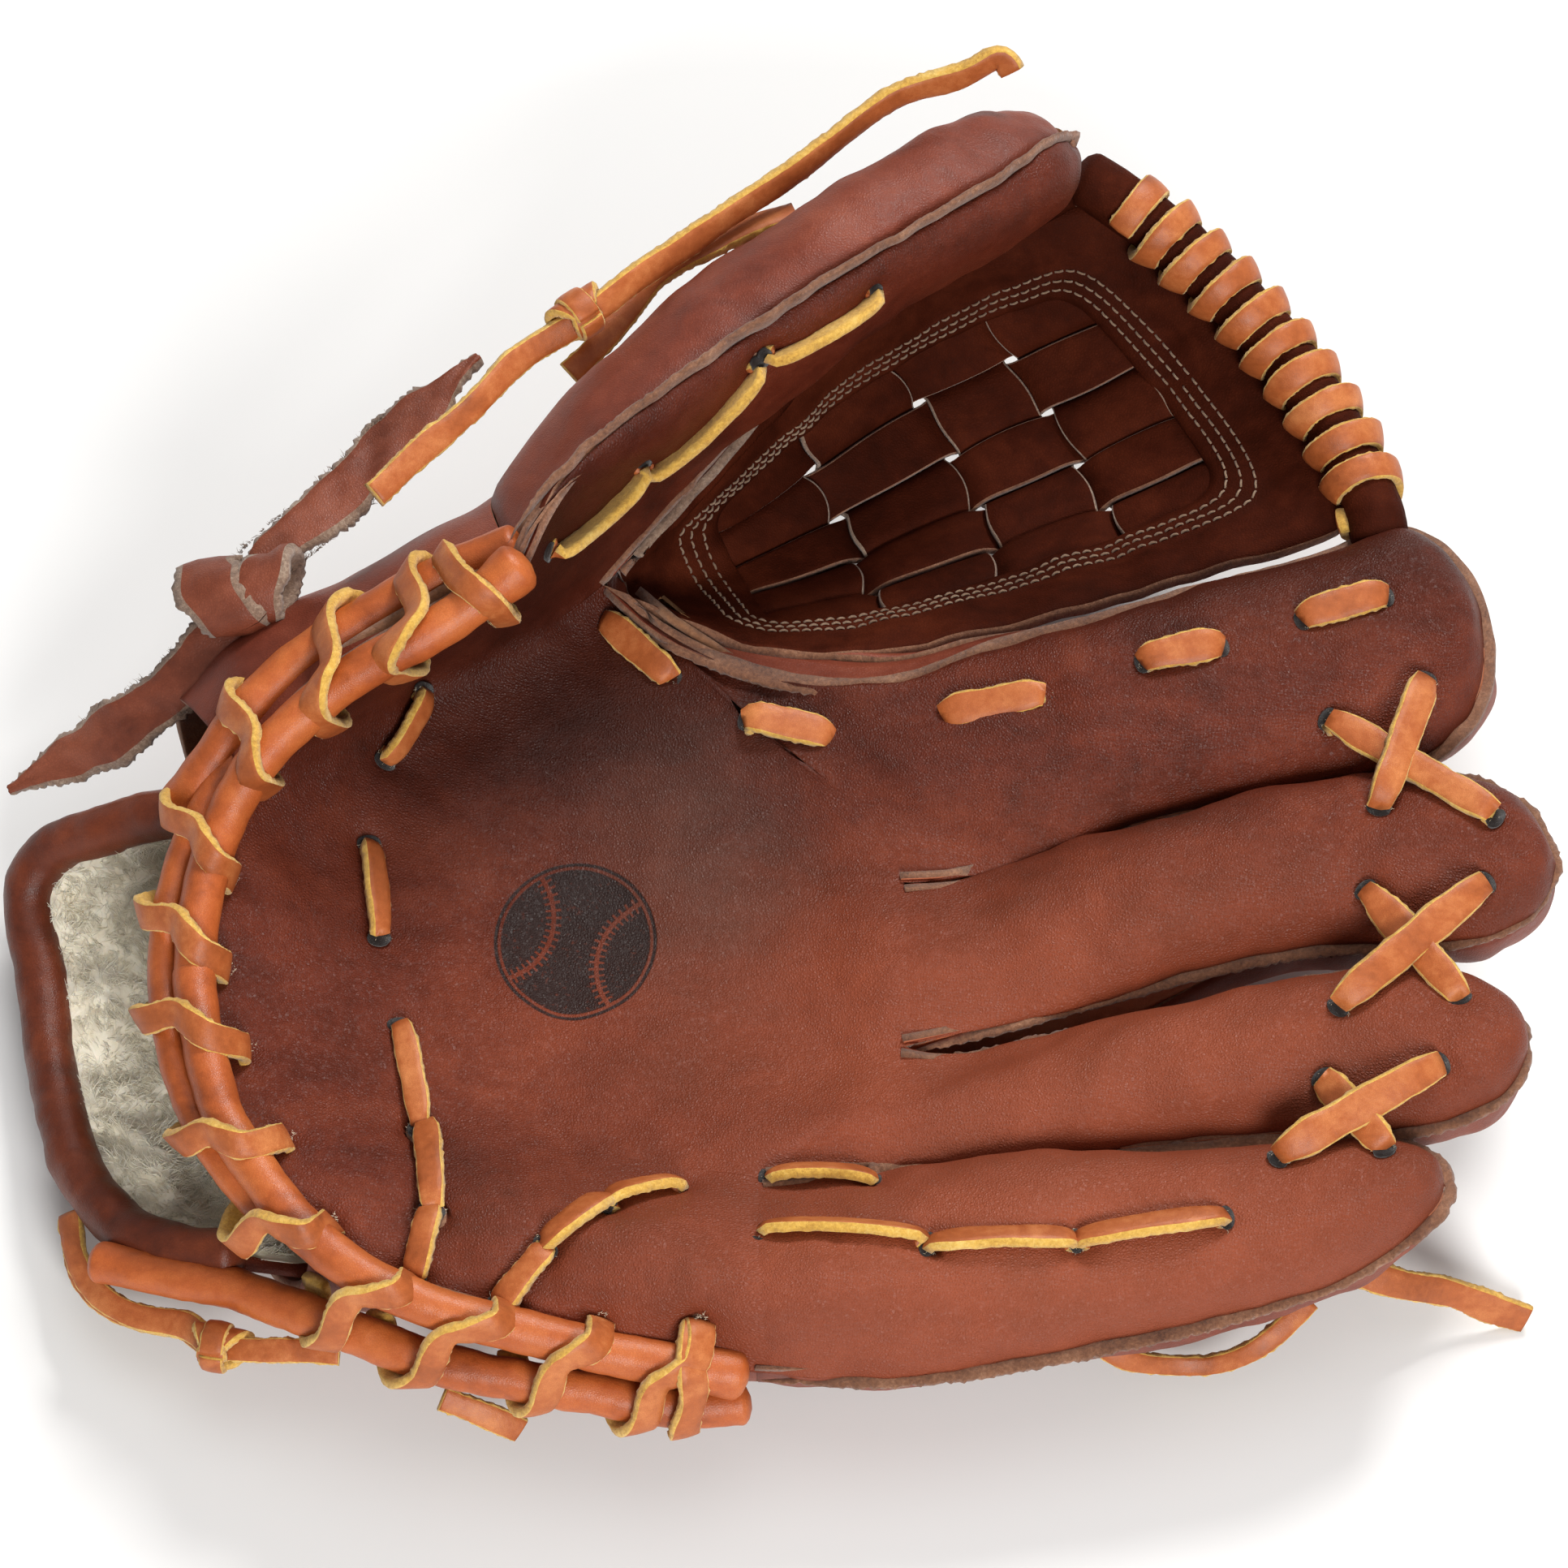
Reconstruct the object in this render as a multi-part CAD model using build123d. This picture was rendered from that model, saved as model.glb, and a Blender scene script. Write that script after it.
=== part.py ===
from build123d import *
import os
import numpy as np

# Fielder's glove for the left hand, lying on its back with the pocket facing +Z.
# Fingers point along +X, the thumb and web are on the +Y side, millimetres.
# The origin is the middle of the flat patch under the palm that it rests on.

os.makedirs("parts", exist_ok=True)

# ---- driving dimensions (mm) ----
LEATHER_T = 2.6          # palm and back shell leather
BINDING_R = 4.3          # rolled leather bindings round the heel
REAR_ROLL_R = 3.1        # thinner roll behind the heel binding
STRAP_TUBE_R = 4.6       # rolled edge of the wrist strap
WEB_ROLL_R = 6.0         # roll along the top of the web
LACE_W = 5.6             # rawhide lace width
THUMB_LACE_W = 3.6       # narrower lace along the thumb
LACE_T = 1.5             # rawhide lace thickness
TIE_T = 2.2              # wrist tie thickness
PAD_T = 4.6              # felt pad under the palm leather
THUMB_PAD_T = 2.0
LINING_T = 1.0           # inner glove lining
WELT_T = 1.5             # welt strip between front and back of a stall
WELT_IN = 1.5            # how far a welt reaches inside the seam
WELT_OUT = 1.3           # how far a welt stands proud
THUMB_WELT_OUT = 2.4
WEB_T = 2.2              # web border leather
SLAT_T = 1.5             # woven web strips
SLAT_W = 8.6
CROSS_SLAT_W = .82 * SLAT_W
STRAP_T = 2.8
STRAP_MIN_Z = 4.2        # lowest height of the strap's upper face
FLEECE_T = 7.2
REST_PATCH = (33.0, 25.0)   # half lengths in x and y of the flat oval the glove lies on
CROSS_GAP = 5.0          # width left open across a fold line on the back
FINGER_GAP = 1.7         # leather stands in from each finger's edge line
SEAM_IN = .4             # further inset of leather and welt, on the thumb too

UP = (0, 0, 1)
DOWN = (0, 0, -1)
THUMB_FRONT = (.4, -.8, .3)   # rough outward direction of the thumb's front leather
THUMB_BACK = (0, 1, -.3)
PINKY_BACK = (0, -.4, -1)

ACROSS = 9               # grid points across one strip or stall
# stall stations: share of the way from the tip (0) back to the crotch (1)
STALL_Q = np.linspace(1, .09, 18) ** 1.5

# crown height over each stall's edge plane: (share of the way from crotch to tip, height)
CROWN = {
    "front": {
        "thumb": [(0, 8.5), (.3, 9), (.7, 9), (1, 9)],
        "index": [(0, 10), (.3, 14), (.7, 14), (1, 13)],
        "middle": [(0, 10), (.3, 14), (.7, 14), (1, 13)],
        "ring": [(0, 9), (.3, 14), (.7, 14), (1, 12)],
        "pinky": [(0, 13), (.3, 16), (.7, 15), (1, 13)],
    },
    "back": {
        "thumb": [(0, 24), (.3, 24), (.7, 22), (1, 19)],
        "index": [(0, 39), (.3, 29), (.7, 22), (1, 18)],
        "middle": [(0, 39), (.3, 29), (.7, 22), (1, 18)],
        "ring": [(0, 38), (.3, 28), (.7, 21), (1, 18)],
        "pinky": [(0, 30), (.3, 25), (.7, 20), (1, 17)],
    },
}

# Padding and lining of each stall: lining start and pad start from the leather's crotch end,
# pad end short of the tip, gap over the pad, pad thickness, gap under the back leather
INNERS = {
    "thumb": (8, 16, 18, 2.8, THUMB_PAD_T, 1.1),
    "index": (30, 30, 10, .8, PAD_T, 1.1),
    "middle": (16, 16, 10, .8, PAD_T, 1.1),
    "ring": (16, 16, 10, .8, PAD_T, 1.1),
    "pinky": (8, 8, 10, .8, PAD_T, 1.8),
}

# Palm face points (x, y, z): five stations from the heel to the finger crotches,
# each with eleven lines from the thumb edge to the little-finger edge.
PALM = [
    [[-117.42,-10.66,74], [-118.7,-15.18,68], [-121.29,-18.9,64], [-123.6,-26.75,61],
     [-124.35,-36.4,59], [-123.87,-47.99,58], [-122.25,-61.51,57], [-118.54,-75.88,56],
     [-111.8,-91.63,56], [-105.03,-103.17,55], [-98.74,-111.24,52]],
    [[-104.26,2.78,80], [-101.61,2.74,66], [-100.64,0.03,57], [-95.5,-7.57,49],
     [-92.59,-20.76,45], [-91.23,-35.66,44], [-90.61,-51.95,45], [-88.23,-68.64,46],
     [-84.35,-86.2,49], [-83.15,-105.97,53], [-82.79,-121.72,50]],
    [[-90.42,9.94,87], [-84.31,16.85,67], [-80.13,19.51,52], [-62.23,6.27,42],
     [-51.12,-15.79,38.5], [-50.84,-31.81,37.5], [-50.42,-50.4,39.5], [-51.78,-69.15,40.5],
     [-54.78,-86.61,44], [-57.34,-112.35,53], [-60.63,-128.45,46]],
    [[-73.65,16.65,94], [-66.97,27,71], [-59.02,36.5,50], [-31.76,16.29,43],
     [-11.78,-17.85,39.5], [-11.7,-37.84,39], [-11.6,-56.66,40.5], [-20.23,-75.7,41.5],
     [-28.75,-90.79,43], [-29.92,-119.17,55], [-33.39,-134.41,42]],
    [[-57.01,25.26,100], [-48.83,37.76,77], [-40.25,52.4,50], [-2.87,13.54,49],
     [26.29,-22.01,45], [25.29,-44.94,49], [25.88,-63.26,45], [11.08,-82.26,49],
     [-4.49,-95.42,45], [-6.09,-125.95,57], [-6.14,-138.35,37]],
]
# back of the hand, the same layout
BACK = [
    [[-117,-11,74], [-132,14,62], [-136,24,36], [-130,6,13], [-128,-16,6], [-126,-36,4],
     [-124,-54,4], [-122,-72,4], [-116,-92,7], [-106,-110,20], [-99,-111,52]],
    [[-104,3,80], [-118,28,68], [-118,36,36], [-104,14,11], [-94,-12,3.5], [-92,-35,2.5],
     [-90,-53,2.5], [-90,-71,2.5], [-88,-90,4], [-84,-114,17], [-83,-122,50]],
    [[-90,10,87], [-100,38,72], [-94,48,36], [-72,20,9], [-55,-10,2.5], [-52,-34,2],
     [-50,-52,2], [-52,-70,2], [-55,-88,4], [-58,-116,14], [-60.6,-128.5,46]],
    [[-74,17,94], [-82,47,76], [-70,58,40], [-45,28,9], [-15,-15,2.5], [-12,-38,2.5],
     [-13,-56,3], [-20,-74,3], [-30,-90,6], [-32,-122,12], [-33.4,-134.4,42]],
    [[-57,25,100], [-64,56,80], [-42,66,44], [-12,24,6], [26,-20,6], [27,-42,3.5],
     [24,-63,7], [11,-79,4.5], [-5,-95,11], [-6,-119,9], [-6,-138,37]],
]
# The two edge lines (x, y, z) of each stall, crotch to tip: the +Y edge first
# (on the thumb, the edge that starts higher first).
STALL = {
    "thumb": (
        [[-57.01,25.26,100], [-54.41,31.04,103], [-48.41,41.84,105.5], [-39.89,50.57,108],
         [-29.06,59.91,110], [-12.91,73.22,112], [0,83.64,113], [16.38,95.25,114],
         [33.13,108.23,113], [49.97,122.89,110], [60.03,135.71,104], [64.91,142.68,95]],
        [[-40.25,52.4,50], [-32.02,59.32,56], [-19.31,72.85,62], [-6.58,88.75,66],
         [6.23,102.97,70], [20.4,114.38,73], [34.04,121.74,76], [48.59,129.28,80],
         [59.55,134.85,86], [64.91,142.68,95]],
    ),
    "index": (
        [[-40.25,52.4,50], [-30.13,42.15,49], [-15.57,33.81,48.5], [6.14,27.13,48.5],
         [27.81,27.88,49], [44.53,35.1,49.5], [67.09,41.6,50.5], [87.92,47.9,51.5],
         [106.44,53.25,52], [124.66,59.16,53], [139.93,63.54,54], [148.48,57.26,54.5],
         [154.16,46.22,55], [156.12,33.23,55]],
        [[26.29,-22.01,45], [43.87,-17.72,41], [66.18,-9.98,41], [88.29,-4.39,42.5],
         [110.36,0.59,45], [128.03,3.25,47.5], [142.35,7.18,50], [150,12.7,52],
         [154.84,22.07,54], [156.12,33.23,55]],
    ),
    "middle": (
        [[26.29,-22.01,45], [43.87,-17.72,41], [66.18,-9.98,41], [88.29,-4.39,42.5],
         [110.36,0.59,45], [131.33,2.09,48], [148.94,0.95,50.5], [159.02,-4.19,52],
         [166,-14.11,52.5], [167.88,-23.44,52.5]],
        [[25.88,-63.06,45], [43.19,-57.52,42], [65.14,-50.95,41.5], [86.93,-45.21,42.5],
         [108.66,-40.87,44.5], [124.95,-40.21,46.5], [143.02,-40.86,49],
         [154.64,-38.28,50.5], [163.35,-32.52,51.5], [167.88,-23.44,52.5]],
    ),
    "ring": (
        [[25.87,-63.66,45], [37.51,-63.4,41], [54.08,-60.21,40], [75.82,-55.16,40],
         [97.75,-49.73,41.5], [119.41,-45.89,44], [136.14,-45.31,46.5], [146.02,-48.62,48],
         [154.71,-54.27,49], [158.7,-62.61,49.5], [159.05,-68.22,49.5]],
        [[-4.49,-95.42,45], [21.3,-92.22,42], [42.68,-90.22,40.5], [64.24,-88.44,40.5],
         [85.59,-87.02,41.5], [104.82,-85.66,43], [123.74,-85.97,45], [138.7,-84.9,47],
         [150.23,-80.79,48.5], [156.6,-74.92,49], [159.05,-68.22,49.5]],
    ),
    "pinky": (
        [[-4.49,-95.42,45], [21.31,-92.02,42], [42.67,-90.1,41], [64.22,-88.32,41],
         [85.58,-87.41,41.5], [104.81,-86.58,42.5], [116.9,-86.33,43.5],
         [127.2,-86.88,44.5], [135.64,-89.4,45.5], [140.19,-94,46], [140.95,-99.09,46]],
        [[-6.14,-138.35,37], [20.99,-138.67,36.5], [42,-137.02,37], [63.22,-133.33,38],
         [84.3,-128.93,39.5], [105.48,-122.99,41], [121.54,-116.91,43],
         [132.18,-110.23,45], [138.56,-104.94,46], [140.95,-99.09,46]],
    ),
}
# Centre lines (x, y, z) of the rolled bindings, from the thumb side to the little finger
HEEL_ROLL = [
    [-57.62,22.9,101], [-65.68,17.59,97], [-76.17,11.45,93], [-88.51,6.78,88],
    [-100.05,1.49,82], [-110.52,-7.37,77], [-117.52,-15.61,72], [-122.19,-24.87,67],
    [-125.01,-36.34,64], [-126.29,-50.77,61], [-125.01,-64.23,60], [-122.03,-77.57,59],
    [-117.74,-89.8,58], [-110.43,-101.54,57], [-101.58,-112.45,55], [-91.16,-121,53],
    [-79.16,-127.21,51], [-63.89,-131.38,48], [-48.64,-134.03,45], [-32.51,-136.69,42],
    [-18.05,-138.34,40], [-10.4,-138.85,38],
]
REAR_THUMB_ROLL = [
    [-58.65,31.09,97], [-66.11,29.73,94], [-78.55,26.31,89], [-90.98,21.17,84],
    [-103.39,14.75,79], [-115.33,5.38,74], [-124.09,-5.43,68], [-131.49,-11.25,60],
]
REAR_SHIFT = np.array([-1.6, 0, -1.4])   # sets the middle rear roll further back and down
REAR_MIDDLE_ROLL = np.array([
    [-117.31,-3.98,70], [-123.83,-13.94,66], [-128.88,-24.89,62], [-131.83,-37.42,59],
    [-132.37,-50.44,57], [-130.9,-63.93,56], [-127.93,-76.31,55], [-123.31,-87.59,54],
    [-116.88,-97.81,53], [-108.83,-106.99,52],
]) + REAR_SHIFT
REAR_PINKY_ROLL = [
    [-146.56,-105.2,24], [-130.11,-110.62,28], [-113.6,-116.59,32], [-102.46,-122.59,35],
    [-91.66,-128.04,37], [-75.52,-134.73,37], [-59.81,-137.92,35], [-38.79,-140.91,33],
    [-17.62,-142.46,30], [-9.24,-141.7,30],
]
# centre line of the strap's rolled edge
STRAP_ROLL = [
    [-130.18,-7.14,50], [-142.48,-4.91,43], [-153.01,-4.19,36], [-163.33,-4.15,28],
    [-168.03,-7.91,22], [-166.11,-23.74,15], [-163.11,-43.39,13], [-158.21,-65.01,15],
    [-153.32,-79.78,18], [-145.75,-91.91,22], [-136.16,-100.95,26], [-120.7,-106.53,31],
    [-106.3,-111.31,36],
]
# the strap's other edge, under the hand
STRAP_INNER = [
    [-112,-2,34], [-112,-14,17], [-108,-32,8.5], [-106,-52,6.5], [-104,-70,7],
    [-100,-88,11], [-98,-104,24],
]
# centre line of the roll along the top of the web, thumb to index finger
WEB_ROLL = [
    [67.39,145.21,80], [71.51,143.72,78], [78.57,139.74,75], [87.25,133.91,72],
    [95.68,126.48,69], [104.24,118.15,66], [112.02,109.17,63], [119.08,98.6,61],
    [125.5,86.97,59], [130.28,76.32,57], [133.14,65.93,56], [133.61,59.12,55],
]
# Web face points: five stations from the crotch to the top roll, each with five lines
# from the index finger to the thumb
WEB = np.array([
    [[-34.19,48.9,50], [-35.43,53.76,46], [-36.22,56.62,45], [-36.89,56.59,48],
     [-37.09,54.53,54]],
    [[3.45,37.39,45], [-3.87,58.67,33], [-10.02,72.25,31], [-14.97,78.87,41],
     [-17.22,77.46,56]],
    [[44.85,44.36,43], [41.62,73.6,29], [34.53,97.57,27], [23.25,112.73,38],
     [11.83,111.07,61]],
    [[89.43,57.27,46], [84.32,83.43,36], [71.06,109.56,36], [55.54,127.73,46],
     [41.57,131.2,67]],
    [[132.18,65.53,54], [126.4,83.45,57], [113.2,110.66,60], [92.61,131.2,67],
     [69.35,142.93,76]],
])
# Surface lace runs: rows of x, y, z and the leather normal there
LACE = {
    "palm": [
        [[-79.21,21.26,53.61,.638,-.709,.301], [-80.62,19.25,52.31,.639,-.644,.42],
         [-82,16.98,51.4,.609,-.566,.556], [-83.37,14.56,50.75,.584,-.494,.644],
         [-84.71,12.02,50.28,.532,-.418,.737], [-86.06,9.43,49.9,.491,-.316,.811],
         [-87.39,6.79,49.61,.496,-.357,.791]],
        [[-90.87,-12.85,45.69,.333,-.217,.918], [-90.43,-16.25,44.93,.318,-.166,.933],
         [-90,-19.7,44.28,.295,-.124,.947], [-89.55,-23.24,43.78,.279,-.084,.957],
         [-89.09,-26.86,43.41,.269,-.039,.962], [-88.62,-30.54,43.19,.265,-.011,.964],
         [-88.15,-34.31,43.11,.257,.021,.966]],
        [[-82.96,-57.28,43.7,.196,.077,.978], [-82.11,-61.51,43.88,.198,.089,.976],
         [-81.26,-65.78,44.14,.189,.109,.976], [-80.41,-70.11,44.53,.194,.147,.97],
         [-79.55,-74.52,45.1,.196,.184,.963], [-78.67,-79.04,45.89,.192,.242,.951],
         [-77.79,-83.7,46.98,.18,.285,.942]],
    ],
    "pinky_heel": [
        [[-75.69,-91.96,49.45,.146,.341,.929], [-75.24,-96.13,50.82,.101,.303,.948],
         [-74.82,-100.12,51.88,.103,.256,.961], [-74.43,-103.83,52.45,.032,.126,.992],
         [-74.06,-107.31,52.61,.003,-.041,.999]],
        [[-74.57,-107.31,52.61,.003,-.041,.999], [-75.04,-109.84,52.51,.01,-.042,.999],
         [-75.53,-112.22,52.15,-.005,-.174,.985]],
        [[-22.07,-97.55,45.68,.05,.445,.894], [-24.61,-98.49,46.35,.07,.496,.866],
         [-27.14,-99.51,47.14,.075,.497,.864], [-29.67,-100.55,47.99,.086,.513,.854],
         [-32.19,-101.62,48.89,.092,.51,.855], [-34.7,-102.68,49.78,.085,.506,.859],
         [-37.22,-103.69,50.56,.078,.465,.882]],
    ],
    "index": [
        [[-40.23,45.46,46.3,.194,-.276,.941], [-37.79,43.34,45.66,.025,-.141,.99],
         [-35.34,41.05,45.27,.025,-.141,.99], [-32.89,38.51,45.29,-.104,-.079,.991],
         [-30.43,35.94,45.34,-.104,-.079,.991], [-27.99,33.3,45.53,-.2,-.086,.976],
         [-25.54,30.61,45.8,-.2,-.086,.976]],
        [[-8.28,18.16,48.45,-.28,-.143,.949], [-5.26,17.37,48.35,.362,.407,.839],
         [-2.24,17.21,47.28,.202,.297,.933], [.8,16.69,46.76,.222,.321,.921],
         [3.82,15.89,46.67,.054,.161,.986], [6.86,15.05,46.65,.054,.161,.986],
         [9.88,14.13,46.75,-.014,.097,.995]],
        [[35.4,17.61,50.64,-.203,-.074,.976], [39.06,17.97,51.48,-.214,-.085,.973],
         [42.73,18.31,52.32,-.226,-.094,.97], [46.39,18.64,53.2,-.226,-.095,.97],
         [50.05,18.95,54.1,-.238,-.103,.966], [53.71,19.24,55.03,-.238,-.103,.966],
         [57.36,19.51,55.98,-.247,-.108,.963]],
        [[79.52,25.43,61.02,-.117,-.063,.991], [82.26,25.84,61.37,-.117,-.063,.991],
         [85.01,26.28,61.67,-.073,-.05,.996], [87.76,26.78,61.9,-.07,-.046,.996],
         [90.51,27.31,62.07,-.049,-.041,.998], [93.27,27.85,62.22,-.047,-.035,.998],
         [96.03,28.4,62.37,-.047,-.035,.998]],
        [[115.03,34.85,63.66,-.085,-.002,.996], [117.98,35.68,63.91,-.091,.002,.996],
         [120.93,36.51,64.18,-.096,.006,.995], [123.88,37.33,64.46,-.101,.01,.995],
         [126.82,38.14,64.76,-.105,.014,.994], [129.77,38.94,65.06,-.108,.017,.994],
         [132.72,39.75,65.35,-.076,-.055,.996]],
    ],
    "pinky": [
        [[-3.11,-95.33,44.83,.114,.066,.991], [.6,-95.21,44.43,.064,.191,.98],
         [4.32,-95.16,44.16,.07,.245,.967], [8.03,-95.2,44.05,.015,.349,.937],
         [11.75,-95.35,44.15,-.016,.39,.921], [15.46,-95.59,44.41,-.063,.401,.914],
         [19.16,-95.92,44.85,-.094,.443,.892]],
        [[-4.61,-112.22,52.77,.04,.473,.88], [1.08,-112.5,52.69,.023,.465,.885],
         [6.77,-112.85,52.75,.004,.451,.893], [12.45,-113.28,52.95,-.018,.433,.901],
         [18.13,-113.71,53.15,-.02,.256,.967], [23.81,-114.15,53.38,-.042,.228,.973],
         [29.48,-114.65,53.72,-.062,.198,.978]],
        [[30.47,-116.41,54.13,-.062,.198,.978], [35.52,-116.34,54.36,-.079,.167,.983],
         [40.57,-116.3,54.64,-.064,.138,.988], [45.61,-116.19,54.8,-.031,-.102,.994],
         [50.66,-116.06,54.92,-.013,-.103,.995], [55.71,-115.86,54.91,.01,-.104,.995],
         [60.77,-115.66,54.89,.003,-.106,.994]],
        [[61.79,-115.66,54.89,.002,-.106,.994], [66.89,-114.83,55.01,-.015,-.106,.994],
         [71.98,-114.02,55.18,-.016,-.1,.995], [77.08,-113.22,55.37,-.023,-.098,.995],
         [82.18,-112.42,55.55,-.021,-.093,.995], [87.28,-111.62,55.73,-.02,-.091,.996],
         [92.38,-110.81,55.91,-.021,-.09,.996]],
    ],
    "thumb": [
        [[-49.86,35.47,88.33,.854,-.519,.033], [-46.72,40.26,86.64,.821,-.571,-.004],
         [-43.55,44.8,85.32,.751,-.653,-.096], [-40.33,48.7,84.98,.77,-.636,-.052],
         [-37.06,51.82,85.77,.688,-.718,-.101], [-33.77,54.47,87.27,.634,-.762,-.132],
         [-30.46,56.81,89.2,.612,-.777,-.143]],
        [[-29.48,58.33,85.14,.612,-.778,-.143], [-25.44,60.92,88.14,.6,-.786,-.149],
         [-21.4,63.3,91.41,.587,-.794,-.16], [-17.37,65.74,94.59,.574,-.812,-.101],
         [-13.35,68.15,97.8,.57,-.815,-.109], [-9.34,70.77,100.71,.572,-.819,-.042],
         [-5.33,73.55,103.39,.576,-.816,.049]],
        [[-3.02,75.28,104.92,.583,-.811,.053], [.86,78.08,104.99,.58,-.813,.049],
         [4.75,80.85,105.11,.575,-.817,.042], [8.65,83.6,105.25,.574,-.818,.033],
         [12.55,86.41,105.33,.596,-.803,.026], [16.46,89.28,105.33,.589,-.808,.005],
         [20.39,92.17,105.3,.595,-.804,0]],
    ],
    "index_middle": [
        [[140.78,18.75,63.09,-.068,-.296,.953], [139.03,14.47,61.33,-.01,-.416,.909],
         [137.35,10.5,59.1,.056,-.563,.825], [135.75,7,56.13,.12,-.736,.666],
         [134.36,4.65,51.32,.243,-.968,.065], [131.45,-6.12,59.97,-.125,.434,.892],
         [129.41,-12.17,61.15,-.137,.141,.981]],
        [[119.82,10.82,59.27,-.015,-.461,.887], [125.84,7.81,57.57,.016,-.595,.803],
         [131.97,5.44,54.88,.072,-.752,.655], [138.34,-1.08,57.76,-.088,.605,.791],
         [142.78,-6.9,61.6,-.047,.42,.906], [148.31,-12.02,63.36,-.092,.135,.987],
         [153.91,-16.65,64.36,.007,.128,.992]],
    ],
    "middle_ring": [
        [[151.09,-32.79,61.83,-.025,-.521,.853], [145.9,-36.3,59.3,-.034,-.663,.748],
         [140.82,-39.24,55.79,-.072,-.807,.586], [136.01,-40.75,49.85,-.054,-.996,.072],
         [129.89,-49.07,55.47,-.104,.641,.761], [124.2,-55.41,57.79,-.15,.312,.938],
         [118.75,-60.5,58.04,-.133,.054,.99]],
        [[125.96,-32.71,58.64,-.137,-.459,.878], [129.24,-36.12,57.12,-.14,-.629,.765],
         [132.62,-39.01,54.71,-.13,-.801,.585], [136.23,-40.73,50.33,-.054,-.996,.072],
         [139.29,-48.71,54.78,.15,.783,.604], [141.44,-54.19,58.64,.039,.454,.89],
         [144.29,-59.46,60.39,-.014,.165,.986]],
    ],
    "ring_pinky": [
        [[139.16,-75.94,59.27,-.059,-.326,.944], [133.48,-78.7,57.67,-.074,-.473,.878],
         [127.86,-81.23,55.68,-.085,-.635,.768], [122.3,-83.38,52.98,-.083,-.803,.59],
         [116.83,-84.98,49.29,-.067,-.935,.348], [110.54,-91.28,54.11,-.078,.518,.852],
         [104.6,-95.8,55.75,-.097,.318,.943]],
        [[114.82,-77.85,55.98,-.102,-.456,.884], [116.91,-80,55.12,-.11,-.456,.883],
         [119.04,-81.98,53.94,-.104,-.631,.769], [121.21,-83.72,52.35,-.083,-.803,.59],
         [123.44,-85.11,50.1,-.056,-.935,.35], [125.01,-90.02,54.26,.012,.759,.651],
         [126.71,-94.1,56.94,.024,.412,.911]],
    ],
}
# holes in the palm leather where the heel lace comes up
HEEL_HOLES = [
    [-62.6,27.37,78.48], [-80.71,18.07,72.29], [-97.99,6.17,66.54], [-111.72,-8.64,63.82],
    [-120.05,-29.08,57.73], [-120.21,-50.75,56.14], [-115.14,-69.58,54.35],
    [-105.72,-91.44,54.58], [-95.47,-110.85,52.72], [-78.53,-122.3,49.64],
    [-58.6,-126.81,46.89], [-38.64,-130.65,45.47], [-17.5,-132.18,47.32],
]
THUMB_TAIL = [
    [-89.56,43.88,92], [-79.23,55.03,93], [-65.36,70.64,94], [-51.33,85.31,95],
    [-40.62,92.28,97], [-29.94,101.64,97], [-17.39,112.87,97], [-1.09,124.95,99],
    [13.48,136.34,102], [28.05,143.93,107], [42.53,146.21,112], [48.3,147.16,114],
    [50.87,145.06,112],
]
# Loose laces and ties: part, centre line, shift, width direction, width, thickness, samples
CORDS = [
    ("strap_loop_lace",
     [[-152.89,-87.63,14], [-150.02,-100.55,14], [-142.74,-109.94,15],
      [-133.57,-114.88,17], [-125.16,-118.18,20], [-119.66,-124.63,22]],
     (-2, -4.5, -2), UP, LACE_W * .8, LACE_T, 16),
    ("thumb_back_lace", THUMB_TAIL, (0, 9, 3), (.55, -.6, .6), LACE_W, LACE_T, 40),
    ("wrist_tie",
     [[-112.09,43.9,73], [-101.67,54.05,74], [-89.46,67.97,76], [-78.89,79.79,78],
      [-68.25,91.7,80]],
     (0, 13, 2.5), (0, .5, .8), 12, TIE_T, 16),
    ("wrist_tie",
     [[-124.47,26.26,64], [-135.46,18.65,56], [-146.8,14.81,47], [-160.35,13.23,36],
      [-172.78,10.75,28]],
     (0, 10, 2.5), (-.3, .5, .8), 13, TIE_T, 16),
    # the shift fades out towards this lace's loose end
    ("pinky_back_lace",
     [[128.23,-105.27,20], [139.27,-104.5,14], [150.46,-104.22,7], [161.41,-105.99,2]],
     np.array([0, -5, -2.5]) * np.linspace(1, 0, 4)[:, None],
     (0, .8, .3), LACE_W + 1, LACE_T, 14),
    ("pinky_back_lace",
     [[72.01,-126.01,14], [82.73,-125.44,9], [93.22,-124.85,9], [100.87,-123.56,13]],
     (0, -1.5, -1), (0, .8, .3), LACE_W, LACE_T, 10),
    ("heel_tail_lace",
     [[-72.6,-135.42,22], [-63.22,-137.65,18], [-56.3,-138.44,13]],
     (0, -3.5, -2), (0, .5, .8), LACE_W, LACE_T, 8),
]
THUMB_KNOT_R = 6.0
THUMB_KNOT_SHIFT = (2, 17.5, 3)          # from the fifth point of the thumb tail
WRIST_KNOT_R = 7.0
WRIST_KNOT = np.array([[-131.89,42.13,66], [-119.11,40.18,72], [-106.53,42.55,75]])
WRIST_KNOT_SHIFT = (0, 9, 0)


# ---- curve helpers ----
def unit(v):
    v = np.asarray(v, float)
    return v / np.maximum(np.linalg.norm(v, axis=-1, keepdims=True), 1e-12)


def smooth(x):
    x = np.clip(x, 0, 1)
    return x * x * (3 - 2 * x)


def interpolate(t, known, points):
    """x, y, z at parameters t, read off points given at parameters known"""
    return np.stack([np.interp(t, known, points[:, k]) for k in range(3)], 1)


def distances(points):
    """distance of each point along a polyline"""
    steps = np.linalg.norm(np.diff(points, axis=0), axis=1)
    return np.concatenate([[0], np.cumsum(steps)])


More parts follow.
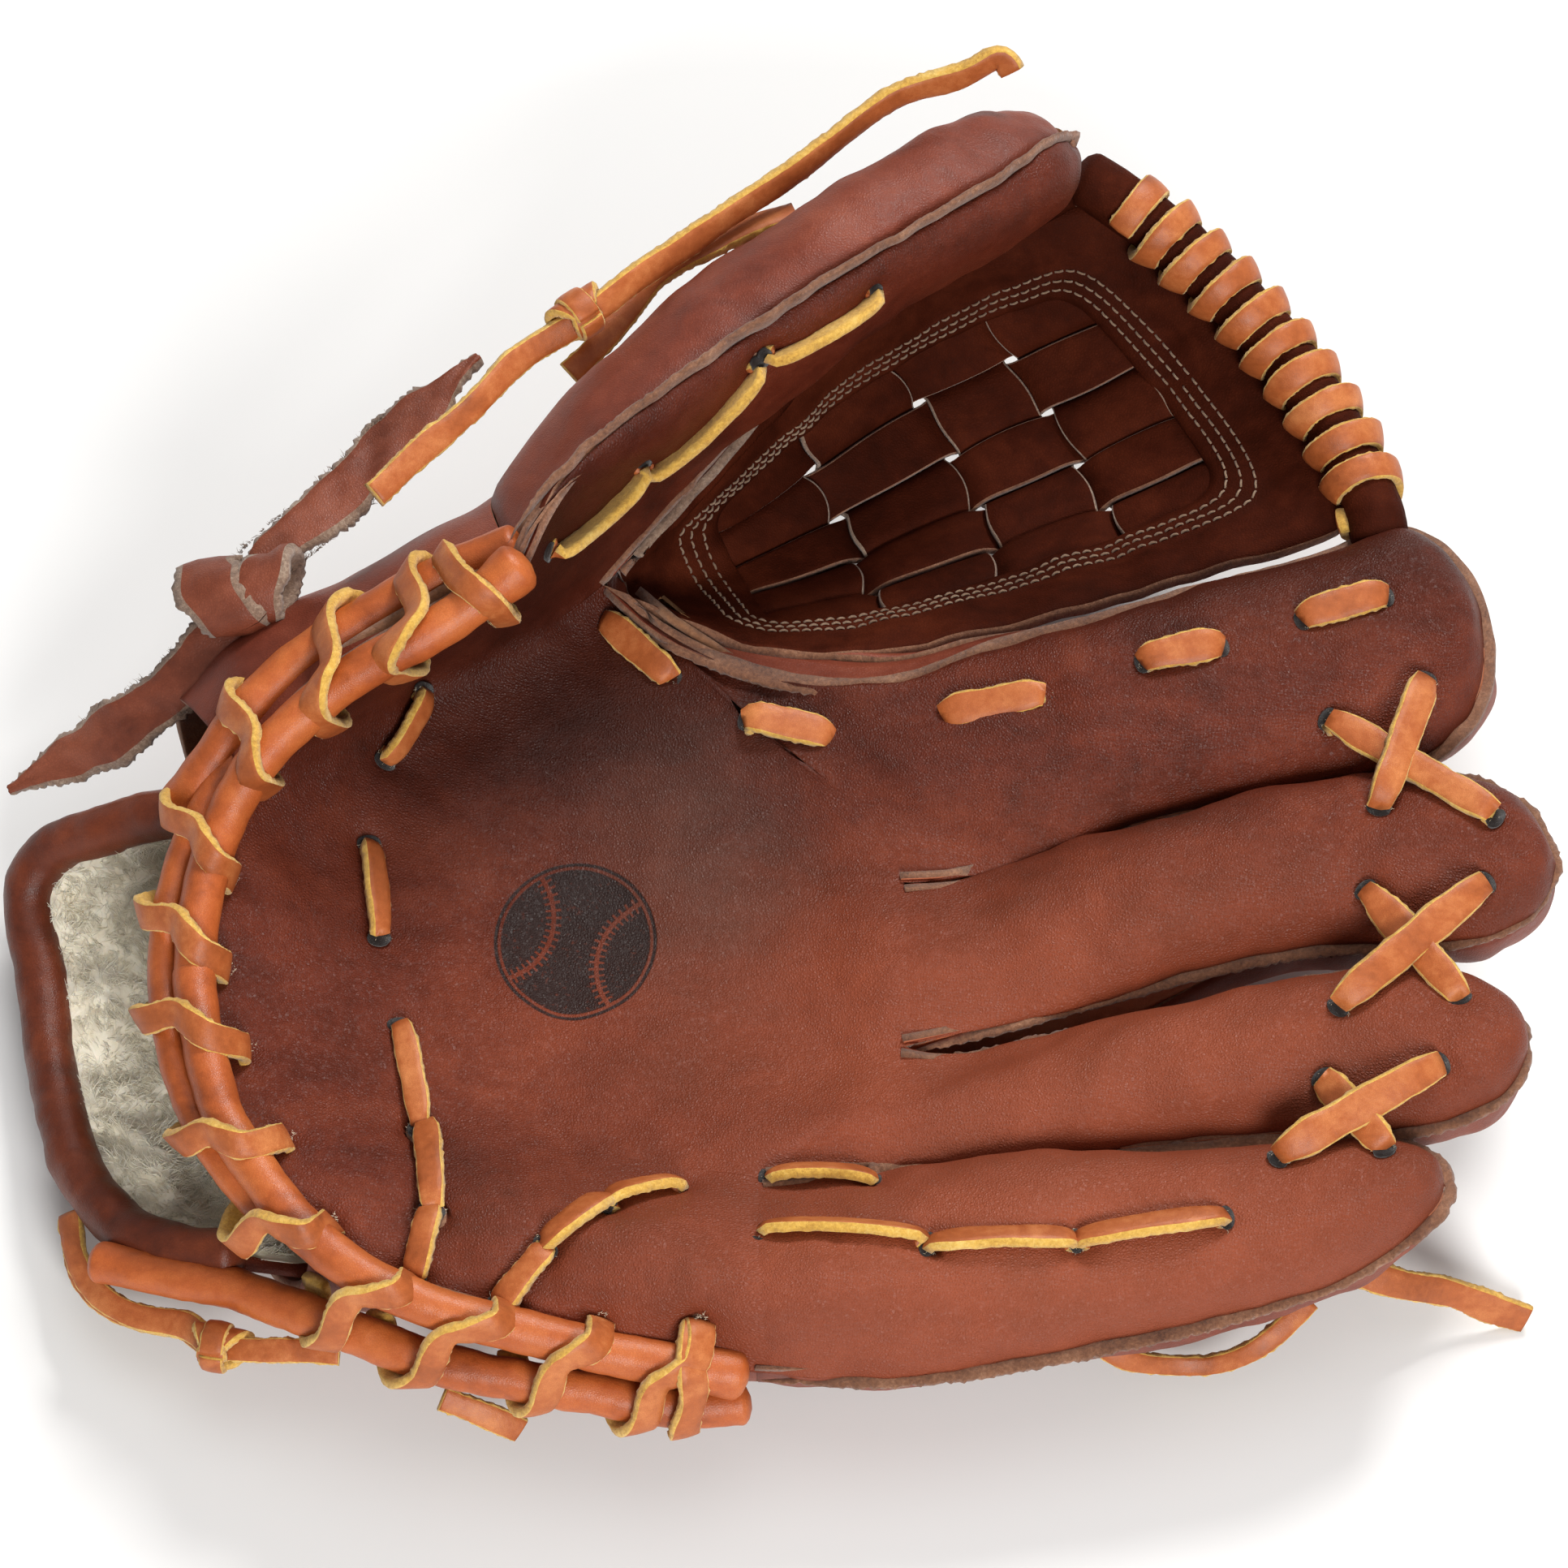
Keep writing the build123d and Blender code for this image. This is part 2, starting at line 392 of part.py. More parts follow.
def spline(points, t):
    """natural cubic spline through points, read at fractions t of its chord length"""
    points = np.asarray(points, float)
    n = len(points)
    d = np.linalg.norm(np.diff(points, axis=0), axis=1) + 1e-9
    knots = np.concatenate([[0], np.cumsum(d)])
    at = np.clip(np.asarray(t, float), 0, 1) * knots[-1]
    matrix = np.zeros((n, n))
    right = np.zeros((n, points.shape[1]))
    matrix[0, 0] = matrix[-1, -1] = 1
    for i in range(1, n - 1):
        matrix[i, i - 1:i + 2] = d[i - 1], 2 * (d[i - 1] + d[i]), d[i]
        right[i] = 6 * ((points[i + 1] - points[i]) / d[i]
                        - (points[i] - points[i - 1]) / d[i - 1])
    bend = np.linalg.solve(matrix, right)
    k = np.clip(np.searchsorted(knots, at, side="right") - 1, 0, n - 2)
    h = d[k][:, None]
    after = (knots[k + 1] - at)[:, None]
    before = (at - knots[k])[:, None]
    return (bend[k] * after ** 3 / (6 * h) + bend[k + 1] * before ** 3 / (6 * h)
            + (points[k] / h - bend[k] * h / 6) * after
            + (points[k + 1] / h - bend[k + 1] * h / 6) * before)


def resample(line, t):
    """points of a polyline at arc-length fractions t"""
    at = distances(line)
    return interpolate(np.asarray(t) * at[-1], at, line)


def arc(points, t):
    """points of the spline through points at arc-length fractions t"""
    return resample(spline(points, np.linspace(0, 1, 600)), t)


def part_of(points, start, end):
    return arc(points, np.linspace(start, end, 14))


def tangents(line):
    return unit(np.gradient(line, axis=0))


# ---- grid helpers: a grid is rows of points, axis 0 lengthwise, axis 1 across ----
def normals(grid, ref):
    """unit normals of a grid, on the side of direction ref"""
    n = unit(np.cross(np.gradient(grid, axis=0), np.gradient(grid, axis=1)))
    return n if (n @ np.asarray(ref, float)).mean() > 0 else -n


def trim(grid, start, end, axis=1):
    """shorten every row (axis 1) or column (axis 0) by start and end mm at its two ends"""
    lines = grid if axis == 1 else grid.transpose(1, 0, 2)
    out = []
    for line in lines:
        at = distances(line)
        out.append(interpolate(start + at / at[-1] * (at[-1] - start - end), at, line))
    out = np.stack(out)
    return out if axis == 1 else out.transpose(1, 0, 2)


def inset(grid, sides, ends):
    """trim the rows by the pair sides, then the columns by the pair ends"""
    return trim(trim(grid, *sides), *ends, axis=0)


def even(grid, axis=0):
    """same grid with its rows (axis 0) or columns (axis 1) spread evenly"""
    lines = grid if axis == 0 else grid.transpose(1, 0, 2)
    steps = np.linalg.norm(np.diff(lines, axis=0), axis=2).mean(1)
    at = np.concatenate([[0], np.cumsum(steps)])
    t = np.linspace(0, at[-1], len(at))
    out = np.stack([interpolate(t, at, lines[:, j]) for j in range(lines.shape[1])], 1)
    return out if axis == 0 else out.transpose(1, 0, 2)


# ---- solids from grids and lines ----
def surface(grid):
    """spline face through a grid: the first fit that stays near the points' box, or the best"""
    points = [[Vector(*map(float, p)) for p in row] for row in grid]
    low, high = grid.reshape(-1, 3).min(0), grid.reshape(-1, 3).max(0)
    best = None
    for tol, degree in ((.03, 3), (.08, 3), (.2, 3), (.05, 5), (.3, 5), (.5, 3)):
        face = Face.make_surface_from_array_of_points(
            points, tol=tol, min_deg=3, max_deg=degree)
        box = face.bounding_box()
        stray = max(max(low - np.array([*box.min])), max(np.array([*box.max]) - high))
        if best is None or stray < best[0]:
            best = (stray, face)
        if stray < .8:
            break
    return best[1]


def shell(outer, inner):
    """closed solid between two matching grids, the other way round if it comes inside out"""
    for one, two in ((outer, inner), (inner, outer)):
        face, other = surface(one), surface(two)
        other_edges = list(other.edges())
        sides = []
        for edge in face.edges():
            def distance(candidate):
                start = edge.position_at(0)
                middle_gap = (candidate.position_at(.5) - edge.position_at(.5)).length
                return middle_gap + min((candidate.position_at(0) - start).length,
                                        (candidate.position_at(1) - start).length)
            match = min(other_edges, key=distance)
            sides.append(Face.make_surface_from_curves(edge, match))
        solid = Solid(Shell([face, other] + sides))
        if solid.volume > 0:
            break
    return solid


def layer(grid, ref, near, far):
    """solid between depths near and far under a grid, away from ref"""
    n = normals(grid, ref)
    return shell(grid - n * near, grid - n * far)


def drop(grid, near, far):
    """solid between depths near and far straight below a grid, deeper where it slopes"""
    slope = 1 / np.maximum(normals(grid, UP)[:, :, 2], .42)
    down = np.array([0, 0, -1.0]) * slope[:, :, None]
    return shell(grid + down * near, grid + down * far)


def band(line, across, normal, offsets, above, below):
    """flat strip: offsets run across the line, above and below are its two faces"""
    grid = line[:, None] + across[:, None] * offsets[None, :, None]
    return shell(grid + normal[:, None] * above, grid - normal[:, None] * below)


def ribbon(points, toward, width, thickness, samples):
    """flat strip along a spline, its width lying towards a direction"""
    line = arc(points, np.linspace(0, 1, samples))
    along = tangents(line)
    toward = np.broadcast_to(np.asarray(toward, float), line.shape)
    across = unit(toward - (toward * along).sum(1)[:, None] * along)
    offsets = np.linspace(-.5, .5, 5) * width
    normal = unit(np.cross(along, across))
    return band(line, across, normal, offsets, thickness / 2, thickness / 2)


def rod(points, radius, samples=12):
    line = arc(points, np.linspace(0, 1, samples))
    path = Spline(*[Vector(*map(float, p)) for p in line])
    edge = path.edges()[0]
    start = Plane(origin=edge.position_at(0), z_dir=edge.tangent_at(0))
    return sweep(start * Circle(radius), path=path).solids()[0]


def lace_turn(centre, along, first_axis, first_r, second_r, advance):
    """one open oval turn of flat lace, advancing along its axis"""
    along = unit(along)
    first_axis = np.asarray(first_axis, float)
    first_axis = unit(first_axis - (first_axis @ along) * along)
    second_axis = np.cross(along, first_axis)
    angle = np.radians(np.linspace(-166, 166, 30))
    cos, sin = np.cos(angle), np.sin(angle)
    line = (centre + np.outer(cos * first_r, first_axis) + np.outer(sin * second_r, second_axis)
            + np.outer(angle / np.pi * advance, along))
    out = unit(np.outer(cos / first_r, first_axis) + np.outer(sin / second_r, second_axis))
    across = unit(np.cross(tangents(line), out))
    return band(line, across, out, np.linspace(-.5, .5, 5) * LACE_W, LACE_T, 0)


PARTS = {}


def add(name, *solids):
    PARTS.setdefault(name, []).extend(solids)


# ---- hand strips and finger stalls ----
def strips(table, first, last, start, end, stations):
    """grid over strips first to last of a hand table (0 thumb ... 4 little finger)"""
    s = np.sin(np.linspace(-1, 1, ACROSS) * np.pi / 2)
    spread = (np.sign(s) * np.abs(s) ** .85 + 1) / 2     # closer together at strip edges
    table = np.asarray(table, float)
    t = np.linspace(start, end, stations)
    lines = np.stack([spline(table[:, c], t) for c in range(11)], 1)
    out = []
    for row in lines:
        x = distances(row)
        x = x / x[-1]
        across = []
        for i in range(first, last):
            low, high = x[2 * i], x[2 * i + 2]
            across += list(low + (high - low) * spread)[0 if i == first else 1:]
        out.append(spline(row, across))
    return np.stack(out)


def edge_points(name, q):
    """points on a stall's two edges at q, level with each other and closing on the tip"""
    lengths = [distances(spline(edge, np.linspace(0, 1, 300)))[-1] for edge in STALL[name]]
    common = .85 * min(lengths)
    return [arc(edge, 1 - (common * q + (length - common) * q ** 3) / length)
            for edge, length in zip(STALL[name], lengths)]


def stall_frame(name, q):
    """a stall's two edges, front normal and lengthwise direction at q"""
    edge_a, edge_b = edge_points(name, q)
    # directions are held steady over the last stretch, where the edges meet
    known = np.linspace(1, .12, 30)
    a, b = edge_points(name, known)
    along = tangents((a + b) / 2)
    normal = unit(np.cross(b - a, along))
    if normal[:, 2].mean() < 0 and name != "thumb":
        normal = -normal
    at = -np.maximum(q, .12)
    return (edge_a, edge_b, unit(interpolate(at, -known, normal)),
            unit(interpolate(at, -known, along)))


def edge_inset(name):
    return (0 if name == "thumb" else FINGER_GAP) + SEAM_IN


def stall(name, side, lift=1.7):
    """outer face of a stall's front or back leather, lift mm clear of the edge plane"""
    q = STALL_Q
    edge_a, edge_b, normal, _ = stall_frame(name, q)
    half = (edge_b - edge_a) / 2
    narrow = np.maximum(1 - edge_inset(name) / np.linalg.norm(half, axis=1), .25)
    cap = np.sqrt(np.clip(1 - (1 - np.clip(q / .2, 0, 1)) ** 2, 0, 1))   # rounds the tip
    height = np.interp(1 - q, *zip(*CROWN[side][name]))
    height = np.maximum(height - lift, .15 * height) * cap
    sign, power = (1.0, .80) if side == "front" else (-1.0, .85)
    angle = np.linspace(-1, 1, ACROSS) * np.pi / 2
    s = np.sin(angle)
    x = np.sign(s) * np.abs(s) ** .85
    z = np.abs(np.cos(angle)) ** power
    return (((edge_a + edge_b) / 2)[:, None]
            + (half * narrow[:, None])[:, None] * x[None, :, None]
            + sign * normal[:, None] * (height[:, None] * z + lift)[..., None])


def on_row(grid, row, offset):
    """bend the start of a stall grid onto a row of the hand moved by offset"""
    weight = 1 - smooth((1 - STALL_Q) / .42)
    return grid + weight[:, None, None] * (row + np.asarray(offset, float) - grid[0])[None]


def hand_to_tip(name, side, table, strip, stations, sides, offset, heel_trim):
    """one grid from the heel along an outer strip of the hand and up its stall"""
    hand = trim(strips(table, strip, strip + 1, 0, 1, stations), *sides)
    finger = on_row(stall(name, side), hand[-1], offset)
    return trim(even(np.concatenate([hand, finger[1:]])), heel_trim, 0, axis=0)


# ---- leathers, each builder returning the stall grids for pads and linings ----
def palm():
    leather = inset(strips(PALM, 1, 4, 0, 1, 15), (1.4, 1.4), (8, 1))
    add("palm_leather", layer(leather, UP, 0, LEATHER_T))
    inside = even(inset(strips(PALM, 1, 4, 0, 1, 13), (7, 7), (12, 9)), axis=1)[:, ::2]
    pad_top = LEATHER_T + 1.0
    add("palm_pad", drop(inside, pad_top, pad_top + PAD_T))
    lining_top = LEATHER_T + PAD_T + 1.6
    add("palm_lining", drop(inside, lining_top, lining_top + LINING_T))


def back_of_hand():
    grid = trim(strips(BACK, 1, 4, .40, .90, 17), CROSS_GAP, 2.0)
    # sink the middle to z = -0.9, then cut at z = 0 to leave the flat rest patch
    oval = np.hypot(grid[:, :, 0] / REST_PATCH[0], grid[:, :, 1] / REST_PATCH[1])
    grid[:, :, 2] -= (grid[:, :, 2] + .9) * smooth((1.9 - oval) / .9)
    panel = layer(grid, DOWN, 0, LEATHER_T).cut(Pos(0, 0, -25) * Box(400, 400, 50))
    add("back_panel", max(panel.solids(), key=lambda s: s.volume))
    lining = LEATHER_T + 1.6
    add("back_lining", layer(trim(grid, 2, 2), DOWN, lining, lining + LINING_T))


def middle_finger_leathers(name, strip, back_lift, back_start):
    """front and back of the index, middle or ring finger"""
    row = trim(strips(PALM, strip, strip + 1, 1, 1, 1), 1.4, 1.4)[-1]
    front = on_row(stall(name, "front"), row, (0, 0, 2.6))
    front = even(trim(front, 1.8, 0, axis=0))
    add(name + "_front", layer(front, UP, 0, LEATHER_T))
    back = even(trim(stall(name, "back", back_lift), back_start, 0, axis=0))
    add(name + "_back", layer(back, DOWN, 0, LEATHER_T))
    return front, back


def thumb():
    front = hand_to_tip("thumb", "front", PALM, 0, stations=13, sides=(12.5, .8),
                        offset=(.8, -1.0, 0), heel_trim=10)
    add("thumb_leather", layer(front, THUMB_FRONT, 0, LEATHER_T))
    pad = inset(strips(PALM, 0, 1, 0, 1, 12), (12, 4), (20, 16))
    add("thumb_heel_pad", layer(pad, THUMB_FRONT, LEATHER_T + 1.4, LEATHER_T + 4.2))
    back = hand_to_tip("thumb", "back", BACK, 0, stations=12, sides=(19, 2),
                       offset=(-.8, 1.0, 0), heel_trim=12)
    add("thumb_back", layer(back, THUMB_BACK, 0, LEATHER_T))
    return trim(front, 76, 0, axis=0), trim(back, 82, 0, axis=0)


def pinky():
    front = hand_to_tip("pinky", "front", PALM, 4, stations=13, sides=(1, 7.5),
                        offset=(0, 0, 1.5), heel_trim=10)
    add("pinky_leather", layer(front, UP, 0, LEATHER_T))
    pad = inset(strips(PALM, 4, 5, 0, 1, 12), (4, 11), (13, 8))
    add("pinky_heel_pad", layer(pad, UP, LEATHER_T + .9, LEATHER_T + 4.0))
    back = hand_to_tip("pinky", "back", BACK, 4, stations=12, sides=(3, 9),
                       offset=(0, 0, -1.5), heel_trim=12)
    add("pinky_back", layer(back, PINKY_BACK, 0, LEATHER_T))
    return trim(front, 96, 0, axis=0), trim(back, 100, 0, axis=0)


def stall_inners(name, front, back):
    """pad under the front leather, and a lining on each side"""
    start, pad_start, pad_end, pad_gap, pad_t, back_gap = INNERS[name]
    front_ref, back_ref = (THUMB_FRONT, THUMB_BACK) if name == "thumb" else (UP, DOWN)
    lining = name + "_lining" if name in ("thumb", "pinky") else "finger_linings"
    grid = even(inset(front, (11, 11), (pad_start, pad_end)), axis=1)
    depth = LEATHER_T + pad_gap
    add(name + "_pad", layer(grid, front_ref, depth, depth + pad_t))
    grid = even(inset(front, (14, 14), (start + 2, 13)), axis=1)
    depth = LEATHER_T + pad_t + 3.4
    add(lining, layer(grid, front_ref, depth, depth + LINING_T))
    grid = even(inset(back, (10, 10), (start, 13)), axis=1)
    depth = LEATHER_T + back_gap
    add(lining, layer(grid, back_ref, depth, depth + LINING_T))


def welt(name):
    """one strip from the crotch round the tip and back"""
    edge_a, edge_b, normal, along = stall_frame(name, np.linspace(.70, .16, 22) ** 1.5)
    inward = unit(edge_b - edge_a) * edge_inset(name)
    tip_a, tip_b, tip_normal, _ = stall_frame(name, np.array([0.0]))
    seam = np.concatenate([edge_a + inward, (tip_a + tip_b) / 2, (edge_b - inward)[::-1]])
    seam_normal = np.concatenate([normal, tip_normal, normal[::-1]])
    at = distances(seam)
    t = np.linspace(0, 1, 56)
    line = resample(spline(seam, np.linspace(0, 1, 300)), t)
    normal = unit(interpolate(t, at / at[-1], seam_normal))
    out = unit(np.cross(tangents(line), normal))
    if out[28] @ along[-1] < 0:
        out = -out
    offsets = np.linspace(-WELT_IN, THUMB_WELT_OUT if name == "thumb" else WELT_OUT, 4)
    add(name + "_welt" if name in ("thumb", "pinky") else "finger_welts",
        band(line, out, normal, offsets, WELT_T / 2, WELT_T / 2))


palm()
back_of_hand()
stalls = {
    "thumb": thumb(),
    "index": middle_finger_leathers("index", 1, back_lift=2.4, back_start=38),
    "middle": middle_finger_leathers("middle", 2, back_lift=1.7, back_start=18),
    "ring": middle_finger_leathers("ring", 3, back_lift=1.7, back_start=18),
    "pinky": pinky(),
}
for name, (front, back) in stalls.items():
    stall_inners(name, front, back)
    welt(name)

# ---- heel bindings ----
# fractions of the heel roll where it crosses the two fold lines
THUMB_FOLD, PINKY_FOLD = .285, .575
# part, centre line, start and end fractions, radius
BINDINGS = [
    ("heel_binding_thumb", HEEL_ROLL, 0, THUMB_FOLD - .014, BINDING_R),
    ("heel_binding", HEEL_ROLL, THUMB_FOLD + .012, PINKY_FOLD - .010, BINDING_R),
    ("heel_binding_pinky", HEEL_ROLL, PINKY_FOLD + .010, 1, BINDING_R),
    ("rear_binding_thumb", REAR_THUMB_ROLL, 0, .93, BINDING_R),
    ("rear_binding", REAR_MIDDLE_ROLL, .22, .80, REAR_ROLL_R),
    ("rear_binding_pinky", REAR_PINKY_ROLL, .13, 1, BINDING_R),
]
for name, roll, start, end, radius in BINDINGS:
    add(name, rod(part_of(roll, start, end), radius))


# ---- heel lace: one turn round the rolls at every hole ----
def heel_lace():
    roll = arc(HEEL_ROLL, np.linspace(0, 1, 400))
    along = tangents(roll)
    for hole in HEEL_HOLES:
        i = int(np.linalg.norm(roll - hole, axis=1).argmin())
        fraction = i / 399
        if min(abs(fraction - THUMB_FOLD), abs(fraction - PINKY_FOLD)) * 330 < 5:
            continue                                   # leave the folds free
        name, rear, clear = "heel_lace", REAR_MIDDLE_ROLL, 1.9
        if fraction < THUMB_FOLD - .02:
            name, rear = "heel_lace_thumb", REAR_THUMB_ROLL
        elif fraction > PINKY_FOLD + .02:
            name, rear, clear = "heel_lace_pinky", REAR_PINKY_ROLL, 1.8
        rear = arc(rear, np.linspace(0, 1, 300))
        nearest = int(np.linalg.norm(rear - roll[i], axis=1).argmin())
        gap = rear[nearest] - roll[i]
        spacing = float(np.linalg.norm(gap))
        sideways = np.cross(along[i], UP)
        if spacing > 13:                               # too far: round the heel roll only
            gap, spacing = sideways * .01, 0
        add(name, lace_turn(roll[i] + gap / 2, along[i], gap if spacing > 1 else sideways,
                            first_r=spacing / 2 + BINDING_R + clear,
                            second_r=BINDING_R + clear - .4 + .06 * spacing, advance=3.4))


heel_lace()


# ---- surface laces ----
def split_run(segment):
    """points, mean normal and width direction of a lace run"""
    segment = np.asarray(segment, float)
    points, normal = segment[:, :3], unit(segment[:, 3:].mean(0))
    return points, normal, np.cross(unit(points[-1] - points[0]), normal)


def arch_over(points, normal, height):
    """smooth hump from the first to the last point, height above the highest point between"""
    t = np.linspace(0, 1, len(points))
    chord = points[0] + (points[-1] - points[0]) * t[:, None]
    hump = max(float(((points - chord) @ normal).max()), 0)
    return chord + np.outer(hump * np.sin(np.pi * t) ** .6 + height, normal)


def surface_lace(segment, lift, width=LACE_W, arched=False):
    points, normal, across = split_run(segment)
    bulge = np.sin(np.pi * np.linspace(0, 1, len(points)))
    if arched:
        line = arch_over(points, normal, lift + .4 * bulge)
    else:
        line = points + np.outer(lift + .5 * bulge, normal)
    line = arc(line, np.linspace(.04, .96, 12))
    return ribbon(line, across, width, LACE_T, 12)


for segment in LACE["palm"]:
    add("palm_lacing", surface_lace(segment, 2.6))
for segment in LACE["pinky_heel"]:
    add("pinky_lacing", surface_lace(segment, 2.6))
for segment in LACE["index"]:
    add("index_web_lacing", surface_lace(segment, 5.0, arched=True))
# the run at the crotch stands higher and 3.5 mm further out in -Y
crotch_run = np.array(LACE["pinky"][0]) - [0, 3.5, 0, 0, 0, 0]
add("pinky_lacing", surface_lace(crotch_run, 5.0))
for segment in LACE["pinky"][1:]:
    add("pinky_lacing", surface_lace(segment, 3.2))
for segment in LACE["thumb"]:
    add("thumb_web_lacing", surface_lace(segment, 2.0, width=THUMB_LACE_W))
for pair in ("index_middle", "middle_ring"):
    for segment, lift in zip(LACE[pair], (4.6, 1.8)):
        add("fingertip_lace_" + pair, surface_lace(segment, lift, arched=True))
# the ring-finger side and the little-finger side part at the fold line
for segment, lift in zip(LACE["ring_pinky"], (4.9, 2.2)):
    points, normal, across = split_run(segment)
    line = arc(arch_over(points, normal, lift), np.linspace(0, 1, 50))
    add("fingertip_lace_ring", ribbon(line[:18], across, LACE_W, LACE_T, 8))
    add("fingertip_lace_pinky", ribbon(line[32:], across, LACE_W, LACE_T, 8))

# ---- web: u runs from the crotch to the top roll, v from the index finger to the thumb ----
# u of the cross strips and v of the long strips
CROSS_U = [.30, .43, .56, .69]
LONG_V = [.30, .44, .58, .72]
# margins left at u = 0, u = 1, v = 0 and v = 1
BORDER_OUTER = (.10, .085, .075, .10)
BORDER_INNER = (.27, .20, .24, .24)


def web_at(u, v):
    lines = [spline(station, v) for station in WEB]
    return np.stack([spline(np.stack([line[j] for line in lines]), [u[j]])[0]
                     for j in range(len(v))])


def web_normal(u, v):
    e = .01
    n = unit(np.cross(web_at(u + e, v) - web_at(u - e, v),
                      web_at(u, v + e) - web_at(u, v - e)))
    return np.where((n @ np.array([-.2, -.5, .8]))[:, None] < 0, -n, n)


def rounded_loop(u_low, u_high, v_low, v_high):
    """nearly closed rounded rectangle in u, v inside the given margins"""
    angle = np.linspace(.004, 2 * np.pi - .004, 72)
    c, s = np.cos(angle), np.sin(angle)
    k = (np.abs(c) ** 6 + np.abs(s) ** 6) ** (-1 / 6)
    return ((u_low + 1 - u_high) / 2 + (1 - u_high - u_low) / 2 * c * k,
            (v_low + 1 - v_high) / 2 + (1 - v_high - v_low) / 2 * s * k)


def web_border():
    outer, inner = rounded_loop(*BORDER_OUTER), rounded_loop(*BORDER_INNER)
    loops = [[a * (1 - w) + b * w for a, b in zip(outer, inner)] for w in np.linspace(0, 1, 6)]
    grid = np.stack([web_at(u, v) for u, v in loops], 1)
    normal = np.stack([web_normal(u, v) for u, v in loops], 1)
    add("web_border", shell(grid + normal * WEB_T, grid))


def slat(lengthwise, fixed, sign, start, end):
    """strip at a fixed v (lengthwise) or u, weaving over and under its crossings"""
    t = np.linspace(start, end, 40)
    still = np.full(40, fixed)
    u, v = (t, still) if lengthwise else (still, t)
    crossings = CROSS_U if lengthwise else LONG_V
    width = SLAT_W if lengthwise else CROSS_SLAT_W
    normal = web_normal(u, v)
    wave = np.cos((t - crossings[0]) / (crossings[1] - crossings[0]) * np.pi) * sign
    wave = np.sign(wave) * np.abs(wave) ** .7
    wave = wave * smooth((t - start) / (crossings[0] - start) * 1.2)
    wave = wave * smooth((end - t) / (end - crossings[-1]) * 1.2)
    line = web_at(u, v) + normal * (-3.6 + 1.55 * wave)[:, None]
    line = resample(line, np.linspace(0, 1, 40))
    across = unit(np.cross(tangents(line), normal))
    return band(line, across, normal, np.linspace(-.5, .5, 4) * width, SLAT_T / 2, SLAT_T / 2)


def web_top():
    add("web_top_roll", rod(part_of(WEB_ROLL, .10, .93), WEB_ROLL_R, 10))
    line = arc(WEB_ROLL, np.linspace(0, 1, 200))
    along = tangents(line)
    radius = WEB_ROLL_R + .5
    for fraction in np.linspace(.20, .87, 9):
        i = int(fraction * 199)
        add("web_top_lace", lace_turn(line[i], along[i], np.cross(along[i], UP),
                                      radius, radius, advance=3.3))


web_border()
for k in range(4):
    sign = 1 if k % 2 == 0 else -1
    add("web_long_strips", slat(True, LONG_V[k], sign, .16, .90))
    add("web_cross_strips", slat(False, CROSS_U[k], -sign, .17, .84))
web_top()


# ---- wrist strap ----
def wrist_strap():
    outer = arc(STRAP_ROLL, np.linspace(.05, .835, 26))
    add("wrist_strap_binding", rod(outer, STRAP_TUBE_R, 16))
    t = np.linspace(0, 1, 26)
    inner = spline(STRAP_INNER, t)
    lines = []
    for w in np.linspace(0, 1, 7):
        line = outer * (1 - w) + inner * w
        line[:, 2] -= 3.0 * np.sin(np.pi * w) * np.sin(np.pi * t) ** .7   # sag
        lines.append(line)
    grid = trim(np.stack(lines, 1), STRAP_TUBE_R + 1.4, 0)[3:-6]
    grid[:, :, 2] = np.maximum(grid[:, :, 2], STRAP_MIN_Z)
    add("wrist_strap", layer(grid, UP, 0, STRAP_T))
    # the fleece lies 1 mm above the strap
    add("wrist_fleece", layer(inset(grid, (1.5, 2.5), (6, 6)), DOWN, 1.0, 1.0 + FLEECE_T))


wrist_strap()

# ---- ties, knots and loose tails ----
for name, points, shift, toward, width, thickness, samples in CORDS:
    add(name, ribbon(np.array(points) + shift, toward, width, thickness, samples))
knot = np.array(THUMB_TAIL[4]) + THUMB_KNOT_SHIFT
add("thumb_back_knot", Pos(*map(float, knot)) * Sphere(THUMB_KNOT_R))
add("wrist_tie_knot", rod(WRIST_KNOT + WRIST_KNOT_SHIFT, WRIST_KNOT_R, 6))

for name, solids in PARTS.items():
    shape = solids[0] if len(solids) == 1 else Compound(children=solids)
    export_step(shape, f"parts/{name}.step")
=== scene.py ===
"""A laced leather ball glove, lying on its back with the palm face up.

The fingers point along +x, the heel is at -x, the thumb lies towards +y and the little finger
towards -y; the floor is z = 0. Lengths are in millimetres and become metres through MM.
"""
import math
import bmesh
import bpy
import numpy as np
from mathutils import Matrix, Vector, kdtree


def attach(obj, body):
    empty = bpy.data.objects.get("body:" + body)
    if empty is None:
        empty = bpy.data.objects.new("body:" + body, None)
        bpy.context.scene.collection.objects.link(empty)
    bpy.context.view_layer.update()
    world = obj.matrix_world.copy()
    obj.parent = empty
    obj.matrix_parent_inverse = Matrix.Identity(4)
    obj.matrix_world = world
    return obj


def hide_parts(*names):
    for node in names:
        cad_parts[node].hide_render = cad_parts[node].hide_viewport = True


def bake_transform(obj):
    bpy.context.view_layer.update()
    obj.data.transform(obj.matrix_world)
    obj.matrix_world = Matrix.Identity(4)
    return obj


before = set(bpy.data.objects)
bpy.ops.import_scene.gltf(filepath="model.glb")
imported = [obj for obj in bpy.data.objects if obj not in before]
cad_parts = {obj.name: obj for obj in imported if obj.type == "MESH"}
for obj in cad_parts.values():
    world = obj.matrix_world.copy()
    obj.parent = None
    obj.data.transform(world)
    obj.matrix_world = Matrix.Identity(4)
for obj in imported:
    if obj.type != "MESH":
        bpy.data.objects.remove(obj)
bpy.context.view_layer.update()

MM = .001
UP, DOWN = (0, 0, 1), (0, 0, -1)


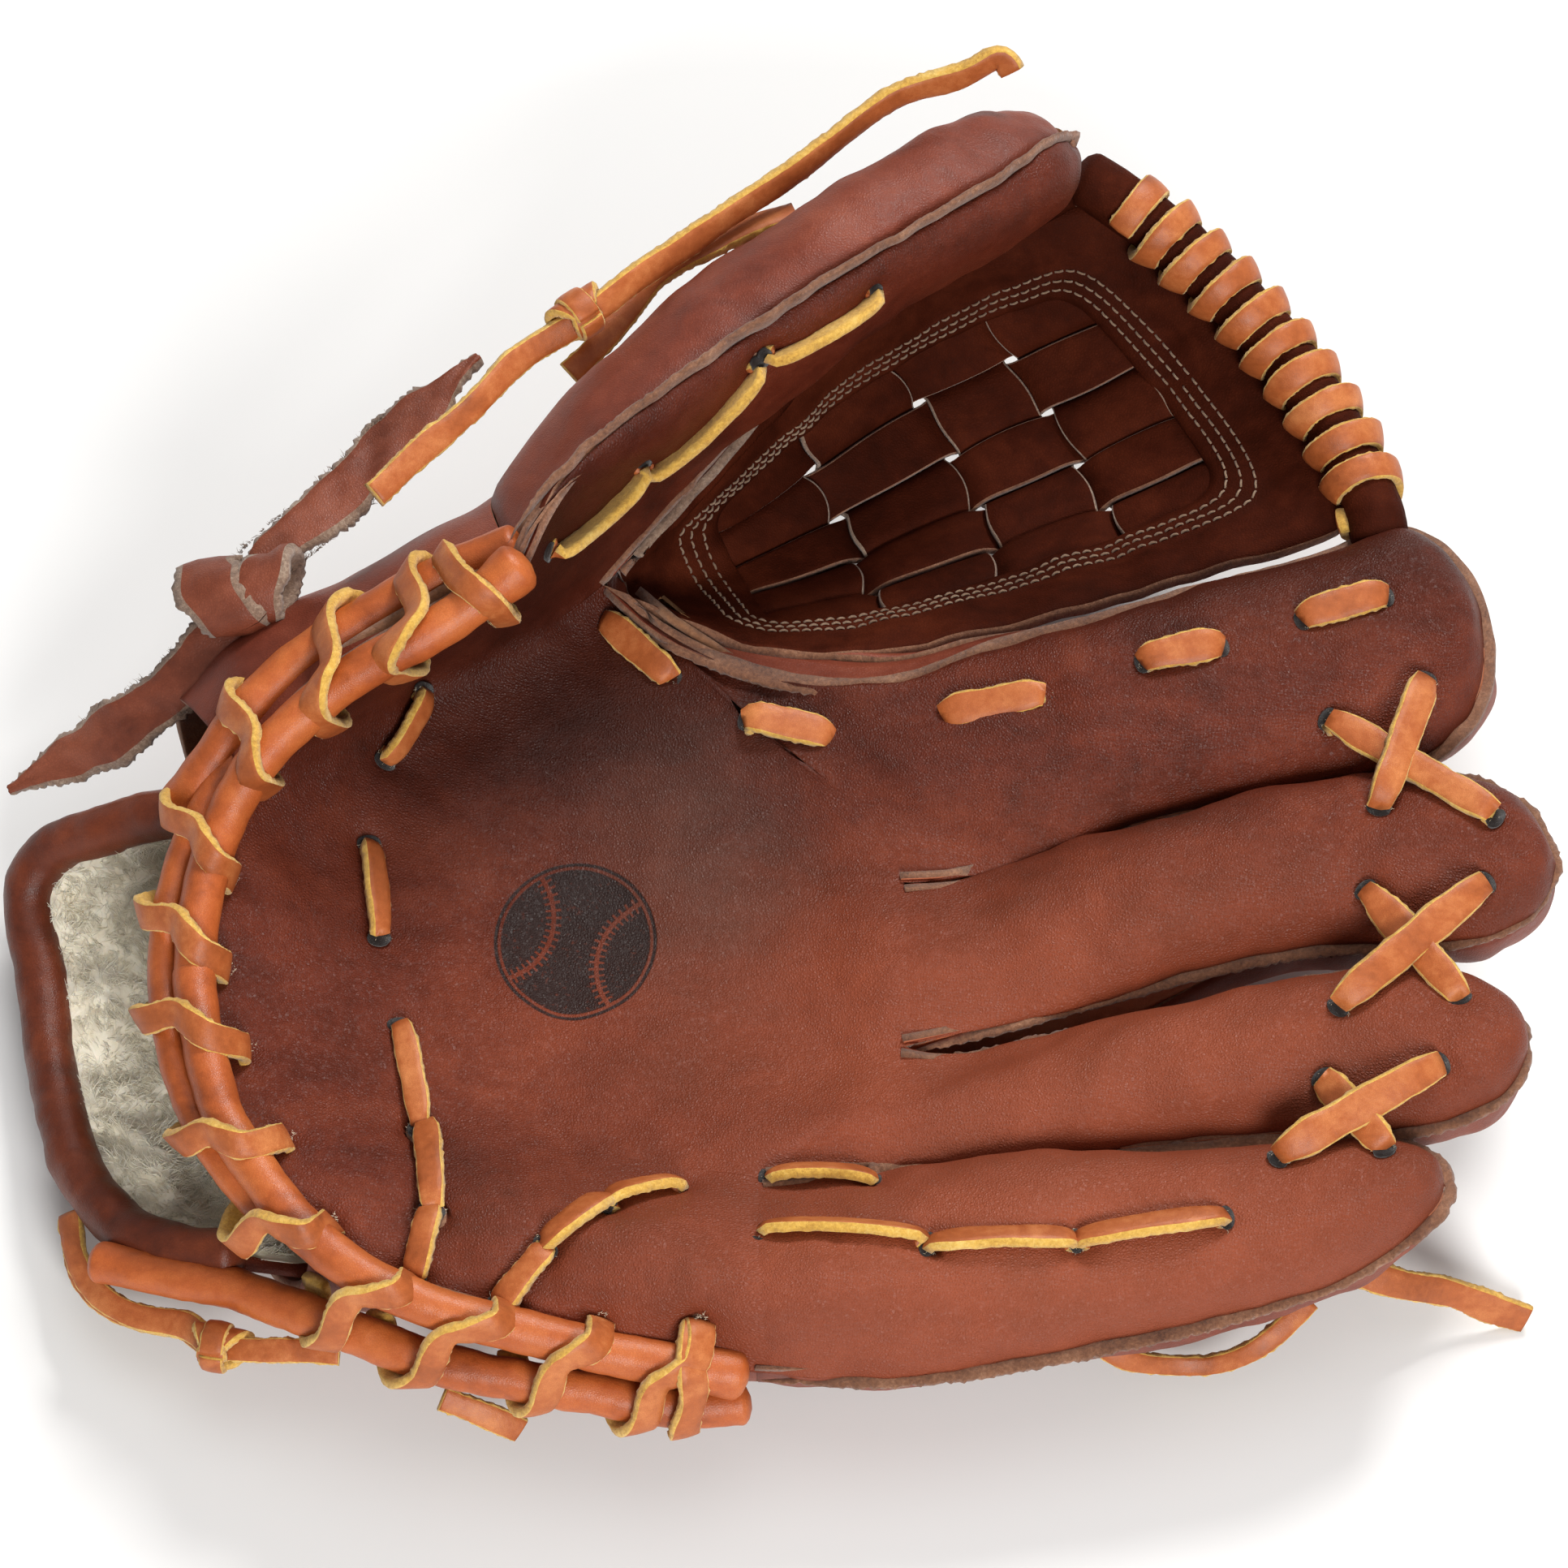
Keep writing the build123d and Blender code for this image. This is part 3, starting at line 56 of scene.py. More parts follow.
# ------------------------------------------------------------------ measured tables
def table(text):
    """array of the rows in text: rows are parted by commas, numbers by spaces"""
    return np.array([row.split() for row in text.split(",")], float)


# palm face, x y z: five stations from the heel to the finger crotches, each with eleven
# points from the thumb edge to the little-finger edge
PALM = table("""-117.42 -10.66 74, -118.7 -15.18 68, -121.29 -18.9 64, -123.6 -26.75 61,
-124.35 -36.4 59, -123.87 -47.99 58, -122.25 -61.51 57, -118.54 -75.88 56, -111.8 -91.63 56,
-105.03 -103.17 55, -98.74 -111.24 52,
-104.26 2.78 80, -101.61 2.74 66, -100.64 .03 57, -95.5 -7.57 49, -92.59 -20.76 45,
-91.23 -35.66 44, -90.61 -51.95 45, -88.23 -68.64 46, -84.35 -86.2 49, -83.15 -105.97 53,
-82.79 -121.72 50,
-90.42 9.94 87, -84.31 16.85 67, -80.13 19.51 52, -62.23 6.27 42, -51.12 -15.79 38.5,
-50.84 -31.81 37.5, -50.42 -50.4 39.5, -51.78 -69.15 40.5, -54.78 -86.61 44, -57.34 -112.35 53,
-60.63 -128.45 46,
-73.65 16.65 94, -66.97 27 71, -59.02 36.5 50, -31.76 16.29 43, -11.78 -17.85 39.5,
-11.7 -37.84 39, -11.6 -56.66 40.5, -20.23 -75.7 41.5, -28.75 -90.79 43, -29.92 -119.17 55,
-33.39 -134.41 42,
-57.01 25.26 100, -48.83 37.76 77, -40.25 52.4 50, -2.87 13.54 49, 26.29 -22.01 45,
25.29 -44.94 49, 25.88 -63.26 45, 11.08 -82.26 49, -4.49 -95.42 45, -6.09 -125.95 57,
-6.14 -138.35 37""").reshape(5, 11, 3)
# back of the hand, the same layout
BACK = table("""-117 -11 74, -132 14 62, -136 24 36, -130 6 13, -128 -16 6, -126 -36 4,
-124 -54 4, -122 -72 4, -116 -92 7, -106 -110 20, -99 -111 52,
-104 3 80, -118 28 68, -118 36 36, -104 14 11, -94 -12 3.5, -92 -35 2.5, -90 -53 2.5,
-90 -71 2.5, -88 -90 4, -84 -114 17, -83 -122 50,
-90 10 87, -100 38 72, -94 48 36, -72 20 9, -55 -10 2.5, -52 -34 2, -50 -52 2, -52 -70 2,
-55 -88 4, -58 -116 14, -60.6 -128.5 46,
-74 17 94, -82 47 76, -70 58 40, -45 28 9, -15 -15 2.5, -12 -38 2.5, -13 -56 3, -20 -74 3,
-30 -90 6, -32 -122 12, -33.4 -134.4 42,
-57 25 100, -64 56 80, -42 66 44, -12 24 6, 26 -20 6, 27 -42 3.5, 24 -63 7, 11 -79 4.5,
-5 -95 11, -6 -119 9, -6 -138 37""").reshape(5, 11, 3)
# the two edge lines of each finger stall, crotch to tip; the first is the one that starts
# nearer the thumb edge of the palm
STALL = {
    "thumb": (table("""-57.01 25.26 100, -54.41 31.04 103, -48.41 41.84 105.5,
-39.89 50.57 108, -29.06 59.91 110, -12.91 73.22 112, 0 83.64 113, 16.38 95.25 114,
33.13 108.23 113, 49.97 122.89 110, 60.03 135.71 104, 64.91 142.68 95"""), table("""
-40.25 52.4 50, -32.02 59.32 56, -19.31 72.85 62, -6.58 88.75 66, 6.23 102.97 70,
20.4 114.38 73, 34.04 121.74 76, 48.59 129.28 80, 59.55 134.85 86, 64.91 142.68 95""")),
    "index": (table("""-40.25 52.4 50, -30.13 42.15 49, -15.57 33.81 48.5, 6.14 27.13 48.5,
27.81 27.88 49, 44.53 35.1 49.5, 67.09 41.6 50.5, 87.92 47.9 51.5, 106.44 53.25 52,
124.66 59.16 53, 139.93 63.54 54, 148.48 57.26 54.5, 154.16 46.22 55, 156.12 33.23 55"""),
              table("""26.29 -22.01 45, 43.87 -17.72 41, 66.18 -9.98 41, 88.29 -4.39 42.5,
110.36 .59 45, 128.03 3.25 47.5, 142.35 7.18 50, 150 12.7 52, 154.84 22.07 54,
156.12 33.23 55""")),
    "middle": (table("""26.29 -22.01 45, 43.87 -17.72 41, 66.18 -9.98 41, 88.29 -4.39 42.5,
110.36 .59 45, 131.33 2.09 48, 148.94 .95 50.5, 159.02 -4.19 52, 166 -14.11 52.5,
167.88 -23.44 52.5"""), table("""25.88 -63.06 45, 43.19 -57.52 42, 65.14 -50.95 41.5,
86.93 -45.21 42.5, 108.66 -40.87 44.5, 124.95 -40.21 46.5, 143.02 -40.86 49,
154.64 -38.28 50.5, 163.35 -32.52 51.5, 167.88 -23.44 52.5""")),
    "ring": (table("""25.87 -63.66 45, 37.51 -63.4 41, 54.08 -60.21 40, 75.82 -55.16 40,
97.75 -49.73 41.5, 119.41 -45.89 44, 136.14 -45.31 46.5, 146.02 -48.62 48, 154.71 -54.27 49,
158.7 -62.61 49.5, 159.05 -68.22 49.5"""), table("""-4.49 -95.42 45, 21.3 -92.22 42,
42.68 -90.22 40.5, 64.24 -88.44 40.5, 85.59 -87.02 41.5, 104.82 -85.66 43, 123.74 -85.97 45,
138.7 -84.9 47, 150.23 -80.79 48.5, 156.6 -74.92 49, 159.05 -68.22 49.5""")),
    "pinky": (table("""-4.49 -95.42 45, 21.31 -92.02 42, 42.67 -90.1 41, 64.22 -88.32 41,
85.58 -87.41 41.5, 104.81 -86.58 42.5, 116.9 -86.33 43.5, 127.2 -86.88 44.5,
135.64 -89.4 45.5, 140.19 -94 46, 140.95 -99.09 46"""), table("""-6.14 -138.35 37,
20.99 -138.67 36.5, 42 -137.02 37, 63.22 -133.33 38, 84.3 -128.93 39.5, 105.48 -122.99 41,
121.54 -116.91 43, 132.18 -110.23 45, 138.56 -104.94 46, 140.95 -99.09 46""")),
}
# centre lines of the rolled bindings
ROLL = {
    "heel": table("""-57.62 22.9 101, -65.68 17.59 97, -76.17 11.45 93, -88.51 6.78 88,
-100.05 1.49 82, -110.52 -7.37 77, -117.52 -15.61 72, -122.19 -24.87 67, -125.01 -36.34 64,
-126.29 -50.77 61, -125.01 -64.23 60, -122.03 -77.57 59, -117.74 -89.8 58,
-110.43 -101.54 57, -101.58 -112.45 55, -91.16 -121 53, -79.16 -127.21 51,
-63.89 -131.38 48, -48.64 -134.03 45, -32.51 -136.69 42, -18.05 -138.34 40,
-10.4 -138.85 38"""),
    "rear_thumb": table("""-58.65 31.09 97, -66.11 29.73 94, -78.55 26.31 89,
-90.98 21.17 84, -103.39 14.75 79, -115.33 5.38 74, -124.09 -5.43 68, -131.49 -11.25 60"""),
    "rear_palm": table("""-117.31 -3.98 70, -123.83 -13.94 66, -128.88 -24.89 62,
-131.83 -37.42 59, -132.37 -50.44 57, -130.9 -63.93 56, -127.93 -76.31 55,
-123.31 -87.59 54, -116.88 -97.81 53, -108.83 -106.99 52"""),
    "rear_pinky": table("""-146.56 -105.2 24, -130.11 -110.62 28, -113.6 -116.59 32,
-102.46 -122.59 35, -91.66 -128.04 37, -75.52 -134.73 37, -59.81 -137.92 35,
-38.79 -140.91 33, -17.62 -142.46 30, -9.24 -141.7 30"""),
    "strap": table("""-130.18 -7.14 50, -142.48 -4.91 43, -153.01 -4.19 36, -163.33 -4.15 28,
-168.03 -7.91 22, -166.11 -23.74 15, -163.11 -43.39 13, -158.21 -65.01 15, -153.32 -79.78 18,
-145.75 -91.91 22, -136.16 -100.95 26, -120.7 -106.53 31, -106.3 -111.31 36"""),
    "web_top": table("""67.39 145.21 80, 71.51 143.72 78, 78.57 139.74 75, 87.25 133.91 72,
95.68 126.48 69, 104.24 118.15 66, 112.02 109.17 63, 119.08 98.6 61, 125.5 86.97 59,
130.28 76.32 57, 133.14 65.93 56, 133.61 59.12 55"""),
}
# web face: five stations from the crotch to the top roll, each with five points from the
# index finger to the thumb
WEB = table("""-34.19 48.9 50, -35.43 53.76 46, -36.22 56.62 45, -36.89 56.59 48, -37.09 54.53 54,
3.45 37.39 45, -3.87 58.67 33, -10.02 72.25 31, -14.97 78.87 41, -17.22 77.46 56,
44.85 44.36 43, 41.62 73.6 29, 34.53 97.57 27, 23.25 112.73 38, 11.83 111.07 61,
89.43 57.27 46, 84.32 83.43 36, 71.06 109.56 36, 55.54 127.73 46, 41.57 131.2 67,
132.18 65.53 54, 126.4 83.45 57, 113.2 110.66 60, 92.61 131.2 67, 69.35 142.93 76"""
            ).reshape(5, 5, 3)
# centre lines of lace tails, ties and loops
CORD = {
    "long_tail": table("""-89.56 43.88 92, -79.23 55.03 93, -65.36 70.64 94, -51.33 85.31 95,
-40.62 92.28 97, -29.94 101.64 97, -17.39 112.87 97, -1.09 124.95 99, 13.48 136.34 102,
28.05 143.93 107, 42.53 146.21 112, 48.3 147.16 114, 50.87 145.06 112"""),
    "short_tail": table("""-48 82.17 84, -37.29 94.06 86, -26.49 106.82 90, -15.63 112.84 91,
-4.73 118.2 92, 2.19 120.47 92"""),
    "tie_finger_end": table("""-119.02 34.07 70, -112.09 43.9 73, -101.67 54.05 74,
-89.46 67.97 76, -78.89 79.79 78, -68.25 91.7 80"""),
    "tie_heel_end": table("""-119.02 34.07 70, -124.47 26.26 64, -135.46 18.65 56,
-146.8 14.81 47, -160.35 13.23 36, -172.78 10.75 28"""),
    "tie_knot": table("-131.89 42.13 66, -119.11 39.18 72, -106.53 42.55 75"),
    "loop": table("""-152.89 -87.63 14, -150.02 -100.55 14, -142.74 -109.94 15,
-133.57 -114.88 17, -125.16 -118.18 20, -119.66 -124.63 22"""),
    "loop_tail": table("""-119.66 -124.63 22, -109.87 -126.15 25, -100.19 -127.36 27,
-92.16 -128.45 28"""),
    "heel_tail": table("-72.6 -135.42 22, -63.22 -137.65 18, -56.3 -138.44 13"),
    "pinky_tail": table("""117.37 -103.9 26, 128.23 -105.27 20, 139.27 -104.5 14,
150.46 -104.22 7, 161.41 -105.99 2"""),
    "pinky_low": table("72.01 -126.01 14, 82.73 -125.44 9, 93.22 -124.85 9, 100.87 -123.56 13"),
}


def lace_runs(text):
    """surface lace runs of seven points: x y z, then the leather normal"""
    return table(text).reshape(-1, 7, 6)


LACE = {
    "palm": lace_runs("""
-79.21 21.26 53.61 .638 -.709 .301, -80.62 19.25 52.31 .639 -.644 .42,
-82 16.98 51.4 .609 -.566 .556, -83.37 14.56 50.75 .584 -.494 .644,
-84.71 12.02 50.28 .532 -.418 .737, -86.06 9.43 49.9 .491 -.316 .811,
-87.39 6.79 49.61 .496 -.357 .791,
-90.87 -12.85 45.69 .333 -.217 .918, -90.43 -16.25 44.93 .318 -.166 .933,
-90 -19.7 44.28 .295 -.124 .947, -89.55 -23.24 43.78 .279 -.084 .957,
-89.09 -26.86 43.41 .269 -.039 .962, -88.62 -30.54 43.19 .265 -.011 .964,
-88.15 -34.31 43.11 .257 .021 .966,
-82.96 -57.28 43.7 .196 .077 .978, -82.11 -61.51 43.88 .198 .089 .976,
-81.26 -65.78 44.14 .189 .109 .976, -80.41 -70.11 44.53 .194 .147 .97,
-79.55 -74.52 45.1 .196 .184 .963, -78.67 -79.04 45.89 .192 .242 .951,
-77.79 -83.7 46.98 .18 .285 .942,
-76.59 -83.55 46.7 .182 .288 .94, -76.14 -87.72 47.99 .167 .331 .929,
-75.69 -91.96 49.45 .146 .341 .929, -75.24 -96.13 50.82 .101 .303 .948,
-74.82 -100.12 51.88 .103 .256 .961, -74.43 -103.83 52.45 .032 .126 .992,
-74.06 -107.31 52.61 .003 -.041 .999,
-74.57 -107.31 52.61 .003 -.041 .999, -75.04 -109.84 52.51 .01 -.042 .999,
-75.53 -112.22 52.15 -.005 -.174 .985, -76.02 -114.54 51.69 -.007 -.247 .969,
-76.52 -116.82 51.14 .009 -.274 .962, -77.02 -119.06 50.52 .036 -.26 .965,
-77.53 -121.28 49.89 .042 -.302 .953,
-22.07 -97.55 45.68 .05 .445 .894, -24.61 -98.49 46.35 .07 .496 .866,
-27.14 -99.51 47.14 .075 .497 .864, -29.67 -100.55 47.99 .086 .513 .854,
-32.19 -101.62 48.89 .092 .51 .855, -34.7 -102.68 49.78 .085 .506 .859,
-37.22 -103.69 50.56 .078 .465 .882,
-37.9 -103.73 50.64 .059 .459 .886, -39.94 -106.35 52.13 .057 .448 .892,
-41.99 -108.58 52.94 -.001 .3 .954, -44.04 -110.76 53.63 -.003 .287 .958,
-46.11 -112.53 53.58 -.075 -.018 .997, -48.19 -114.23 53.4 -.071 -.018 .997,
-50.27 -115.81 53 -.134 -.316 .939,
-50.26 -116.8 52.68 -.107 -.305 .946, -51.81 -118.58 51.93 -.102 -.296 .95,
-53.37 -120.23 50.93 -.093 -.431 .897, -54.93 -121.88 49.94 -.107 -.506 .856,
-56.5 -123.51 48.89 -.058 -.475 .878, -58.06 -125.15 47.87 -.024 -.492 .87,
-59.62 -126.81 46.89 .008 -.488 .873"""),
    "index": lace_runs("""
-40.23 45.46 46.3 .194 -.276 .941, -37.79 43.34 45.66 .025 -.141 .99,
-35.34 41.05 45.27 .025 -.141 .99, -32.89 38.51 45.29 -.104 -.079 .991,
-30.43 35.94 45.34 -.104 -.079 .991, -27.99 33.3 45.53 -.2 -.086 .976,
-25.54 30.61 45.8 -.2 -.086 .976,
-8.28 18.16 48.45 -.28 -.143 .949, -5.26 17.37 48.35 .362 .407 .839,
-2.24 17.21 47.28 .202 .297 .933, .8 16.69 46.76 .222 .321 .921,
3.82 15.89 46.67 .054 .161 .986, 6.86 15.05 46.65 .054 .161 .986,
9.88 14.13 46.75 -.014 .097 .995,
35.4 17.61 50.64 -.203 -.074 .976, 39.06 17.97 51.48 -.214 -.085 .973,
42.73 18.31 52.32 -.226 -.094 .97, 46.39 18.64 53.2 -.226 -.095 .97,
50.05 18.95 54.1 -.238 -.103 .966, 53.71 19.24 55.03 -.238 -.103 .966,
57.36 19.51 55.98 -.247 -.108 .963,
79.52 25.43 61.02 -.117 -.063 .991, 82.26 25.84 61.37 -.117 -.063 .991,
85.01 26.28 61.67 -.073 -.05 .996, 87.76 26.78 61.9 -.07 -.046 .996,
90.51 27.31 62.07 -.049 -.041 .998, 93.27 27.85 62.22 -.047 -.035 .998,
96.03 28.4 62.37 -.047 -.035 .998,
115.03 34.85 63.66 -.085 -.002 .996, 117.98 35.68 63.91 -.091 .002 .996,
120.93 36.51 64.18 -.096 .006 .995, 123.88 37.33 64.46 -.101 .01 .995,
126.82 38.14 64.76 -.105 .014 .994, 129.77 38.94 65.06 -.108 .017 .994,
132.72 39.75 65.35 -.076 -.055 .996"""),
    "pinky": lace_runs("""
-3.11 -95.33 44.83 .114 .066 .991, .6 -95.21 44.43 .064 .191 .98,
4.32 -95.16 44.16 .07 .245 .967, 8.03 -95.2 44.05 .015 .349 .937,
11.75 -95.35 44.15 -.016 .39 .921, 15.46 -95.59 44.41 -.063 .401 .914,
19.16 -95.92 44.85 -.094 .443 .892,
-4.61 -112.22 52.77 .04 .473 .88, 1.08 -112.5 52.69 .023 .465 .885,
6.77 -112.85 52.75 .004 .451 .893, 12.45 -113.28 52.95 -.018 .433 .901,
18.13 -113.71 53.15 -.02 .256 .967, 23.81 -114.15 53.38 -.042 .228 .973,
29.48 -114.65 53.72 -.062 .198 .978,
30.47 -116.41 54.13 -.062 .198 .978, 35.52 -116.34 54.36 -.079 .167 .983,
40.57 -116.3 54.64 -.064 .138 .988, 45.61 -116.19 54.8 -.031 -.102 .994,
50.66 -116.06 54.92 -.013 -.103 .995, 55.71 -115.86 54.91 .01 -.104 .995,
60.77 -115.66 54.89 .003 -.106 .994,
61.79 -115.66 54.89 .002 -.106 .994, 66.89 -114.83 55.01 -.015 -.106 .994,
71.98 -114.02 55.18 -.016 -.1 .995, 77.08 -113.22 55.37 -.023 -.098 .995,
82.18 -112.42 55.55 -.021 -.093 .995, 87.28 -111.62 55.73 -.02 -.091 .996,
92.38 -110.81 55.91 -.021 -.09 .996"""),
    "thumb": lace_runs("""
-49.86 35.47 88.33 .854 -.519 .033, -46.72 40.26 86.64 .821 -.571 -.004,
-43.55 44.8 85.32 .751 -.653 -.096, -40.33 48.7 84.98 .77 -.636 -.052,
-37.06 51.82 85.77 .688 -.718 -.101, -33.77 54.47 87.27 .634 -.762 -.132,
-30.46 56.81 89.2 .612 -.777 -.143,
-29.48 58.33 85.14 .612 -.778 -.143, -25.44 60.92 88.14 .6 -.786 -.149,
-21.4 63.3 91.41 .587 -.794 -.16, -17.37 65.74 94.59 .574 -.812 -.101,
-13.35 68.15 97.8 .57 -.815 -.109, -9.34 70.77 100.71 .572 -.819 -.042,
-5.33 73.55 103.39 .576 -.816 .049,
-3.02 75.28 104.92 .583 -.811 .053, .86 78.08 104.99 .58 -.813 .049,
4.75 80.85 105.11 .575 -.817 .042, 8.65 83.6 105.25 .574 -.818 .033,
12.55 86.41 105.33 .596 -.803 .026, 16.46 89.28 105.33 .589 -.808 .005,
20.39 92.17 105.3 .595 -.804 0"""),
    # fingertip pairs: index-middle, middle-ring and ring-pinky
    "tip_im": lace_runs("""
140.78 18.75 63.09 -.068 -.296 .953, 139.03 14.47 61.33 -.01 -.416 .909,
137.35 10.5 59.1 .056 -.563 .825, 135.75 7 56.13 .12 -.736 .666,
134.36 4.65 51.32 .243 -.968 .065, 131.45 -6.12 59.97 -.125 .434 .892,
129.41 -12.17 61.15 -.137 .141 .981,
119.82 10.82 59.27 -.015 -.461 .887, 125.84 7.81 57.57 .016 -.595 .803,
131.97 5.44 54.88 .072 -.752 .655, 138.34 -1.08 57.76 -.088 .605 .791,
142.78 -6.9 61.6 -.047 .42 .906, 148.31 -12.02 63.36 -.092 .135 .987,
153.91 -16.65 64.36 .007 .128 .992"""),
    "tip_mr": lace_runs("""
151.09 -32.79 61.83 -.025 -.521 .853, 145.9 -36.3 59.3 -.034 -.663 .748,
140.82 -39.24 55.79 -.072 -.807 .586, 136.01 -40.75 49.85 -.054 -.996 .072,
129.89 -49.07 55.47 -.104 .641 .761, 124.2 -55.41 57.79 -.15 .312 .938,
118.75 -60.5 58.04 -.133 .054 .99,
125.96 -32.71 58.64 -.137 -.459 .878, 129.24 -36.12 57.12 -.14 -.629 .765,
132.62 -39.01 54.71 -.13 -.801 .585, 136.23 -40.73 50.33 -.054 -.996 .072,
139.29 -48.71 54.78 .15 .783 .604, 141.44 -54.19 58.64 .039 .454 .89,
144.29 -59.46 60.39 -.014 .165 .986"""),
    "tip_rp": lace_runs("""
139.16 -75.94 59.27 -.059 -.326 .944, 133.48 -78.7 57.67 -.074 -.473 .878,
127.86 -81.23 55.68 -.085 -.635 .768, 122.3 -83.38 52.98 -.083 -.803 .59,
116.83 -84.98 49.29 -.067 -.935 .348, 110.54 -91.28 54.11 -.078 .518 .852,
104.6 -95.8 55.75 -.097 .318 .943,
114.82 -77.85 55.98 -.102 -.456 .884, 116.91 -80 55.12 -.11 -.456 .883,
119.04 -81.98 53.94 -.104 -.631 .769, 121.21 -83.72 52.35 -.083 -.803 .59,
123.44 -85.11 50.1 -.056 -.935 .35, 125.01 -90.02 54.26 .012 .759 .651,
126.71 -94.1 56.94 .024 .412 .911"""),
}
# holes in the palm leather where the heel lace comes up, from the thumb to the little finger
HEEL_HOLES = table("""-62.6 27.37 78.48, -80.71 18.07 72.29, -97.99 6.17 66.54,
-111.72 -8.64 63.82, -120.05 -29.08 57.73, -120.21 -50.75 56.14, -115.14 -69.58 54.35,
-105.72 -91.44 54.58, -95.47 -110.85 52.72, -78.53 -122.3 49.64, -58.6 -126.81 46.89,
-38.64 -130.65 45.47, -17.5 -132.18 47.32, -18.7 -132.53 46.53""")


# ------------------------------------------------------------------ maths
def unit(v):
    v = np.asarray(v, float)
    return v / np.maximum(np.linalg.norm(v, axis=-1, keepdims=True), 1e-12)


def square_to(v, axis):
    """unit vector of the part of v square to the unit axis"""
    return unit(v - (v * axis).sum(-1, keepdims=True) * axis)


def ring_axes(axis, up):
    first = unit(np.cross(axis, up))
    return first, np.cross(first, axis)


def lengths(points):
    """length run along the polyline at each of its points"""
    return np.concatenate([[0], np.cumsum(np.linalg.norm(np.diff(points, axis=0), axis=1))])


def interp_rows(x, xs, rows):
    return np.stack([np.interp(x, xs, rows[:, k]) for k in range(rows.shape[1])], -1)


def bends(points, gaps):
    """second derivatives of the natural cubic through points that lie gaps apart"""
    n = len(points)
    left = np.zeros((n, n))
    right = np.zeros(points.shape)
    left[0, 0] = left[-1, -1] = 1
    for i in range(1, n - 1):
        before, after = gaps[i - 1], gaps[i]
        left[i, i - 1:i + 2] = before, 2 * (before + after), after
        right[i] = 6 * ((points[i + 1] - points[i]) / after - (points[i] - points[i - 1]) / before)
    return np.linalg.solve(left, right.reshape(n, -1)).reshape(right.shape)


def cubic(start, end, bend0, bend1, gap, to_end, from_start):
    return (bend0 * to_end ** 3 / (6 * gap) + bend1 * from_start ** 3 / (6 * gap)
            + (start / gap - bend0 * gap / 6) * to_end
            + (end / gap - bend1 * gap / 6) * from_start)


def spline(points, t):
    """natural cubic through the points; t is the share of the chord length, 0 to 1"""
    points = np.asarray(points, float)
    gaps = np.linalg.norm(np.diff(points, axis=0), axis=1) + 1e-9
    x = np.concatenate([[0], np.cumsum(gaps)])
    at = np.clip(np.atleast_1d(np.asarray(t, float)), 0, 1) * x[-1]
    bend = bends(points, gaps)
    k = np.clip(np.searchsorted(x, at, side="right") - 1, 0, len(points) - 2)
    return cubic(points[k], points[k + 1], bend[k], bend[k + 1], gaps[k][:, None],
                 (x[k + 1] - at)[:, None], (at - x[k])[:, None])


def resample(line, t):
    run = lengths(line)
    return interp_rows(np.asarray(t) * run[-1], run, line)


def arc(points, t, fine=900):
    """points of the spline at even shares t of its own length"""
    return resample(spline(points, np.linspace(0, 1, fine)), t)


def smooth(x):
    x = np.clip(x, 0, 1)
    return x * x * (3 - 2 * x)


def tangents(line):
    return unit(np.gradient(line, axis=0))


def normals(grid, ref):
    """grid normals, on the side that ref points to"""
    n = unit(np.cross(np.gradient(grid, axis=0), np.gradient(grid, axis=1)))
    return n if (n @ np.asarray(ref, float)).mean() > 0 else -n


def trim(grid, start, end, axis=1):
    """shorten every line of the grid by start and end mm"""
    out = []
    for line in grid if axis == 1 else grid.transpose(1, 0, 2):
        run = lengths(line)
        out.append(interp_rows(start + run / run[-1] * (run[-1] - start - end), run, line))
    out = np.stack(out)
    return out if axis == 1 else out.transpose(1, 0, 2)


def nearest(points, p):
    return int(np.linalg.norm(points - p, axis=1).argmin())


class Waves:
    """smooth random field made of plane waves, about scale mm long"""

    def __init__(self, seed, scale, n=28):
        rs = np.random.RandomState(seed)
        direction = unit(rs.normal(size=(n, 3)))
        self.waves = direction * (2 * np.pi / (scale * rs.uniform(.6, 1.7, n)))[:, None]
        self.phases = rs.uniform(0, 6.28, n)

    def __call__(self, points):
        out = np.zeros(points.shape[:-1])
        for wave, phase in zip(self.waves, self.phases):
            out += np.sin(points @ wave + phase)
        return out / math.sqrt(len(self.phases) / 2)


# ------------------------------------------------------------------ folds
def fold(body, point, normal, start, end):
    """blend from the palm to a body, between two offsets from point along normal"""
    return body, tuple((point + normal * start) * MM), tuple((point + normal * end) * MM)


def fold_table():
    thumb = np.array([-122.45, -18.29, 63.0])
    axis = unit(np.array([107.07, 117.9, 50.0]) - thumb)
    side = unit(np.array([-axis[1], axis[0], 0]))
    rise = unit(np.cross(axis, side))
    thumb_normal = unit(side + (rise if rise[2] >= 0 else -rise))

    pinky = np.array([-111.78, -92.03, 56.0])
    axis = unit(np.array([127.14, -84.11, 47.0]) - pinky)
    side = unit(np.cross(axis, UP))
    side = side if side[1] < 0 else -side
    tilt = .17
    pinky_normal = unit(side * math.cos(tilt) + np.array(UP) * math.sin(tilt))

    first, last = ROLL["strap"][0], ROLL["strap"][-1]
    side = unit(np.cross(unit(last - first), UP))
    strap_normal = side if side[0] < 0 else -side
    return {"thumb": fold("thumb", thumb, thumb_normal, 13, 38),
            "web": fold("thumb", thumb, thumb_normal, -12, 38),
            "pinky": fold("pinky", pinky, pinky_normal, 6, 24),
            "strap": fold("strap", (first + last) / 2, strap_normal, 1, 26)}


FOLDS = fold_table()


def place(obj, part, nodes=()):
    """parent the object to the body empty of its part, or bake its placement into the mesh when the
    part is one of the folds; hide the pieces it replaces
    """
    if part in FOLDS:
        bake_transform(obj)
    else:
        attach(obj, part)
    if nodes:
        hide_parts(*nodes)


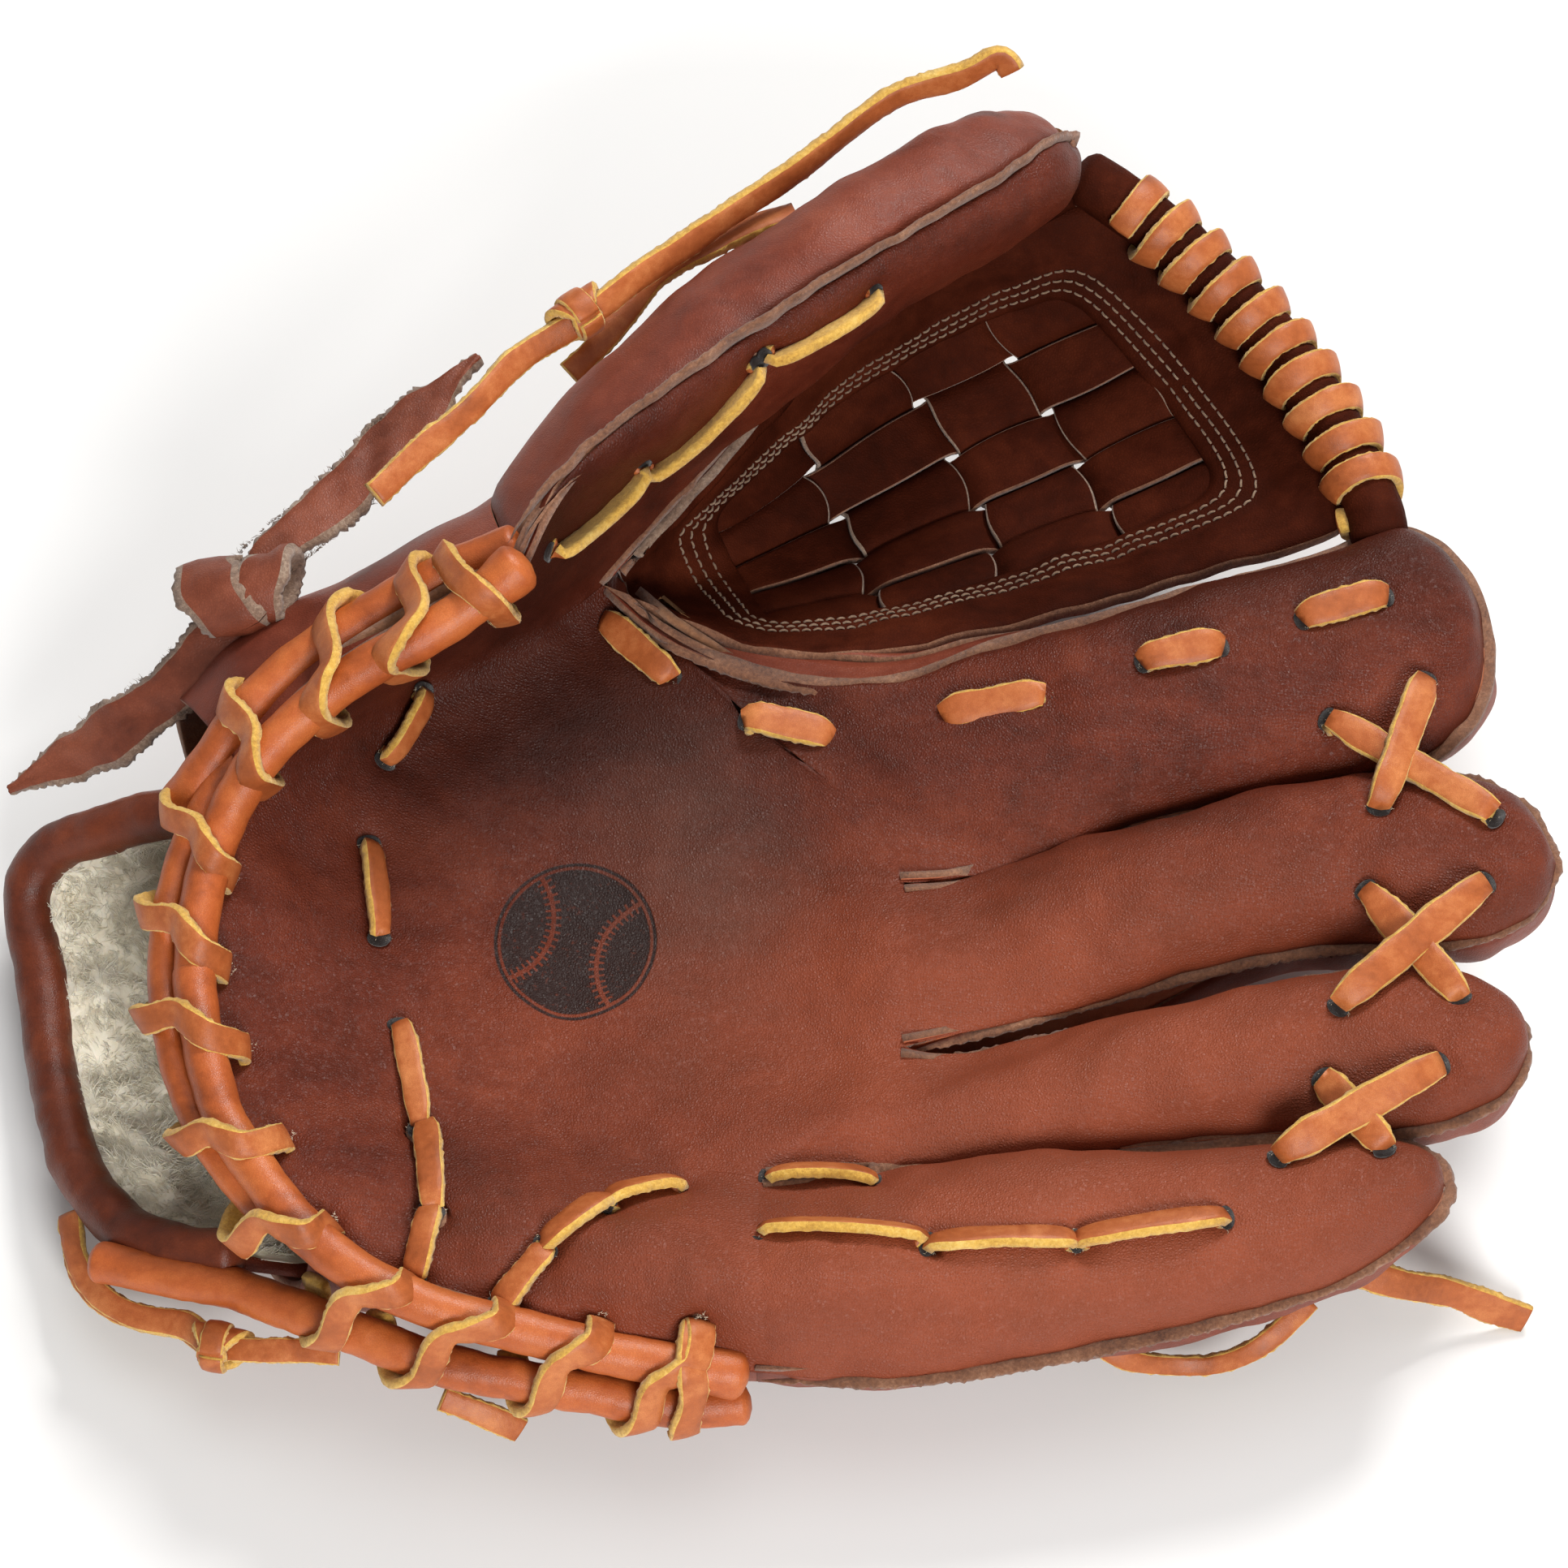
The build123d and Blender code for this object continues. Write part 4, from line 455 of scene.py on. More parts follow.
def part_of(stall_name):
    return stall_name if stall_name in FOLDS else "palm"


# ------------------------------------------------------------------ mesh makers
LOWEST = .12    # no vertex lies lower than this


def mesh(name, points, faces, mats, slots=None, rest=None):
    """mesh object; its "rest" attribute holds the place that the textures read"""
    points = np.array(points, float).reshape(-1, 3)
    points[:, 2] = np.maximum(points[:, 2], LOWEST)
    me = bpy.data.meshes.new(name)
    if isinstance(faces, np.ndarray):
        n = len(faces)
        me.vertices.add(len(points))
        me.vertices.foreach_set("co", (points * MM).ravel())
        me.loops.add(n * 4)
        me.loops.foreach_set("vertex_index", faces.ravel().astype(np.int32))
        me.polygons.add(n)
        me.polygons.foreach_set("loop_start", np.arange(0, n * 4, 4, dtype=np.int32))
        me.polygons.foreach_set("loop_total", np.full(n, 4, dtype=np.int32))
        me.update(calc_edges=True)
    else:
        me.from_pydata([tuple(p) for p in points * MM], [], [tuple(map(int, f)) for f in faces])
    for mat in mats:
        me.materials.append(mat)
    if slots is not None:
        me.polygons.foreach_set("material_index", np.asarray(slots, np.int32))
    me.polygons.foreach_set("use_smooth", np.full(len(me.polygons), True))
    rest = np.asarray(points if rest is None else rest, np.float32)
    me.attributes.new("rest", "FLOAT_VECTOR", "POINT").data.foreach_set("vector", rest.ravel() * MM)
    me.validate()
    me.update()
    obj = bpy.data.objects.new(name, me)
    bpy.context.scene.collection.objects.link(obj)
    return obj


def face_outward(obj):
    bm = bmesh.new()
    bm.from_mesh(obj.data)
    bmesh.ops.recalc_face_normals(bm, faces=bm.faces)
    bm.to_mesh(obj.data)
    bm.free()


def quads_of(rows, cols, round_cols=False, round_rows=False):
    """quads of a grid, closed on itself across its columns or its rows if asked"""
    i, j = np.meshgrid(np.arange(rows if round_rows else rows - 1),
                       np.arange(cols if round_cols else cols - 1), indexing="ij")
    i2, j2 = (i + 1) % rows, (j + 1) % cols
    corners = [i * cols + j, i * cols + j2, i2 * cols + j2, i2 * cols + j]
    return np.stack(corners, -1).reshape(-1, 4)


def end_caps(rows, cols, turn=1):
    """the two n-gons that close a tube of rows x cols points; turn -1 reverses them"""
    first = tuple(range(cols))
    last = tuple(k + (rows - 1) * cols for k in first)
    return [first[::turn], last[::-turn]]


def fan_tube(grid):
    """points and faces of a tube through the rows of grid, closed by a fan at each end"""
    rows, cols = grid.shape[:2]
    hub = rows * cols
    last = hub - cols
    faces = list(quads_of(rows, cols, round_cols=True))
    for k in range(cols):
        after = (k + 1) % cols
        faces += [(hub, after, k), (hub + 1, last + k, last + after)]
    return np.concatenate([grid.reshape(-1, 3), [grid[0].mean(0), grid[-1].mean(0)]]), faces


def column_slots(rows, cols, grain):
    """slot 0 on the grain columns of a tube, slot 1 on the others"""
    return list(np.tile([0 if k in grain else 1 for k in range(cols)], rows - 1))


class Shapes:
    """points, faces and face slots of several shapes, gathered into one mesh"""

    def __init__(self):
        self.points, self.faces, self.slots, self.count = [], [], [], 0

    def add(self, points, faces, slots=()):
        points = points.reshape(-1, 3)
        self.points.append(points)
        self.faces += [tuple(k + self.count for k in face) for face in faces]
        self.slots += slots
        self.count += len(points)

    def build(self, name, mats):
        return mesh(name, np.concatenate(self.points), self.faces, mats, self.slots or None)


def slab_faces(points, normal, rows, cols, open_row=None):
    """outer, inner and rim quads of a closed panel; no rim runs along open_row"""
    grid = quads_of(rows, cols)
    a, b, c = grid[len(grid) // 2][:3]
    facing = np.cross(points[b] - points[a], points[c] - points[a])
    flip = facing @ normal.reshape(-1, 3)[a] < 0
    outer = grid[:, ::-1] if flip else grid
    inner = (grid if flip else grid[:, ::-1]) + rows * cols
    loop = [(0, j) for j in range(cols)] + [(i, cols - 1) for i in range(1, rows)]
    loop += [(rows - 1, j) for j in range(cols - 2, -1, -1)] + [(i, 0) for i in range(rows - 2, 0, -1)]
    rim = []
    for (i, j), (i2, j2) in zip(loop, loop[1:] + loop[:1]):
        if open_row == i == i2:
            continue
        p, q = i * cols + j, i2 * cols + j2
        p, q = (p, q) if flip else (q, p)
        rim.append((p, q, q + rows * cols, p + rows * cols))
    return outer, inner, np.array(rim)


def panel(name, part, grid, ref, thickness, mats, nodes=(), bumps=None, under=None):
    """closed leather panel: grid is its outer face; mats are the outer face, rim, inner face"""
    n = normals(grid, ref)
    outer = grid if bumps is None else grid + n * bumps[..., None]
    inner = grid - n * thickness if under is None else under
    points = np.concatenate([outer.reshape(-1, 3), inner.reshape(-1, 3)])
    faces = slab_faces(points, n, *grid.shape[:2])
    last = len(mats) - 1
    slots = np.repeat([0, last, min(last, 1)], [len(f) for f in faces])
    obj = mesh(name, points, np.concatenate(faces), mats, slots,
               rest=np.concatenate([grid.reshape(-1, 3), inner.reshape(-1, 3)]))
    place(obj, part, nodes)


def tube(name, part, line, radius, mat, nodes, wobble, seed):
    """rolled leather along a line, with rounded ends; the radius may vary along it"""
    run = tangents(line)
    side = unit(np.cross(run, np.array([.31, .22, 1.0])))
    for i in range(1, len(line)):
        side[i] = square_to(side[i - 1], run[i])
    rise = np.cross(run, side)
    radii = np.broadcast_to(radius, len(line))
    angle = np.linspace(0, 2 * np.pi, 20, endpoint=False)[:, None]

    def ring(centre, i, r):
        return centre + r * (np.cos(angle) * side[i] + np.sin(angle) * rise[i])

    def dome(i, way, steps):
        return [ring(line[i] + way * run[i] * radii[i] * .55 * (1 - e), i,
                     radii[i] * math.sqrt(1 - (1 - e) ** 2)) for e in steps]

    steps = (.05, .35, .65, .88)
    body = [ring(line[i], i, radii[i]) for i in range(len(line))]
    grid = np.stack(dome(0, -1, steps) + body + dome(-1, 1, steps[::-1]))
    out = unit(grid - grid.mean(1, keepdims=True))
    swell = Waves(seed, 11.0)(grid) * wobble + Waves(seed + 1, 4.5)(grid) * wobble * .35
    obj = mesh(name, *fan_tube(grid + out * swell[..., None]), [mat])
    face_outward(obj)
    place(obj, part, nodes)


# lace cross-section, as shares of width and thickness; the grain face is on top
SECTION = np.array([(-.5, -.5), (-.52, 0), (-.5, .36), (-.455, .52), (-.25, .60), (0, .64),
                    (.25, .60), (.455, .52), (.5, .36), (.52, 0), (.5, -.5), (.25, -.55),
                    (0, -.56), (-.25, -.55)])
LACE_GRAIN = range(3, 7)                # section columns with the grain face
LACE_ROUGH = .12                        # fuzz of the suede sides
VIEW_UP = np.array([0, .848, .53])      # rolled laces lean against this


def laces(name, part, runs, seed, nodes=(), thick=1.6):
    """one mesh of flat laces; each run is (line, face normals, width, roll in radians)"""
    fuzz = Waves(seed, 1.6, n=40)
    slow = Waves(seed + 5, 14, n=20)
    cols = len(SECTION)
    hold = np.ones(cols)
    hold[3:8] = .25
    shapes = Shapes()
    for line, face, width, roll in runs:
        run = tangents(line)
        face = square_to(np.broadcast_to(np.asarray(face, float), line.shape), run)
        side = np.cross(run, face)
        lean = np.sign((side * VIEW_UP).sum(1).mean() + 1e-9)
        n = len(line)
        ends = np.minimum(np.linspace(0, 1, n), np.linspace(1, 0, n))
        a = roll * smooth(ends / .12)[:, None]
        face, side = (face * np.cos(a) - lean * side * np.sin(a),
                      side * np.cos(a) + lean * face * np.sin(a))
        x = SECTION[:, 0] * (np.asarray(width) * (1 + .045 * slow(line)))[:, None]
        z = np.broadcast_to(SECTION[:, 1] * thick, x.shape)
        grid = line[:, None] + side[:, None] * x[..., None] + face[:, None] * z[..., None]
        out = fuzz(grid) * LACE_ROUGH * hold * np.sign(SECTION[:, 0])
        up = fuzz(grid + 50) * LACE_ROUGH * .6 * hold
        grid = grid + side[:, None] * out[..., None] + face[:, None] * up[..., None]
        shapes.add(*fan_tube(grid), column_slots(n, cols, LACE_GRAIN) + [1] * (2 * cols))
    obj = shapes.build(name, [LACE_TOP, LACE_RAW])
    face_outward(obj)
    place(obj, part, nodes)


# ------------------------------------------------------------------ materials
def srgb(rgb):
    """linear colour of an 8-bit sRGB triple"""
    shares = [c / 255 for c in rgb]
    return (*[c / 12.92 if c <= .04045 else ((c + .055) / 1.055) ** 2.4 for c in shares], 1.0)


class Shader:
    def __init__(self, name):
        self.material = bpy.data.materials.new(name)
        self.material.use_nodes = True
        self.tree = self.material.node_tree
        self.rest = self.new("ShaderNodeAttribute", attribute_name="rest").outputs["Vector"]

    def feed(self, node, inputs):
        """link each value that is a socket to its input, set the others"""
        for key, value in inputs.items():
            if isinstance(value, bpy.types.NodeSocket):
                self.tree.links.new(value, node.inputs[key])
            else:
                node.inputs[key].default_value = value

    def new(self, kind, inputs={}, **settings):
        node = self.tree.nodes.new(kind)
        for key, value in settings.items():
            setattr(node, key, value)
        self.feed(node, inputs)
        return node

    def surface(self, inputs):
        self.feed(self.tree.nodes["Principled BSDF"], inputs)

    def noise(self, scale, detail=4, rough=.55, distort=0.0, stretch=None):
        vector = self.rest
        if stretch:
            mapping = self.new("ShaderNodeMapping", {"Scale": stretch, "Vector": vector})
            vector = mapping.outputs["Vector"]
        return self.new("ShaderNodeTexNoise", {
            "Scale": scale, "Detail": detail, "Roughness": rough, "Distortion": distort,
            "Vector": vector}).outputs["Fac"]

    def cell_edges(self, scale):
        return self.new("ShaderNodeTexVoronoi", {"Scale": scale, "Vector": self.rest},
                        feature="DISTANCE_TO_EDGE").outputs["Distance"]

    def ramp(self, value, stops):
        node = self.new("ShaderNodeValToRGB", {"Fac": value})
        elements = node.color_ramp.elements
        while len(elements) < len(stops):
            elements.new(.5)
        for k, (position, colour) in enumerate(stops):
            elements[k].position = position
            elements[k].color = colour
        return node.outputs["Color"]

    def remap(self, value, old, new=(0, 1)):
        return self.new("ShaderNodeMapRange", {
            "From Min": old[0], "From Max": old[1], "To Min": new[0], "To Max": new[1],
            "Value": value}).outputs["Result"]

    def mix(self, factor, a, b):
        node = self.new("ShaderNodeMix", {"Factor": 1.0}, data_type="RGBA")
        self.feed(node, {"Factor": factor, 6: a, 7: b})
        return node.outputs[2]

    def math(self, operation, a, b=None, clamp=False):
        inputs = {0: a} if b is None else {0: a, 1: b}
        node = self.new("ShaderNodeMath", inputs, operation=operation, use_clamp=clamp)
        return node.outputs[0]

    def add(self, a, b):
        return self.math("ADD", a, b)

    def sub(self, a, b, clamp=False):
        return self.math("SUBTRACT", a, b, clamp)

    def mul(self, a, b, clamp=False):
        return self.math("MULTIPLY", a, b, clamp)

    def distance(self, dx, dy):
        return self.math("SQRT", self.add(self.mul(dx, dx), self.mul(dy, dy)))

    def bump(self, layers):
        """chain of bumps, each (height, strength, depth in mm); a strength below 0 presses in"""
        before = {}
        for height, strength, depth in layers:
            node = self.new("ShaderNodeBump", {"Strength": abs(strength), "Distance": depth * MM,
                                               "Height": height, **before}, invert=strength < 0)
            before = {"Normal": node.outputs["Normal"]}
        self.surface(before)


# tints on the palm leather, most of them painted light and shade: centre x y, radii x y, fade
# start and end as shares of the radii, strength, colour, and for patchy tints the noise range and what
# it becomes
PALM_TINTS_WITH_PAINTED_LIGHT = [
    # painted shade in the deep palm at the thumb root
    ((-44, 20), (78, 50), (.0, 1.25), .85, (32, 11, 6), None),
    # painted light on the ring and little-finger side
    ((62, -66), (132, 58), (.2, 1.2), .46, (160, 82, 54), None),
    # painted light along the little-finger edge
    ((50, -122), (120, 34), (.2, 1.3), .40, (178, 94, 64), None),
    # painted shadow of the web and thumb on the upper side of the index
    ((98, 54), (84, 27), (.1, 1.25), .72, (52, 18, 8), None),
    # lighter greyish patch at the palm centre: pull-up of the stretched leather with a painted sheen
    ((-20, -18), (26, 36), (0, 1.25), .5, (98, 70, 60), ((.30, .66), (.35, 1))),
    ((-70, -30), (50, 60), (.3, 1.2), .3, (108, 50, 34), ((.4, .7), (0, 1))),
]
# stamped ball: centre, disc radii, outer and inner radii of the ring round it
STAMP_AT = (-45.6, -33.5)
STAMP_DISC, STAMP_RING = (16.5, 19.0), ((18.0, 20.6), (17.2, 19.8))
SEAM_RADIUS, SEAM_CENTRES = 15.5, ((-66, -27), (-25.5, -40))
SEAM_FLATTEN = .87          # y scale that makes the seams match the oval disc
STITCH_RATE = 62.0          # stitches per radian, times 2 pi


def palm_light_shade_and_stamp(s, colour):
    """painted shade and painted light on the palm, lighter patches of wear and sheen, and the stamped
    ball; returns the colour and the ink mask
    """
    split = s.new("ShaderNodeSeparateXYZ", {0: s.rest})
    x, y = split.outputs[0], split.outputs[1]

    def blob(centre, radii, fade):
        dx = s.math("DIVIDE", s.sub(x, centre[0] * MM), radii[0] * MM)
        dy = s.math("DIVIDE", s.sub(y, centre[1] * MM), radii[1] * MM)
        return s.remap(s.distance(dx, dy), old=fade, new=(1, 0))

    patches = s.noise(scale=42, detail=5, rough=.6, distort=.9)
    for centre, radii, fade, strength, rgb, patchy in PALM_TINTS_WITH_PAINTED_LIGHT:
        tint = blob(centre, radii, fade)
        if patchy:
            tint = s.mul(tint, s.remap(patches, *patchy))
        colour = s.mix(s.mul(tint, strength), colour, srgb(rgb))

    def seam(centre):
        """thin seam curve crossed by stitch ticks"""
        dx = s.sub(x, centre[0] * MM)
        dy = s.mul(s.sub(y, centre[1] * MM), SEAM_FLATTEN)
        reach = s.distance(dx, dy)

        def near(old):
            off = s.math("ABSOLUTE", s.sub(reach, SEAM_RADIUS * MM))
            return s.remap(off, old=old, new=(1, 0))

        line = near(old=(.00042, .00062))
        wave = s.math("SINE", s.mul(s.math("ARCTAN2", dy, dx), STITCH_RATE))
        tick = s.remap(wave, old=(.35, .6))
        return s.math("MAXIMUM", line, s.mul(tick, near(old=(.0016, .0018))))

    disc, ring_outer, ring_inner = [blob(STAMP_AT, radii, fade=(.985, 1.0))
                                    for radii in (STAMP_DISC, *STAMP_RING)]
    seams = s.math("MAXIMUM", *[seam(centre) for centre in SEAM_CENTRES])
    ink = s.math("MAXIMUM", s.sub(disc, seams, clamp=True),
                 s.sub(ring_outer, ring_inner, clamp=True))
    wear = s.remap(s.noise(scale=900, detail=3, rough=.6), old=(.30, .42), new=(.6, 1))
    ink = s.mul(s.mul(ink, wear), .93)
    return s.mix(ink, colour, srgb((34, 27, 26))), ink


def leather(name, dark, mid, light, rough=(.36, .56), grain=1500, grain_depth=.35,
            specular=.30, mottle=28, marks=None):
    """grained leather; grain and mottle are texture scales, rough the roughness range"""
    s = Shader(name)
    dark, mid, light = srgb(dark), srgb(mid), srgb(light)
    big = s.noise(scale=mottle, detail=5, rough=.6, distort=.6)
    fine = s.noise(scale=mottle * 9, rough=.65, distort=.3)
    streak = s.noise(scale=60, rough=.6, distort=.8, stretch=(.35, 1.4, 1.0))
    cloud = s.add(s.mul(big, .62), s.add(s.mul(fine, .22), s.mul(streak, .22)))
    colour = s.ramp(cloud, [(.36, dark), (.52, mid), (.70, light)])
    # pebble grain: painted shade in the creases between cells
    cell = s.cell_edges(scale=grain)
    pebble = s.noise(scale=grain * 1.1, detail=3, rough=.6)
    colour = s.mix(s.mul(s.remap(cell, old=(0, .16), new=(1, 0)), .30), colour, dark)
    layers = []
    if marks:
        fleck = s.noise(scale=1400, detail=2, rough=.7)
        colour = s.mix(s.remap(fleck, old=(.60, .74), new=(0, .30)), colour, light)
        pore = s.noise(scale=2300, detail=2, rough=.7)
        colour = s.mix(s.remap(pore, old=(.30, .42), new=(.38, 0)), colour, dark)
        colour, ink = marks(s, colour)
        layers = [(ink, -.35, .5)]
    s.surface({"Base Color": colour,
               "Roughness": s.remap(s.add(s.mul(fine, .6), s.mul(pebble, .4)),
                                    old=(.3, .7), new=rough),
               "Specular IOR Level": specular, "Coat Weight": 0, "Coat Roughness": .38})
    wrinkles = s.noise(scale=170, detail=5, rough=.62, distort=1.1)
    pebbles = s.sub(s.mul(cell, 2.2, clamp=True), s.mul(pebble, .5))
    skin = s.noise(scale=5200, detail=2, rough=.5)
    s.bump(layers + [(wrinkles, .16, 1.0), (pebbles, grain_depth, .22), (skin, .12, .06)])
    return s.material


def suede(name, dark, mid, light, scale=900, nap=.8):
    """matt fibrous surface; scale is that of the fibres, nap the strength of their bump"""
    s = Shader(name)
    cloud = s.add(s.mul(s.noise(scale=scale, detail=5, rough=.7, distort=.5), .6),
                  s.mul(s.noise(scale=90, rough=.6), .45))
    stops = [(.34, srgb(dark)), (.54, srgb(mid)), (.74, srgb(light))]
    s.surface({"Base Color": s.ramp(cloud, stops), "Roughness": .92, "Specular IOR Level": .15,
               "Sheen Weight": .25, "Sheen Roughness": .6})
    s.bump([(s.noise(scale=scale * .6, detail=5, rough=.75, distort=1.0), nap, .5),
            (s.noise(scale=scale * 3, detail=3, rough=.6), .5, .15)])
    return s.material


SHELL = leather("brown_grain_leather", dark=(64, 24, 13), mid=(94, 37, 21), light=(122, 55, 33),
                marks=palm_light_shade_and_stamp, rough=(.38, .56), specular=.20, grain_depth=.7)
SHELL_BACK = leather("brown_grain_leather_back", dark=(88, 36, 23), mid=(118, 53, 35),
                     light=(142, 72, 49), rough=(.42, .60))
TAN_ROLL = leather("rolled_tan_leather", dark=(134, 62, 26), mid=(176, 88, 40),
                   light=(200, 112, 56), rough=(.34, .5), grain=2100, grain_depth=.2,
                   mottle=45, specular=.4)
# tan binding leather made darker to paint the shade on the strap side of the glove
STRAP_ROLL_SHADED = leather("strap_binding_leather_painted_shade", dark=(62, 24, 10), mid=(94, 38, 16),
                     light=(124, 56, 26), rough=(.36, .54), grain=1900, grain_depth=.25,
                     mottle=40, specular=.35)
WEB_HIDE = leather("dark_web_leather", dark=(38, 13, 6), mid=(60, 22, 11), light=(84, 35, 19),
                   rough=(.58, .74), specular=.03, grain_depth=.5)
TIE = leather("dark_tie_leather", dark=(84, 38, 24), mid=(120, 60, 40), light=(148, 82, 58),
              rough=(.42, .6))
LACE_TOP = leather("lace_grain_face", dark=(132, 66, 30), mid=(172, 92, 46),
                   light=(206, 130, 76), specular=.35, rough=(.36, .54), grain=2600,
                   grain_depth=.15, mottle=60)
LACE_RAW = suede("lace_suede_edge", dark=(166, 116, 40), mid=(212, 166, 72),
                 light=(236, 202, 116), scale=1100)
RAW_EDGE = suede("raw_leather_edge", dark=(78, 44, 30), mid=(124, 82, 58),
                 light=(164, 120, 92), scale=1200)
GREY_EDGE = suede("raw_cut_edge_grey", dark=(84, 58, 44), mid=(134, 108, 90),
                  light=(182, 162, 142), scale=1300)
FLESH = suede("flesh_side", dark=(104, 66, 44), mid=(140, 96, 66), light=(168, 124, 90),
              scale=700)
LINER = leather("lining_leather", dark=(120, 82, 50), mid=(156, 112, 74), light=(180, 140, 98),
                rough=(.55, .75), grain=1800, grain_depth=.2)
WOOL = suede("wool_fleece", dark=(226, 216, 192), mid=(238, 231, 212), light=(246, 241, 227),
             scale=260, nap=.15)
THREAD = suede("waxed_thread", dark=(92, 68, 52), mid=(132, 106, 84), light=(166, 142, 118),
               scale=2500, nap=.4)
TAN_GUSSET = leather("tan_gusset_leather", dark=(146, 76, 48), mid=(184, 106, 72),
                     light=(206, 132, 94), rough=(.4, .6), grain=1700, grain_depth=.25)
# painted shadow inside the lace holes
HOLE = suede("lace_hole_painted_shadow", dark=(14, 7, 5), mid=(24, 12, 8), light=(36, 18, 12))
FLUFF = suede("pale_fibre", dark=(196, 180, 150), mid=(220, 206, 180), light=(236, 226, 206),
              nap=.2)
wool_inputs = WOOL.node_tree.nodes["Principled BSDF"].inputs
wool_inputs["Subsurface Weight"].default_value = .25
wool_inputs["Subsurface Radius"].default_value = (.004, .003, .002)

# ------------------------------------------------------------------ glove surfaces
STALLS = ["thumb", "index", "middle", "ring", "pinky"]
COLS = 33              # columns across one stall
HAND_ROWS = 100
STALL_ROWS = 110
TO_TIP = np.linspace(1, .012, STALL_ROWS) ** 1.5    # 1 at the crotch, near 0 at the tip
EDGE_LIFT, EDGE_GAP = .8, .5            # stall face above, and in from, its edge lines
THUMB_FRONT, THUMB_BACK = (.4, -.8, .3), (-.5, .8, -.1)    # rough facing of the thumb
# bulge of each stall over its edge plane, at four shares of the way to the tip
BULGE_AT = (0, .3, .7, 1)
FRONT_BULGE = {"thumb": (8, 9, 9, 9), "index": (10, 14, 14, 13), "middle": (10, 14, 14, 13),
               "ring": (9, 14, 14, 12), "pinky": (13, 16, 15, 13)}
BACK_BULGE = {"thumb": (24, 24, 22, 19), "index": (39, 29, 22, 18), "middle": (39, 29, 22, 18),
              "ring": (38, 28, 21, 18), "pinky": (30, 25, 20, 17)}


def facings(name):
    """directions that the front and the back of a stall face"""
    return (THUMB_FRONT, THUMB_BACK) if name == "thumb" else (UP, DOWN)


def spread(cols):
    """-1 to 1, bunched at the ends so that round edges keep their shape"""
    s = np.sin(np.linspace(-1, 1, cols) * np.pi / 2)
    return np.sign(s) * np.abs(s) ** .85


def hand(surface, first, last, start, end, rows, cols):
    """grid over stalls first to last of the palm or back, from station share start to end"""
    lines = [spline(surface[:, k], np.linspace(start, end, rows)) for k in range(11)]
    out = []
    for k in range(rows):
        row = np.stack([line[k] for line in lines])
        x = lengths(row) / lengths(row)[-1]
        t = []
        for i in range(first, last):
            a, b = x[2 * i], x[2 * i + 2]
            t += list(a + (b - a) * (spread(cols) + 1) / 2)[0 if i == first else 1:]
        out.append(spline(row, t))
    return np.stack(out)


def edge_points(name, q):
    """points on the two edges at q, matched from the tip back to the crotch"""
    sizes = [lengths(spline(edge, np.linspace(0, 1, 300)))[-1] for edge in STALL[name]]
    even = .85 * min(sizes)
    return [arc(edge, 1 - (even * q + (size - even) * q ** 3) / size)
            for edge, size in zip(STALL[name], sizes)]


def stall_frame(name, q):
    """both edges, the plane normal and the lengthwise direction at q"""
    first, second = edge_points(name, q)
    stations = np.linspace(1, .12, 30)
    a, b = edge_points(name, stations)
    run = tangents((a + b) / 2)
    normal = unit(np.cross(b - a, run))
    if normal[:, 2].mean() < 0 and name != "thumb":
        normal = -normal
    at = -np.maximum(q, .12)
    return (first, second, unit(interp_rows(at, -stations, normal)),
            unit(interp_rows(at, -stations, run)))


def stall(name, front):
    """front or back face of a finger stall, crotch to tip"""
    q = TO_TIP
    first, second, normal, run = stall_frame(name, q)
    half = (second - first) / 2
    half = half * np.maximum(
        1 - EDGE_GAP / np.maximum(np.linalg.norm(half, axis=1), .1), .05)[:, None]
    mid = (first + second) / 2 - run * (.4 * np.clip(1 - q / .25, 0, 1))[:, None]
    cap = np.sqrt(np.clip(1 - (1 - np.clip(q / .2, 0, 1)) ** 2, 0, 1))
    bulge = np.interp(1 - q, BULGE_AT, (FRONT_BULGE if front else BACK_BULGE)[name])
    height = np.maximum(bulge - EDGE_LIFT, .15 * bulge) * cap
    arch = np.abs(np.cos(np.linspace(-1, 1, COLS) * np.pi / 2)) ** (.94 if front else .85)
    rise = (height[:, None] * arch + EDGE_LIFT)[..., None] * (1 if front else -1)
    return mid[:, None] + half[:, None] * spread(COLS)[None, :, None] + normal[:, None] * rise


def on_row(grid, row, reach):
    """ease the crotch end of a stall onto the last row of the hand"""
    w = 1 - smooth((1 - TO_TIP) / reach)
    return grid + w[:, None, None] * (row - grid[0])[None]


palm_mid = hand(PALM, 1, 4, 0, 1, HAND_ROWS, COLS)
back_end = hand(BACK, 0, 5, 0, 1, 2, COLS)[-1]
palms, fronts, backs = {}, {}, {}
for i, name in enumerate(STALLS):
    palms[name] = hand(PALM, i, i + 1, 0, 1, HAND_ROWS, COLS)
    fronts[name] = on_row(stall(name, front=True), palms[name][-1], reach=.42)
    row = back_end[i * (COLS - 1):(i + 1) * (COLS - 1) + 1]
    backs[name] = on_row(stall(name, front=False), row, reach=.5)

# ------------------------------------------------------------------ leather relief
BROAD, MEDIUM, FINE = Waves(11, 46), Waves(12, 19), Waves(13, 7.0)
lace_holes = [run[end][:3] for runs in LACE.values() for run in runs for end in (0, -1)]
# depth and reach of the pit at a hole, then of the pucker round it
PITS = ((lace_holes, (1.5, 3.6), (.55, 10.0)), (HEEL_HOLES, (1.7, 3.4), (.5, 9.0)))


def relief(grid):
    """unevenness, with a dent at each lace hole, in mm along the normal"""
    out = .55 * BROAD(grid) + .22 * MEDIUM(grid) + .07 * FINE(grid)
    for holes, pit, pucker in PITS:
        for hole in holes:
            r2 = ((grid - hole) ** 2).sum(-1)
            for depth, reach in (pit, pucker):
                out -= depth * np.exp(-r2 / reach ** 2)
    return out


SHELL_THICK = 2.6
EASE_REACH, EASE_PASSES, EASE_RATE = 13.0, 22, .55    # smoothing where stalls meet the hand


